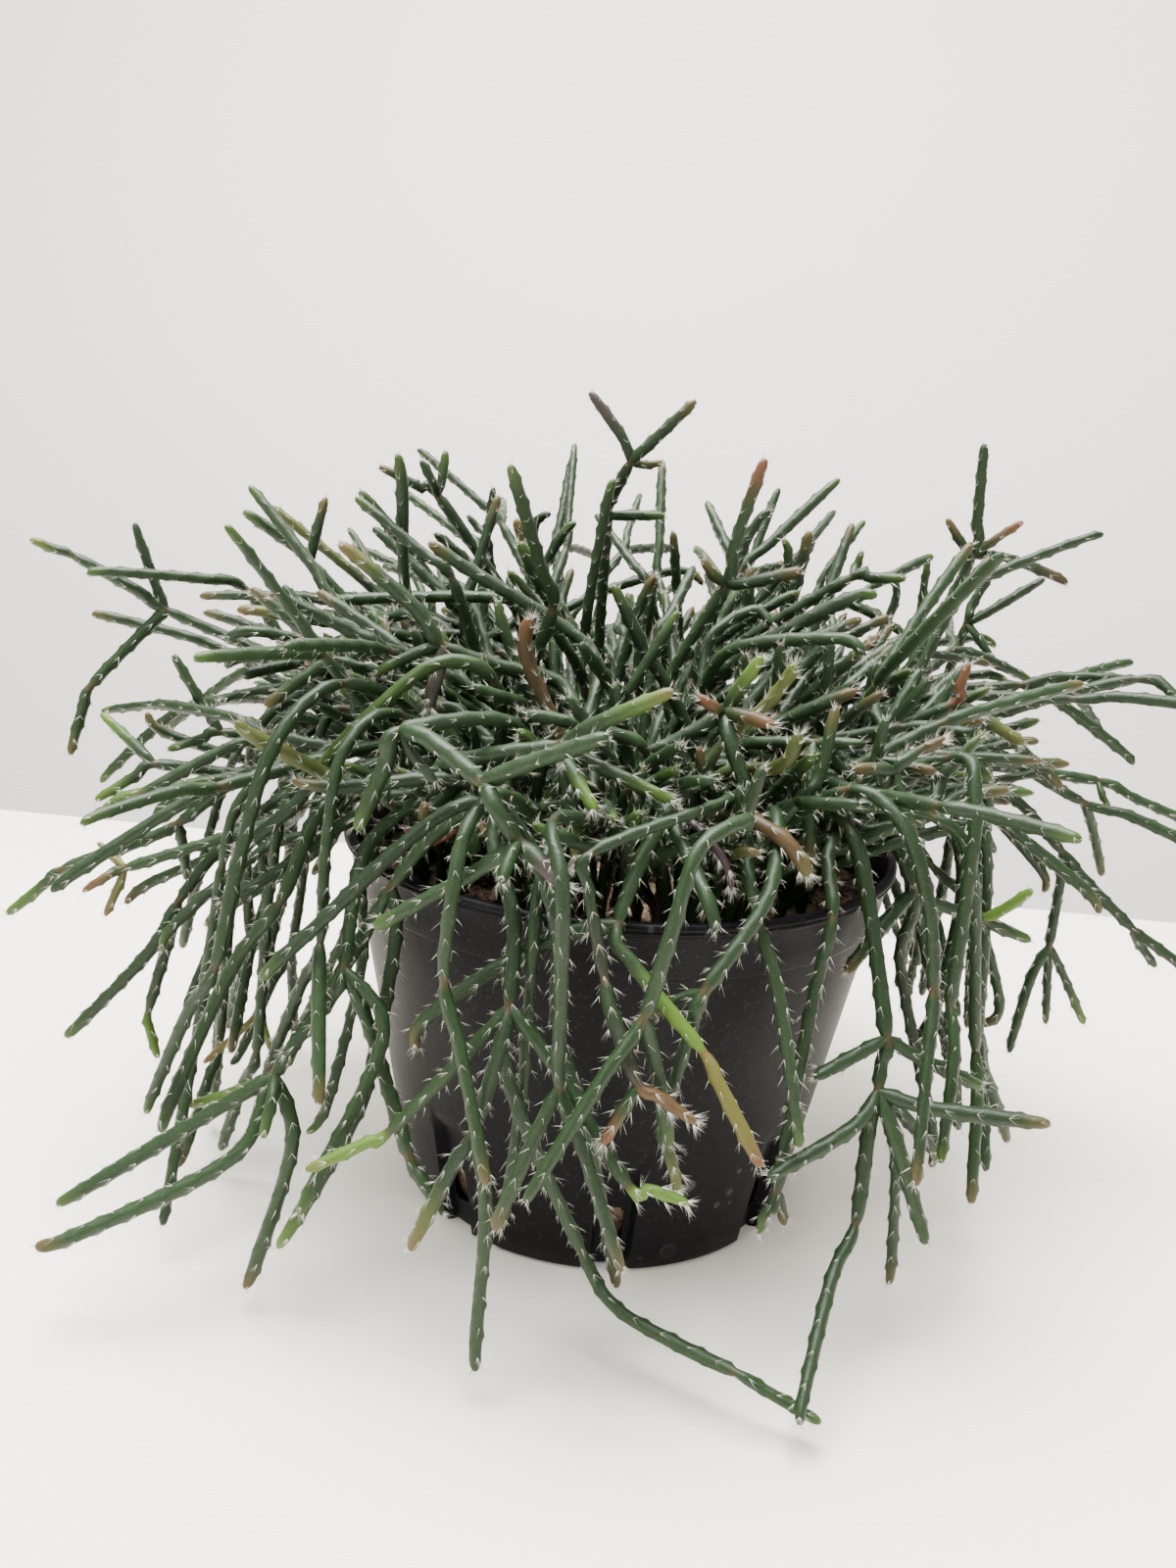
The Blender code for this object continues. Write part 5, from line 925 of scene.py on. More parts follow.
class Settler:
    """Bends the stems clear of each other, the pot, the soil and the floor."""

    final_share: float = 0.75
    pair_steps: int = 8
    pair_slack: float = 0.009
    sideways: float = 0.45
    blend: float = 0.22
    rim_low: float = 0.001
    rim_soft: float = 0.2
    rim_lift: float = 0.8
    rim_shove: float = 0.5
    between: tuple = (0.25, 0.5, 0.75)
    between_push: float = 0.7

    def __init__(self, plant: Plant, locked: int, steps: int) -> None:
        """Take the plant, how many of its first points stay put, and the number of steps."""
        self.plant = plant
        self.locked = locked
        self.steps = steps

    @staticmethod
    def wall_push(pos: np.ndarray, rad: np.ndarray) -> np.ndarray:
        """How far points must move to stay off the floor, the pot's wall and rim, and the soil."""
        out = np.zeros_like(pos)
        flat = np.sqrt(pos[:, 0] ** 2 + pos[:, 1] ** 2)
        safe = np.maximum(flat, 1e-6)
        unit = np.stack([pos[:, 0] / safe, pos[:, 1] / safe], axis=1)
        run = POT.rim_radius - POT.base_radius
        slope = run / POT.height
        size = math.hypot(slope, 1.0)
        share = np.clip(((flat - POT.base_radius) * run + pos[:, 2] * POT.height)
                        / (run ** 2 + POT.height ** 2), 0.0, 1.0)
        near_r = POT.base_radius + run * share
        near_z = POT.height * share
        dr, dz = flat - near_r, pos[:, 2] - near_z
        dist = np.sqrt(dr ** 2 + dz ** 2)
        outside = (dr - slope * dz) / size >= 0.0
        above = (share >= 1.0)
        need = rad + STEM.wall_clearance + POT.lip_out
        inside = (~outside) & (~above)
        deep = inside & (pos[:, 2] < SOIL.top)
        lift = np.where(outside | above, np.maximum(need - dist, 0.0), 0.0)
        safe_d = np.maximum(dist, 1e-6)
        out[:, 0] += lift * dr / safe_d * unit[:, 0]
        out[:, 1] += lift * dr / safe_d * unit[:, 1]
        out[:, 2] += lift * dz / safe_d
        inward = inside & (~deep)
        back = np.where(inward, np.maximum(need + POT.wall - dist, 0.0), 0.0)
        out[:, 0] -= back * unit[:, 0]
        out[:, 1] -= back * unit[:, 1]
        bed = SOIL.top + SOIL.bump + STEM.wall_clearance + rad
        low = inside & (pos[:, 2] < bed)
        out[:, 2] += np.where(low, bed - pos[:, 2], 0.0)
        out[:, 2] += np.maximum(rad + STEM.floor_lift - pos[:, 2], 0.0)
        return out

    @staticmethod
    def wall_side(pos: np.ndarray) -> np.ndarray:
        """How far points lie outside the pot's wall, as if it went on up."""
        slope = (POT.rim_radius - POT.base_radius) / POT.height
        flat = np.sqrt(pos[:, 0] ** 2 + pos[:, 1] ** 2)
        return flat - (POT.base_radius + slope * np.minimum(pos[:, 2], POT.height))

    @staticmethod
    def closest_shares(p: np.ndarray, u: np.ndarray, q: np.ndarray,
                       v: np.ndarray) -> tuple[np.ndarray, np.ndarray]:
        """For edges p + s u and q + t v, the shares s and t of their closest points."""
        w = p - q
        a = (u * u).sum(1)
        b = (u * v).sum(1)
        c = (v * v).sum(1)
        d = (u * w).sum(1)
        e = (v * w).sum(1)
        den = np.maximum(a * c - b * b, 1e-14)
        s = np.clip((b * e - c * d) / den, 0.0, 1.0)
        t = np.clip((b * s + e) / np.maximum(c, 1e-12), 0.0, 1.0)
        s = np.clip((b * t - d) / np.maximum(a, 1e-12), 0.0, 1.0)
        return s, t

    @staticmethod
    def edge_pairs(mid: np.ndarray, half: np.ndarray, parent: np.ndarray, child: np.ndarray,
                   fixed: np.ndarray, slack: float) -> tuple[np.ndarray, np.ndarray]:
        """Index pairs of edges that may touch: near, sharing no point, not both rooted."""
        count = len(mid)
        firsts, seconds = [], []
        for i in range(count - 1):
            gap = mid[i + 1:] - mid[i]
            near = (gap * gap).sum(1) < (half[i + 1:] + half[i] + slack) ** 2
            j = np.nonzero(near)[0] + i + 1
            share = ((parent[j] == parent[i]) | (parent[j] == child[i])
                     | (child[j] == parent[i]) | (fixed[j] & fixed[i]))
            j = j[~share]
            firsts.append(np.full(len(j), i))
            seconds.append(j)
        return np.concatenate(firsts), np.concatenate(seconds)

    def settle(self) -> None:
        """Relax the plant's points in place."""
        plant = self.plant
        pos = np.array(plant.pos)
        home = pos.copy()
        parent = np.array(plant.parent)
        rad = np.array(plant.stem)
        held = np.array(plant.held)
        held[:self.locked] = 1.0
        child = np.nonzero(parent >= 0)[0]
        up = parent[child]
        edge_rad = rad[child]
        rooted = held[child] >= 1.0
        free = np.where(held >= 1.0, 0.0, 1.0)[:, None]
        count = np.zeros(len(pos))
        np.add.at(count, child, 1.0)
        np.add.at(count, up, 1.0)
        camera = np.array(VIEW.place())
        for step in range(self.steps):
            final = step > self.steps * self.final_share
            if step % self.pair_steps == 0:
                mid = 0.5 * (pos[child] + pos[up])
                half = 0.5 * np.sqrt(((pos[child] - pos[up]) ** 2).sum(1))
                one, two = self.edge_pairs(mid, half, up, child, rooted, self.pair_slack)
            p, q = pos[up[one]], pos[up[two]]
            u, v = pos[child[one]] - p, pos[child[two]] - q
            s, t = self.closest_shares(p, u, q, v)
            gap = (p + s[:, None] * u) - (q + t[:, None] * v)
            dist = np.sqrt((gap * gap).sum(1))
            need = edge_rad[one] + edge_rad[two] + STEM.clearance
            short = np.maximum(need - dist, 0.0) * 0.5
            away = gap / np.maximum(dist, 1e-6)[:, None] * short[:, None]
            move = np.zeros_like(pos)
            np.add.at(move, up[one], away * (1 - s)[:, None])
            np.add.at(move, child[one], away * s[:, None])
            np.add.at(move, up[two], -away * (1 - t)[:, None])
            np.add.at(move, child[two], -away * t[:, None])
            shift = pos - home
            if not final:
                ray = pos - camera
                ray /= np.sqrt((ray * ray).sum(1))[:, None]
                deep = (move * ray).sum(1)[:, None] * ray
                sides = np.where(held[:, None] == 0.5, self.sideways, 1.0)
                move = deep + (move - deep) * sides
                total = np.zeros_like(pos)
                np.add.at(total, child, shift[up])
                np.add.at(total, up, shift[child])
                mean = total / np.maximum(count, 1.0)[:, None]
                shift = shift + self.blend * (mean - shift)
            pos = home + shift + move
            pos = pos + self.wall_lift(pos, rad, up, child, edge_rad)
            if self.locked:
                shift = pos - home
                far = np.sqrt((shift * shift).sum(1))[:, None]
                pos = home + shift * np.minimum(1.0, STEM.stray / np.maximum(far, 1e-9))
            pos = np.round(np.where(free > 0, pos, home), 7)
        plant.pos = [tuple(row) for row in pos]

    def wall_lift(self, pos: np.ndarray, rad: np.ndarray, up: np.ndarray, child: np.ndarray,
                  edge_rad: np.ndarray) -> np.ndarray:
        """The moves that keep points and edges off the pot, the soil and the floor."""
        lift = self.wall_push(pos, rad)
        side_a, side_b = self.wall_side(pos[up]), self.wall_side(pos[child])
        over = side_a * side_b < 0.0
        part = np.where(over, side_a / np.where(over, side_a - side_b, 1.0), 0.0)
        height = pos[up, 2] * (1 - part) + pos[child, 2] * part
        rise = POT.height + 1.5 * edge_rad + 2.0 * STEM.wall_clearance + POT.lip_out - height
        rise = np.where(over, np.maximum(rise, 0.0), 0.0)
        low = rise > self.rim_low
        mask = np.zeros(len(pos), dtype=bool)
        mask[up[low]] = True
        mask[child[low]] = True
        lift[mask] *= self.rim_soft
        np.add.at(lift[:, 2], up, rise * self.rim_lift)
        np.add.at(lift[:, 2], child, rise * self.rim_lift)
        for end, side in ((up, side_a), (child, side_b)):
            flat = np.maximum(np.sqrt(pos[end, 0] ** 2 + pos[end, 1] ** 2), 1e-6)
            shove = np.where(side > 0.0, rise, 0.0) * self.rim_shove / flat
            np.add.at(lift[:, 0], end, shove * pos[end, 0])
            np.add.at(lift[:, 1], end, shove * pos[end, 1])
        for share in self.between:
            spot = pos[up] * (1 - share) + pos[child] * share
            push = np.where(over[:, None], 0.0, self.wall_push(spot, edge_rad))
            np.add.at(lift, up, push * (1 - share) * self.between_push)
            np.add.at(lift, child, push * share * self.between_push)
        return lift


class Sock:
    """A socket of a material in the making, with arithmetic on its values."""

    def __init__(self, recipe: "Recipe", socket: Any) -> None:
        """Wrap a socket of a recipe."""
        self.recipe = recipe
        self.socket = socket

    def _math(self, operation: str, *values: Any) -> "Sock":
        """Add one Math node."""
        slots = dict(enumerate(values))
        return self.recipe.node("ShaderNodeMath", {"operation": operation}, slots)

    def __add__(self, other: Any) -> "Sock":
        """Sum."""
        return self._math("ADD", self, other)

    __radd__ = __add__

    def __sub__(self, other: Any) -> "Sock":
        """Difference."""
        return self._math("SUBTRACT", self, other)

    def __rsub__(self, other: Any) -> "Sock":
        """Difference, reflected."""
        return self._math("SUBTRACT", other, self)

    def __mul__(self, other: Any) -> "Sock":
        """Product."""
        return self._math("MULTIPLY", self, other)

    __rmul__ = __mul__

    def above(self, edge: float, width: float) -> "Sock":
        """Rises from 0 to 1 as the value goes from edge to edge + width."""
        values = {0: self, 1: edge, 2: edge + width}
        settings = {"interpolation_type": "SMOOTHSTEP"}
        return self.recipe.node("ShaderNodeMapRange", settings, values)


class Recipe:
    """The nodes of one procedural material."""

    def __init__(self, name: str) -> None:
        """Start a material with a Principled shader."""
        self.material = bpy.data.materials.new(name)
        self.material.use_nodes = True
        self.tree = self.material.node_tree
        self.shader = self.tree.nodes["Principled BSDF"]

    def node(self, kind: str, settings: dict[str, Any], values: dict[Any, Any],
             output: Any = 0) -> Sock:
        """Add any node.

        Args:
            kind: the node's type.
            settings: its own settings. A ramp takes "stops", pairs of place and colour.
            values: numbers, colours or sockets for its inputs, by name or index.
            output: the output that is returned, by name or index.

        Returns:
            The wrapped output.
        """
        node = self.tree.nodes.new(kind)
        for key, value in settings.items():
            if key == "stops":
                self._stops(node.color_ramp, value)
            else:
                setattr(node, key, value)
        for key, value in values.items():
            self.feed(node.inputs[key], value)
        return Sock(self, node.outputs[output])

    @staticmethod
    def _stops(ramp: Any, stops: Sequence[tuple[float, Colour]]) -> None:
        """Set a ramp's stops."""
        while len(ramp.elements) < len(stops):
            ramp.elements.new(1.0)
        for element, (place, colour) in zip(ramp.elements, stops):
            element.position = place
            element.color = (*colour, 1.0)

    def feed(self, target: Any, value: Any) -> None:
        """Link a socket to an input, or set the input's constant."""
        if isinstance(value, Sock):
            self.tree.links.new(value.socket, target)
        elif isinstance(value, tuple) and len(value) == 3 and target.type == "RGBA":
            target.default_value = (*value, 1.0)
        else:
            target.default_value = value

    def set(self, name: str, value: Any) -> None:
        """Feed one of the Principled shader's inputs."""
        self.feed(self.shader.inputs[name], value)

    def place(self) -> Sock:
        """The point on the piece, in metres."""
        return self.node("ShaderNodeTexCoord", {}, {}, "Object")

    def noise(self, scale: float, detail: float = 2.0, rough: float = 0.5) -> Sock:
        """Cloudy noise of about 0 to 1 with scale cells a metre."""
        values = {"Vector": self.place(), "Scale": scale, "Detail": detail, "Roughness": rough}
        return self.node("ShaderNodeTexNoise", {}, values, "Fac")

    def cells(self, scale: float, output: str) -> Sock:
        """A cell pattern of scale cells a metre: its Distance or its Color."""
        values = {"Vector": self.place(), "Scale": scale}
        return self.node("ShaderNodeTexVoronoi", {"feature": "F1"}, values, output)

    def channel(self, colour: Sock, name: str) -> Sock:
        """One channel of a colour."""
        return self.node("ShaderNodeSeparateColor", {}, {0: colour}, name)

    def ramp(self, value: Sock, stops: Sequence[tuple[float, Colour]]) -> Sock:
        """A colour by a value."""
        return self.node("ShaderNodeValToRGB", {"stops": stops}, {0: value}, "Color")

    def mix(self, share: Any, first: Any, second: Any) -> Sock:
        """A blend of two colours."""
        settings = {"data_type": "RGBA"}
        return self.node("ShaderNodeMix", settings, {0: share, 6: first, 7: second}, 2)

    def bump(self, height: Sock, strength: float, distance: float) -> None:
        """Feed the shader's normal with a relief."""
        values = {"Strength": strength, "Distance": distance, "Height": height}
        self.set("Normal", self.node("ShaderNodeBump", {}, values))


@dataclass(frozen=True)
class SkinFinish:
    """The waxy green skin of the stems, tinted by the tones stored on the mesh."""

    deep: Colour = (0.0015, 0.0066, 0.0040)
    leaf: Colour = (0.0108, 0.0290, 0.0098)
    fresh: Colour = (0.085, 0.165, 0.018)
    rusty: Colour = (0.105, 0.043, 0.020)
    purple: Colour = (0.050, 0.032, 0.036)
    frost: Colour = (0.130, 0.175, 0.120)
    roughness: float = 0.46
    gloss: float = 0.26

    def make(self) -> bpy.types.Material:
        """Build the material."""
        r = Recipe("stem_skin")
        tones = {"attribute_type": "GEOMETRY", "attribute_name": "tone"}
        colour = r.node("ShaderNodeAttribute", tones, {}, "Color")
        lightness = r.node("ShaderNodeAttribute", tones, {}, "Alpha")
        cloud = r.noise(160.0, 3.0, 0.6)
        green = r.mix(lightness * 0.75 + cloud * 0.55 - 0.15, self.deep, self.leaf)
        green = r.mix(r.channel(colour, "Red"), green, self.fresh)
        green = r.mix(r.channel(colour, "Green"), green, self.rusty)
        green = r.mix(r.channel(colour, "Blue"), green, self.purple)
        grain = r.noise(2600.0, 2.0, 0.7)
        speck = grain.above(0.60, 0.10) * 0.22
        r.set("Base Color", r.mix(speck, green, self.frost))
        r.set("Roughness", self.roughness + (r.noise(700.0) - 0.5) * 0.25)
        r.set("Specular IOR Level", self.gloss)
        r.bump(grain * 0.35 + r.noise(900.0, 2.0) * 0.65, 0.35, 0.00035)
        return r.material


@dataclass(frozen=True)
class BristleFinish:
    """Fine whitish bristles with a straw cast towards some of them."""

    white: Colour = (0.62, 0.62, 0.55)
    straw: Colour = (0.34, 0.31, 0.22)

    def make(self) -> bpy.types.Material:
        """Build the material."""
        r = Recipe("bristle")
        r.set("Base Color", r.mix(r.noise(420.0).above(0.45, 0.3), self.white, self.straw))
        r.set("Roughness", 0.45 + r.noise(900.0) * 0.2)
        return r.material


@dataclass(frozen=True)
class PlasticFinish:
    """Thin black moulded plastic, dusty, with dried water spots."""

    black: Colour = (0.0016, 0.0016, 0.0024)
    worn: Colour = (0.0042, 0.0042, 0.0058)
    dust: Colour = (0.120, 0.115, 0.130)
    roughness: float = 0.44
    gloss: float = 0.10

    def make(self) -> bpy.types.Material:
        """Build the material."""
        r = Recipe("pot_plastic")
        film = r.noise(38.0, 4.0, 0.6)
        base = r.mix(film, self.black, self.worn)
        spots = self._spots(r, 85.0, 0.18, 0.62)
        drops = self._spots(r, 230.0, 0.16, 0.70)
        patch = r.noise(16.0).above(0.52, 0.14)
        veil = r.noise(900.0, 3.0, 0.7).above(0.56, 0.2) * 0.16
        marks = (spots * 0.55 + drops * 0.45) * patch + veil
        r.set("Base Color", r.mix(marks, base, self.dust))
        r.set("Roughness", self.roughness + marks * 0.35 + (r.noise(60.0) - 0.5) * 0.12)
        r.set("Specular IOR Level", self.gloss)
        r.bump(r.noise(600.0, 3.0) + film * 2.0, 0.10, 0.0004)
        return r.material

    @staticmethod
    def _spots(r: Recipe, scale: float, size: float, rare: float) -> Sock:
        """Round marks with a denser edge, in some of the cells of a pattern."""
        reach = r.cells(scale, "Distance")
        chance = r.channel(r.cells(scale, "Color"), "Red").above(rare, 0.02)
        disc = 1.0 - reach.above(size, 0.06)
        rim = reach.above(size - 0.08, 0.06) * 0.6 + 0.4
        return disc * rim * chance


@dataclass(frozen=True)
class EarthFinish:
    """Damp peat and bark crumbs."""

    name: str = "potting_mix"
    dark: Colour = (0.012, 0.008, 0.006)
    brown: Colour = (0.075, 0.042, 0.026)
    pale: Colour = (0.190, 0.125, 0.080)
    scale: float = 480.0

    def make(self) -> bpy.types.Material:
        """Build the material."""
        r = Recipe(self.name)
        crumbs = r.cells(self.scale, "Distance")
        shade = r.noise(self.scale * 0.3, 4.0, 0.65)
        stops = ((0.30, self.dark), (0.55, self.brown), (0.78, self.pale))
        r.set("Base Color", r.ramp(shade * 0.7 + crumbs * 0.5, stops))
        r.set("Roughness", 0.86 + (r.noise(300.0) - 0.5) * 0.2)
        r.bump(crumbs + shade * 1.5, 0.8, 0.0012)
        return r.material


@dataclass(frozen=True)
class PerliteFinish:
    """Crumbly white grains."""

    white: Colour = (0.74, 0.72, 0.68)
    stained: Colour = (0.42, 0.36, 0.28)

    def make(self) -> bpy.types.Material:
        """Build the material."""
        r = Recipe("perlite")
        r.set("Base Color", r.mix(r.noise(500.0, 3.0).above(0.5, 0.2), self.white, self.stained))
        r.set("Roughness", 0.9 - r.noise(800.0) * 0.1)
        r.bump(r.cells(1500.0, "Distance"), 0.6, 0.0004)
        return r.material


@dataclass(frozen=True)
class RoomFinish:
    """Matt paper or paint of the studio, which also glows with painted light: an emission that
    brightens it though it is no lamp.
    """

    name: str
    colour: Colour
    shade: Colour
    # How strongly the sheet glows with painted light.
    painted_glow: float = 0.0
    scale: float = 6.0

    def make(self) -> bpy.types.Material:
        """Build the material."""
        r = Recipe(self.name)
        r.set("Base Color", r.mix(r.noise(self.scale, 2.0) * 0.5, self.colour, self.shade))
        r.set("Roughness", 0.85)
        # Painted light: the sheet glows by its own emission and looks brighter than the lamps alone
        # make it, though it is no lamp.
        r.set("Emission Color", (*self.colour, 1.0))
        r.set("Emission Strength", self.painted_glow)
        r.bump(r.noise(1400.0, 2.0), 0.04, 0.0004)
        return r.material


@dataclass
class MeshParts:
    """Vertices and faces in the making, with a tone for each vertex."""

    verts: list = field(default_factory=list)
    faces: list = field(default_factory=list)
    tones: list = field(default_factory=list)

    def make(self, name: str, material: bpy.types.Material, slot: str,
             nodes: Iterable[str] = (), smooth: bool = True) -> bpy.types.Object:
        """Turn the parts into a piece that rides on the plant.

        Args:
            name: the piece's name.
            material: its finish.
            slot: not used.
            nodes: the solids that it stands for.
            smooth: whether its faces are shaded smooth.

        Returns:
            The new object.
        """
        mesh = bpy.data.meshes.new(name)
        mesh.from_pydata(self.verts, [], self.faces)
        mesh.update()
        if smooth:
            mesh.shade_smooth()
        if self.tones:
            layer = mesh.attributes.new("tone", "FLOAT_COLOR", "POINT")
            layer.data.foreach_set("color", np.array(self.tones, dtype=np.float32).ravel())
        mesh.materials.append(material)
        piece = bpy.data.objects.new(name, mesh)
        bpy.context.scene.collection.objects.link(piece)
        settle_piece(piece, nodes)
        LOG.info("%s: %d faces", name, len(mesh.polygons))
        return piece

    def join_rings(self, first: int, rings: int, sides: int) -> None:
        """Add the faces between rings of points that follow each other."""
        for k in range(rings - 1):
            a = first + k * sides
            b = a + sides
            for j in range(sides):
                i = (j + 1) % sides
                self.faces.append((a + j, a + i, b + i, b + j))

    def cap(self, first: int, count: int, middle: tuple, under: bool = False) -> None:
        """Close a ring of points with a fan about a middle point."""
        hub = len(self.verts)
        self.verts.append(middle)
        for j in range(count):
            a, b = first + j, first + (j + 1) % count
            self.faces.append((b, a, hub) if under else (a, b, hub))


def settle_piece(piece: bpy.types.Object, nodes: Iterable[str] = ()) -> None:
    """Ride a piece on the plant and the solids that it stands for."""
    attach(piece, "root")
    if nodes:
        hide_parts(*nodes)


@dataclass
class StemLine:
    """One unbranched stem, sampled along its centre line, root first."""

    points: Points
    reach: list[float]
    width: list[float]
    labels: list[str]
    joints: list[float]
    sunk: bool

    def length(self) -> float:
        """The stem's length."""
        return self.reach[-1]


@dataclass
class Mop:
    """All the stems of the plant, with their skin and bristles."""

    seed: int = 7
    sides: int = 10
    pitch: float = 0.00130
    pinch: float = 0.34
    pinch_reach: float = 0.0016
    bump: float = 0.00038
    rise: float = 0.00010
    tip_reach: float = 0.0022
    quarter: int = 4
    bristle: float = 0.000042
    slim: float = 0.83
    taper_reach: float = 0.0090
    taper: float = 0.24
    taper_power: float = 1.4
    tip_rings: tuple = (0.62, 0.30, 0.08)
    tip_power: float = 2.2
    tip_least: float = 0.02
    wave: float = 0.05
    wave_rate: float = 190.0
    joint_bare: float = 0.0012
    trace_steps: int = 8
    lead_rise: float = 1.2
    lead_thin: float = 0.99
    felted: float = 0.6
    young_reach: float = 0.010
    tuft_size: tuple = (2.0, 4.2)
    tuft_tilt: tuple = (12.0, 52.0)
    tuft_reach: tuple = (0.0013, 0.0029)
    crest_size: tuple = (4.0, 9.0)
    crest_reach: tuple = (0.0011, 0.0023)
    skin: SkinFinish = field(default_factory=SkinFinish)
    bristles: BristleFinish = field(default_factory=BristleFinish)

    def build(self, plant: Plant) -> None:
        """Make the skin and the bristles of every clump."""
        skin = self.skin.make()
        fluff = self.bristles.make()
        rng = random.Random(self.seed)
        paths = plant.split_paths()
        for clump in sorted(set(plant.clump)):
            body, hair = MeshParts(), MeshParts()
            for sunk, path in paths:
                if plant.clump[path[-1]] == clump:
                    self.dress(body, hair, self.trace(plant, path, sunk), rng)
            if clump < THICKET:
                name, nodes = f"{clump + 1:02d}", (f"stems_{clump + 1:02d}",)
            else:
                name, nodes = f"inner_{clump - THICKET + 1}", ()
            body.make(f"skin_{name}", skin, "stems", nodes)
            hair.make(f"bristles_{name}", fluff, "stems", smooth=False)

    def trace(self, plant: Plant, path: list[int], sunk: bool) -> StemLine:
        """Sample a path of the plant finely."""
        pos = [Vector(plant.pos[k]) for k in path]
        width = [plant.stem[k] for k in path]
        labels = [plant.label[k] for k in path]
        joint = [k in plant.forks for k in path]
        joint[0] = sunk
        if sunk:
            width[0] = width[1]
            labels[0] = labels[1]
        elif (pos[1] - pos[0]).normalized().z < STEM.shallow:
            height = SOIL.top + self.lead_rise * width[0] * self.lead_thin
            pos.insert(1, Vector((pos[0].x, pos[0].y, height)))
            width.insert(1, width[0])
            labels.insert(1, labels[0])
            joint.insert(1, False)
        steps = self.trace_steps
        points = Curve.spline(pos, steps)
        reach = [0.0]
        for a, b in zip(points, points[1:]):
            reach.append(reach[-1] + (b - a).length)
        joints = [reach[k * steps] for k, is_joint in enumerate(joint) if is_joint]
        places = [k * steps for k in range(len(pos))]
        at = [reach[k] for k in places]
        line = StemLine(points, reach, width, labels, joints, sunk)
        line.width = [float(w) for w in np.interp(reach, at, width)]
        line.labels = [labels[min((k + steps - 1) // steps, len(labels) - 1)]
                       for k in range(len(points))]
        return line

    def dress(self, body: MeshParts, hair: MeshParts, line: StemLine,
              rng: random.Random) -> None:
        """Add one stem's skin and bristles."""
        length = line.length()
        count = max(3, round((length - self.tip_reach) / self.pitch))
        straight = length - self.tip_reach
        stations = [straight * k / count for k in range(count + 1)]
        stations += [length - self.tip_reach * s for s in self.tip_rings]
        reach = np.array(line.reach)
        cloud = np.array([tuple(p) for p in line.points])
        centre = np.stack([np.interp(stations, reach, cloud[:, k]) for k in range(3)], axis=1)
        widths = np.interp(stations, reach, line.width)
        marks = np.searchsorted(reach, stations)
        names = [line.labels[min(int(m), len(line.labels) - 1)] for m in marks]
        starts = self.name_spans(names, stations)
        first = len(body.verts)
        side = None
        lift = rng.random() * math.tau
        shade = rng.uniform(0.25, 0.95)
        stain = rng.random()
        slot = rng.randrange(self.sides)
        last = len(stations) - 1
        for k, s in enumerate(stations):
            here = Vector(centre[k])
            ahead = Vector(centre[min(k + 1, last)]) - Vector(centre[max(k - 1, 0)])
            way = ahead.normalized()
            if side is None:
                side = way.orthogonal()
            side = (side - way * side.dot(way)).normalized()
            other = way.cross(side)
            near = min((abs(s - j) for j in line.joints), default=1.0)
            swell = 1.0 - self.pinch * math.exp(-(near / self.pinch_reach) ** 2)
            swell *= 1.0 + self.wave * math.sin(s * self.wave_rate + lift)
            left = length - s
            if left < self.taper_reach:
                swell *= 1.0 - self.taper * (1.0 - left / self.taper_reach) ** self.taper_power
            if left < self.tip_reach:
                round_off = 1.0 - (1.0 - left / self.tip_reach) ** self.tip_power
                swell *= math.sqrt(max(round_off, self.tip_least))
            radius = widths[k] * swell * self.slim
            tone, density = self.tone_at(names[k], s, starts, left, near, shade, stain)
            areole = (slot + self.quarter * k) % self.sides
            after = (slot + self.quarter * (k + 1)) % self.sides
            for j in range(self.sides):
                turn = math.tau * j / self.sides
                normal = side * math.cos(turn) + other * math.sin(turn)
                out = radius
                if left >= self.tip_reach and near > self.joint_bare:
                    out += self.bump if j == areole else self.rise if j == after else 0.0
                spot = here + normal * out
                body.verts.append(tuple(spot))
                body.tones.append(tone)
                if j == areole and self.bears(names[k], s, line):
                    self.tuft(hair, spot, normal, way, left, density, rng)
        self.close(body, first, len(stations), Vector(centre[last]))
        self.crest(hair, Vector(centre[last]), way, side, names[-1], rng)

    def close(self, body: MeshParts, first: int, rings: int, end: Vector) -> None:
        """Add the faces between a stem's rings and over its tip."""
        body.join_rings(first, rings, self.sides)
        body.cap(first + (rings - 1) * self.sides, self.sides, tuple(end))
        body.tones.append(body.tones[-1])

    @staticmethod
    def name_spans(names: list[str], stations: Sequence[float]) -> dict:
        """Where each shoot starts and ends along a stem."""
        spans = {}
        for name, s in zip(names, stations):
            low, _ = spans.get(name, (s, s))
            spans[name] = (low, s)
        return spans

    @staticmethod
    def bears(name: str, s: float, line: StemLine) -> bool:
        """Whether an areole at this place carries bristles."""
        return name != "root" and s >= (FORK_BARE if line.sunk else ROOT_BARE)

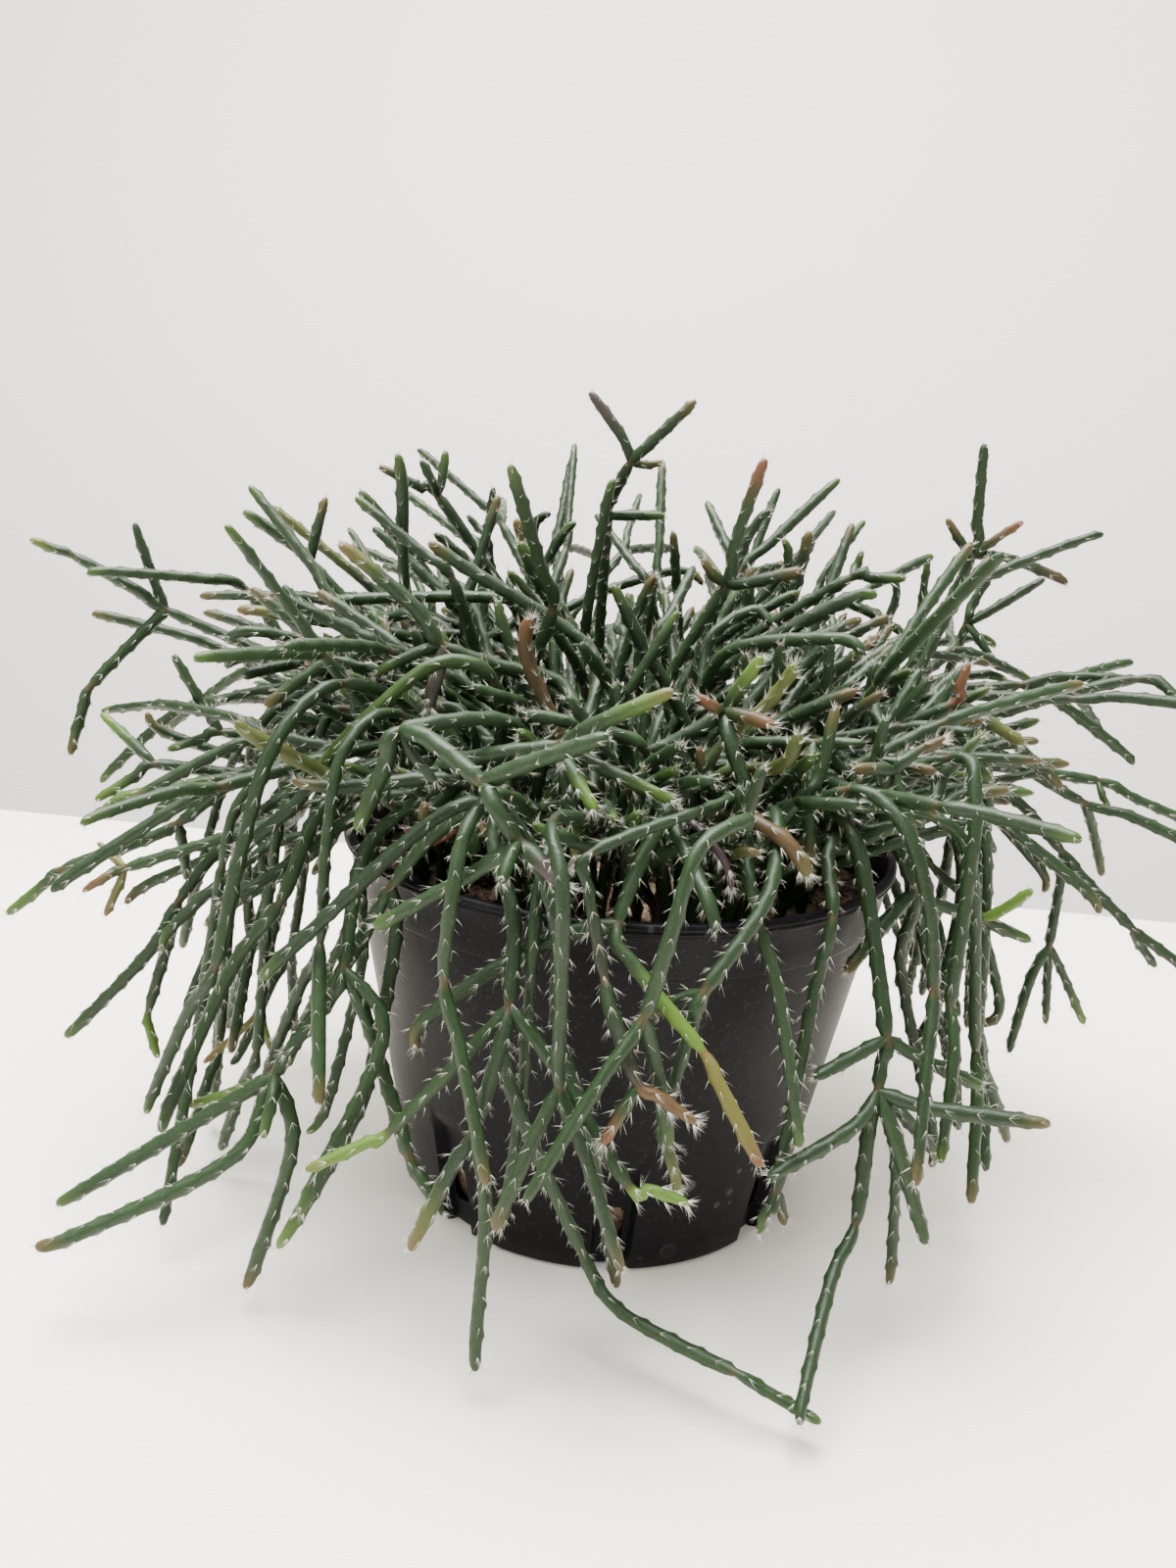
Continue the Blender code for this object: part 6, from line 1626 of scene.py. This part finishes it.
    @staticmethod
    def tone_at(name: str, s: float, spans: dict, left: float, near: float, shade: float,
                stain: float) -> tuple[tuple[float, float, float, float], float]:
        """A point's tone and how bristly it is.

        Args:
            name: the shoot's name.
            s: how far along the stem the point is.
            spans: each shoot's start and end along the stem.
            left: how far the point is from the tip.
            near: how far it is from the nearest joint.
            shade: the stem's lightness.
            stain: picks the colour of an ordinary tip.

        Returns:
            The tone as fresh, rusty, purple and lightness, and the bristles' density.
        """
        fresh, rusty, purple = 0.05, 0.0, 0.0
        tip = max(0.0, 1.0 - left / TIP_STAIN)
        if stain < 0.35:
            fresh += 0.28 * tip
        elif stain < 0.66:
            fresh += 0.15 * tip
            rusty += 0.50 * tip
        if near < JOINT_STAIN:
            rusty += 0.25
        density = 1.0
        if name in TONES:
            tone, begin, strength, density = TONES[name]
            low, high = spans[name]
            share = (s - low) / max(high - low, 1e-6)
            amount = strength * min(1.0, max(0.0, (share - begin) / max(0.3, 1.0 - begin) * 1.6))
            if begin == 0.0:
                amount = strength
            fresh += tone.value[0] * amount
            rusty += tone.value[1] * amount
            purple += tone.value[2] * amount
        if name in ("back", "thicket", "curtain"):
            density = SLIGHT_BRISTLES
        return (min(fresh, 1.0), min(rusty, 1.0), min(purple, 1.0), shade), density

    def tuft(self, hair: MeshParts, root: Vector, normal: Vector, way: Vector, left: float,
             density: float, rng: random.Random) -> None:
        """Add the felted cushion and the bristles of one areole."""
        across = way.cross(normal)
        if rng.random() < self.felted:
            self.cushion(hair, root, normal, way, across)
        young = max(0.0, 1.0 - left / self.young_reach)
        count = max(1, round(rng.uniform(*self.tuft_size) * density * (1.0 + 0.8 * young)))
        for _ in range(count):
            tilt = math.radians(rng.uniform(*self.tuft_tilt))
            fan = rng.uniform(-0.8, 0.8)
            aim = way * math.cos(tilt) + normal * math.sin(tilt) + across * fan
            reach = rng.uniform(*self.tuft_reach) * (0.8 + 0.25 * min(density, 2.0))
            self.spine(hair, root - normal * 0.0001, aim.normalized(), normal, reach)

    def cushion(self, hair: MeshParts, root: Vector, normal: Vector, way: Vector,
                across: Vector) -> None:
        """Add the little pale cushion that bristles grow from."""
        base = len(hair.verts)
        low = root - normal * 0.00012
        for step in (way * 0.00030, across * 0.00013, way * -0.00012, across * -0.00013):
            hair.verts.append(tuple(low + step))
        hair.verts.append(tuple(root + normal * 0.00007 + way * 0.00016))
        for j in range(4):
            hair.faces.append((base + j, base + (j + 1) % 4, base + 4))

    def spine(self, hair: MeshParts, root: Vector, aim: Vector, normal: Vector,
              reach: float) -> None:
        """Add one bristle, a slender pyramid."""
        base = len(hair.verts)
        side = aim.cross(normal).normalized()
        if side.length < 0.5:
            side = aim.orthogonal().normalized()
        other = aim.cross(side)
        for turn in (0.0, math.tau / 3.0, 2.0 * math.tau / 3.0):
            rim = side * math.cos(turn) + other * math.sin(turn)
            hair.verts.append(tuple(root + rim * self.bristle))
        hair.verts.append(tuple(root + aim * reach))
        for j in range(3):
            hair.faces.append((base + j, base + (j + 1) % 3, base + 3))

    def crest(self, hair: MeshParts, end: Vector, way: Vector, side: Vector, name: str,
              rng: random.Random) -> None:
        """Add the tuft of bristles at a growing tip."""
        density = TONES[name][3] if name in TONES else 1.0
        other = way.cross(side)
        for _ in range(round(rng.uniform(*self.crest_size) * min(density, 2.4))):
            turn = rng.uniform(0.0, math.tau)
            flare = rng.uniform(0.1, 1.0)
            rim = side * math.cos(turn) + other * math.sin(turn)
            root = end + rim * 0.0005 - way * 0.0006
            reach = rng.uniform(*self.crest_reach) * (0.8 + 0.25 * min(density, 2.0))
            self.spine(hair, root, (way + rim * flare).normalized(), rim, reach)


@dataclass
class Pot:
    """The thin black pot: a turned shell with flutes, slots and drains."""

    columns: int = 20
    sizes: PotSizes = POT
    finish: PlasticFinish = field(default_factory=PlasticFinish)

    def angles(self) -> list[tuple[float, float]]:
        """The columns' angles and how deep in a flute each lies, 0 to 1."""
        z = self.sizes
        outer = z.flute_half + z.flute_edge
        rest = math.tau / z.flutes - 2.0 * outer
        out = []
        for k in range(z.flutes):
            middle = z.flute_angle(k)
            for share in (-1.0, -0.66, -0.33, 0.0, 0.33, 0.66, 1.0):
                out.append((middle + share * z.flute_half, 1.0))
            for part, depth in ((0.3, 0.8), (0.6, 0.25), (1.0, 0.0)):
                out.append((middle + z.flute_half + part * z.flute_edge, depth))
            start = middle + outer
            out += [(start + rest * j / self.columns, 0.0) for j in range(1, self.columns)]
            for part, depth in ((1.0, 0.0), (0.6, 0.25), (0.3, 0.8)):
                out.append((start + rest + (1.0 - part) * z.flute_edge, depth))
        return out

    def profile(self) -> list[tuple[float, float, float]]:
        """Radius, height and flute share, from the base's edge up, over the lip and down."""
        z = self.sizes
        band = z.height - z.band_drop
        lip = z.height - z.lip_drop
        rim = z.rim_radius + z.lip_out
        inner = -z.wall
        rows = [(z.radius_at(0.0) - 0.0014, 0.0, 1.0), (z.radius_at(0.0) - 0.0005, 0.0003, 1.0),
                (z.radius_at(0.0012), 0.0012, 1.0)]
        for share in (0.2, 0.4, 0.6, 0.75):
            rows.append((z.radius_at(z.flute_top * share), z.flute_top * share, 1.0))
        rows += [(z.radius_at(z.flute_top * s), z.flute_top * s, d)
                 for s, d in ((0.84, 0.85), (0.92, 0.45), (1.0, 0.0))]
        low, high = z.flute_top, band
        rows += [(z.radius_at(low + (high - low) * s), low + (high - low) * s, 0.0)
                 for s in (0.05, 0.25, 0.5, 0.75, 0.96)]
        rows += [
            (z.radius_at(band), band, 0.0),
            (z.radius_at(band) + z.band_step * 0.7, band + 0.0003, 0.0),
            (z.radius_at(band) + z.band_step, band + 0.0008, 0.0),
            (z.radius_at(band + 0.005) + z.band_step * 0.6, band + 0.005, 0.0),
            (z.radius_at(lip) + 0.0002, lip - 0.0004, 0.0),
            (z.radius_at(lip) + 0.0006, lip + 0.0001, 0.0),
            (rim - 0.0002, lip + 0.0006, 0.0), (rim, lip + 0.0011, 0.0),
            (rim - 0.0002, z.height - 0.0016, 0.0), (rim, z.height - 0.0010, 0.0),
            (rim - 0.0003, z.height - 0.0003, 0.0), (rim - 0.0008, z.height, 0.0),
            (z.rim_radius + inner + 0.0003, z.height - 0.0001, 0.0),
            (z.rim_radius + inner, z.height - 0.0006, 0.0),
            (z.radius_at(band) + z.band_step + inner, band + 0.0008, 0.0),
            (z.radius_at(band) + inner, band - 0.0006, 0.0),
            (z.radius_at(z.flute_top) + inner, z.flute_top, 0.0),
            (z.radius_at(z.flute_top * 0.75) + inner, z.flute_top * 0.75, 1.0),
            (z.radius_at(z.floor) + inner, z.floor, 1.0),
        ]
        return rows

    def build(self) -> None:
        """Make the shell and cut its openings."""
        z = self.sizes
        angles = self.angles()
        n = len(angles)
        parts = MeshParts()
        rows = self.profile()
        for radius, height, share in rows:
            for turn, fluted in angles:
                r = radius - z.flute_depth * share * fluted
                parts.verts.append((r * math.cos(turn), r * math.sin(turn), height))
        parts.join_rings(0, len(rows), n)
        parts.cap(0, n, (0.0, 0.0, 0.0), under=True)
        parts.cap((len(rows) - 1) * n, n, (0.0, 0.0, z.floor))
        material = self.finish.make()
        piece = parts.make("moulded_pot", material, "pot", ("pot",))
        self.cut(piece)
        piece.data.set_sharp_from_angle(angle=math.radians(38.0))

    def cut(self, piece: bpy.types.Object) -> None:
        """Cut the slots in the flutes and the drains in the floor."""
        z = self.sizes
        tools = []
        for k in range(z.flutes):
            turn = z.flute_angle(k)
            middle = (z.slot_low + z.slot_high) / 2.0
            r = z.radius_at(middle) - z.flute_depth
            bm = bmesh.new()
            bmesh.ops.create_cube(bm, size=1.0)
            size = (0.008, z.slot_width, z.slot_high - z.slot_low)
            bmesh.ops.scale(bm, verts=bm.verts, vec=size)
            bmesh.ops.bevel(bm, geom=bm.edges[:], offset=0.0007, segments=2, affect="EDGES")
            place = Vector((r * math.cos(turn), r * math.sin(turn), middle))
            tools.append(self.tool(bm, place, turn))
        for k in range(z.drains):
            turn = k * math.tau / z.drains
            bm = bmesh.new()
            bmesh.ops.create_cone(bm, segments=28, radius1=z.drain_radius,
                                  radius2=z.drain_radius, depth=0.006, cap_ends=True)
            spot = Vector((z.drain_ring * math.cos(turn), z.drain_ring * math.sin(turn), 0.0))
            tools.append(self.tool(bm, spot, 0.0))
        bpy.context.view_layer.update()
        group = bpy.data.collections.new("pot_cutters")
        bpy.context.scene.collection.children.link(group)
        for tool in tools:
            bpy.context.scene.collection.objects.unlink(tool)
            group.objects.link(tool)
        mod = piece.modifiers.new("openings", "BOOLEAN")
        mod.operation = "DIFFERENCE"
        mod.solver = "MANIFOLD"
        mod.operand_type = "COLLECTION"
        mod.collection = group
        graph = bpy.context.evaluated_depsgraph_get()
        graph.update()
        cut = bpy.data.meshes.new_from_object(piece.evaluated_get(graph))
        piece.modifiers.clear()
        piece.data = cut
        for tool in tools:
            bpy.data.objects.remove(tool, do_unlink=True)
        bpy.data.collections.remove(group)

    @staticmethod
    def tool(bm: bmesh.types.BMesh, place: Vector, turn: float) -> bpy.types.Object:
        """A cutter at a place, turned about the upright."""
        mesh = bpy.data.meshes.new("cutter")
        bm.to_mesh(mesh)
        bm.free()
        tool = bpy.data.objects.new("cutter", mesh)
        tool.location = place
        tool.rotation_euler = (0.0, 0.0, turn)
        bpy.context.scene.collection.objects.link(tool)
        return tool


@dataclass
class PottingMix:
    """The soil, its chips and grains, and the woody crowns that stand in it."""

    seed: int = 23
    rings: int = 40
    sides: int = 120
    chips: int = 620
    grains: int = 70
    twigs: int = 46
    scatter_height: float = 0.084
    chip_size: tuple = (0.0008, 0.0030)
    grain_size: tuple = (0.0006, 0.0013)
    twig_length: tuple = (0.006, 0.018)
    twig_radius: tuple = (0.00018, 0.00045)
    twig_bend: float = 0.25
    broken: float = 0.28
    edge_room: float = 0.002
    crown_peak: float = 0.0018
    sizes: SoilSizes = SOIL
    earth: EarthFinish = field(default_factory=EarthFinish)
    bark: EarthFinish = EarthFinish("bark", (0.020, 0.011, 0.008), (0.105, 0.052, 0.030),
                                    (0.230, 0.140, 0.085), 700.0)
    straw: EarthFinish = EarthFinish("dry_stem", (0.090, 0.055, 0.034), (0.260, 0.180, 0.110),
                                     (0.420, 0.320, 0.220), 900.0)
    perlite: PerliteFinish = field(default_factory=PerliteFinish)

    def height(self, x: float, y: float) -> float:
        """The soil's height at a place, with its lumps."""
        flat = math.hypot(x, y) / POT.rim_radius
        fall = self.sizes.fall * max(0.0, (flat - 0.42) / 0.56) ** 2
        lumps = noise.noise(Vector((x, y, 0.0)) * 90.0) * 0.0007
        lumps += noise.noise(Vector((x, y, 0.3)) * 330.0) * 0.0006
        return self.sizes.top - fall + lumps - 0.0004

    def wall(self, height: float) -> float:
        """The soil's radius against the pot's wall."""
        return POT.radius_at(height) - POT.wall - POT.gap

    def build(self) -> None:
        """Make the soil and everything that lies on it."""
        self.bed()
        rng = random.Random(self.seed)
        chips, grains, twigs = MeshParts(), MeshParts(), MeshParts()
        for _ in range(self.chips):
            size = rng.uniform(*self.chip_size)
            self.lump(chips, rng, size, (1.0, rng.uniform(0.4, 0.8), rng.uniform(0.2, 0.45)))
        for _ in range(self.grains):
            self.lump(grains, rng, rng.uniform(*self.grain_size), (1.0, 0.9, 0.8))
        for _ in range(self.twigs):
            self.twig(twigs, rng)
        chips.make("bark_chips", self.bark.make(), "soil", smooth=False)
        grains.make("perlite_grains", self.perlite.make(), "soil", smooth=False)
        twigs.make("dry_bits", self.straw.make(), "soil")
        crowns = MeshParts()
        for centre in self.sizes.crowns():
            self.crown(crowns, centre, rng)
        wood = EarthFinish("crown_wood", (0.030, 0.022, 0.015), (0.120, 0.085, 0.052),
                           (0.230, 0.180, 0.120), 520.0)
        crowns.make("root_crowns", wood.make(), "stems")

    def bed(self) -> None:
        """Make the body of the soil with its rough top."""
        parts = MeshParts()
        foot = POT.floor + POT.gap
        edge = self.sizes.top - self.sizes.fall
        deep = POT.flute_depth + 0.0010
        profile = [(self.wall(foot) - deep, foot), (self.wall(POT.flute_top) - deep, POT.flute_top),
                   (self.wall(POT.flute_top + 0.004) - 0.0005, POT.flute_top + 0.004),
                   (self.wall(edge) - 0.0004, edge - 0.004)]
        for radius, height in profile:
            for j in range(self.sides):
                turn = math.tau * j / self.sides
                parts.verts.append((radius * math.cos(turn), radius * math.sin(turn), height))
        for k in range(self.rings):
            radius = (self.wall(edge) - 0.0004) * (1.0 - k / self.rings)
            for j in range(self.sides):
                turn = math.tau * j / self.sides
                x, y = radius * math.cos(turn), radius * math.sin(turn)
                parts.verts.append((x, y, self.height(x, y)))
        rows = len(profile) + self.rings
        parts.join_rings(0, rows, self.sides)
        parts.cap(0, self.sides, (0.0, 0.0, foot), under=True)
        parts.cap((rows - 1) * self.sides, self.sides, (0.0, 0.0, self.height(0.0, 0.0)))
        parts.make("potting_mix", self.earth.make(), "soil", ("soil",))

    def spot(self, rng: random.Random) -> Vector:
        """A random place on the soil."""
        turn = rng.uniform(0.0, math.tau)
        radius = (self.wall(self.scatter_height) - 0.003) * math.sqrt(rng.random())
        x, y = radius * math.cos(turn), radius * math.sin(turn)
        return Vector((x, y, self.height(x, y)))

    def lump(self, parts: MeshParts, rng: random.Random, size: float,
             stretch: tuple[float, float, float]) -> None:
        """Add one broken crumb, half sunk in the soil."""
        bm = bmesh.new()
        bmesh.ops.create_icosphere(bm, subdivisions=1, radius=1.0)
        spin = Vector((rng.uniform(-0.5, 0.5), rng.uniform(-0.5, 0.5), rng.uniform(0.0, 6.28)))
        middle = self.spot(rng)
        first = len(parts.verts)
        cos, sin = math.cos(spin.z), math.sin(spin.z)
        for vert in bm.verts:
            x, y, z = vert.co
            shape = 1.0 + rng.uniform(-self.broken, self.broken)
            x, y, z = x * size * stretch[0] * shape, y * size * stretch[1] * shape, z * size
            z = z * stretch[2] * shape + x * spin.x + y * spin.y
            parts.verts.append((middle.x + x * cos - y * sin, middle.y + x * sin + y * cos,
                                middle.z + z + size * 0.10))
        for face in bm.faces:
            parts.faces.append(tuple(first + v.index for v in face.verts))
        bm.free()

    def twig(self, parts: MeshParts, rng: random.Random) -> None:
        """Add one thin dry bit lying on the soil."""
        start = self.spot(rng)
        turn = rng.uniform(0.0, math.tau)
        way = Vector((math.cos(turn), math.sin(turn), rng.uniform(-0.02, 0.12)))
        length = rng.uniform(*self.twig_length)
        radius = rng.uniform(*self.twig_radius)
        bend = Vector((-way.y, way.x, 0.0)) * rng.uniform(-self.twig_bend, self.twig_bend)
        rings, sides = 5, 5
        first = len(parts.verts)
        for k in range(rings):
            share = k / (rings - 1)
            middle = start + way * length * share + bend * length * math.sin(math.pi * share)
            flat = math.hypot(middle.x, middle.y)
            if flat > self.wall(self.scatter_height) - self.edge_room:
                middle *= (self.wall(self.scatter_height) - self.edge_room) / flat
                middle.z = start.z
            middle.z = max(middle.z, self.height(middle.x, middle.y)) + 0.0004
            for j in range(sides):
                angle = math.tau * j / sides
                rim = Vector((-way.y, way.x, 0.0)) * math.cos(angle)
                rim += Vector((0.0, 0.0, 1.0)) * math.sin(angle)
                parts.verts.append(tuple(middle + rim * radius * (1.0 - 0.4 * share)))
        parts.join_rings(first, rings, sides)

    def crown(self, parts: MeshParts, centre: Vector, rng: random.Random) -> None:
        """Add one knobbly woody crown, standing in its hole."""
        z = self.sizes
        rows = [(0.66, -z.crown_depth + POT.gap), (0.98, -0.62 * z.crown_depth), (0.98, -0.0030),
                (0.96, -0.0006), (0.88, 0.0006), (0.66, 0.0013), (0.36, 0.0017)]
        sides = 22
        first = len(parts.verts)
        for share, height in rows:
            for j in range(sides):
                turn = math.tau * j / sides
                way = level_way(turn)
                knob = noise.noise(way * 2.2 + centre * 60.0 + Vector((0, 0, height * 300.0)))
                out = z.crown_radius * share * (1.0 - 0.10 * abs(knob))
                rise = 0.0005 * knob if height > -0.001 else 0.0
                parts.verts.append((centre.x + way.x * out, centre.y + way.y * out,
                                    z.top + height + rise))
        parts.join_rings(first, len(rows), sides)
        last = first + (len(rows) - 1) * sides
        parts.cap(last, sides, (centre.x, centre.y, z.top + self.crown_peak))


@dataclass
class Studio:
    """A pale floor, a backdrop and soft light. Floor and backdrop also glow with painted light."""

    # Each sheet's last number is its painted glow: emission that brightens the floor a little and
    # the backdrop strongly, though neither is a lamp.
    floor: RoomFinish = RoomFinish("pale_floor", (0.87, 0.835, 0.75), (0.81, 0.78, 0.71), 0.12)
    wall: RoomFinish = RoomFinish("backdrop", (0.87, 0.81, 0.765), (0.84, 0.77, 0.715), 1.15)
    edge: tuple = ((0.0, 826.0), (1200.0, 942.0))
    wide: float = 3.2
    near: float = 2.4
    tall: float = 3.2
    wall_back: float = 0.85
    wall_drop: float = 0.60
    sky: tuple = (1.0, 0.985, 0.965, 1.0)
    sky_strength: float = 0.26
    lamps: tuple = (
        ("overhead", (-0.15, 0.05, 1.10), (0.0, 0.02, 0.0), 0.8, 78.0),
        ("front_left", (-0.75, -0.85, 0.75), (0.0, 0.0, 0.08), 0.9, 8.5),
        ("front_right", (0.85, -0.60, 0.55), (0.0, 0.0, 0.08), 0.9, 4.0),
    )

    def build(self) -> None:
        """Add the floor, the backdrop, the lamps and the camera."""
        left, right = (VIEW.on_floor(*spot) for spot in self.edge)
        along = (right - left).normalized()
        back = Vector((-along.y, along.x, 0.0))
        middle = (left + right) / 2.0
        wide = along * self.wide
        near = back * self.near
        self.sheet("floor", self.floor, (middle - wide, middle + wide,
                                         middle + wide - near, middle - wide - near))
        foot = middle + back * self.wall_back - Vector((0.0, 0.0, self.wall_drop))
        top = Vector((0.0, 0.0, self.tall))
        self.sheet("backdrop", self.wall, (foot - wide, foot + wide,
                                           foot + wide + top, foot - wide + top))
        for row in self.lamps:
            self.lamp(*row)
        world = bpy.data.worlds.new("soft_room")
        world.use_nodes = True
        sky = world.node_tree.nodes["Background"]
        sky.inputs["Color"].default_value = self.sky
        sky.inputs["Strength"].default_value = self.sky_strength
        bpy.context.scene.world = world
        VIEW.make_camera()

    @staticmethod
    def sheet(name: str, finish: RoomFinish, corners: Sequence[Vector]) -> None:
        """Add one flat staged sheet."""
        mesh = bpy.data.meshes.new(name)
        mesh.from_pydata([tuple(c) for c in corners], [], [(0, 1, 2, 3)])
        mesh.materials.append(finish.make())
        sheet = bpy.data.objects.new(name, mesh)
        bpy.context.scene.collection.objects.link(sheet)

    @staticmethod
    def lamp(name: str, place: Colour, target: Colour, size: float, power: float) -> None:
        """Add one soft square lamp that faces a target."""
        data = bpy.data.lights.new(name, "AREA")
        data.shape = "SQUARE"
        data.size = size
        data.energy = power
        data.color = (1.0, 0.98, 0.96)
        lamp = bpy.data.objects.new(name, data)
        lamp.location = place
        aim = Vector(target) - Vector(place)
        lamp.rotation_euler = aim.to_track_quat("-Z", "Y").to_euler()
        bpy.context.scene.collection.objects.link(lamp)


def main() -> None:
    """Build the plant, the pot, the soil and the studio."""
    logging.basicConfig(level=logging.INFO, format="%(name)s %(message)s")
    plant = Plant()
    plant.used = [0] * len(plant.crowns)
    plant.lay_read_shoots()
    plant.lay_back_shoots()
    Settler(plant, 0, STEM.relax_steps).settle()
    solid = len(plant.pos)
    plant.lay_thicket()
    plant.lay_curtain()
    Settler(plant, solid, STEM.relax_steps // 2).settle()
    LOG.info("plant: %d points", len(plant.pos))
    Pot().build()
    PottingMix().build()
    Mop().build(plant)
    Studio().build()


if __name__ == "__main__":
    main()
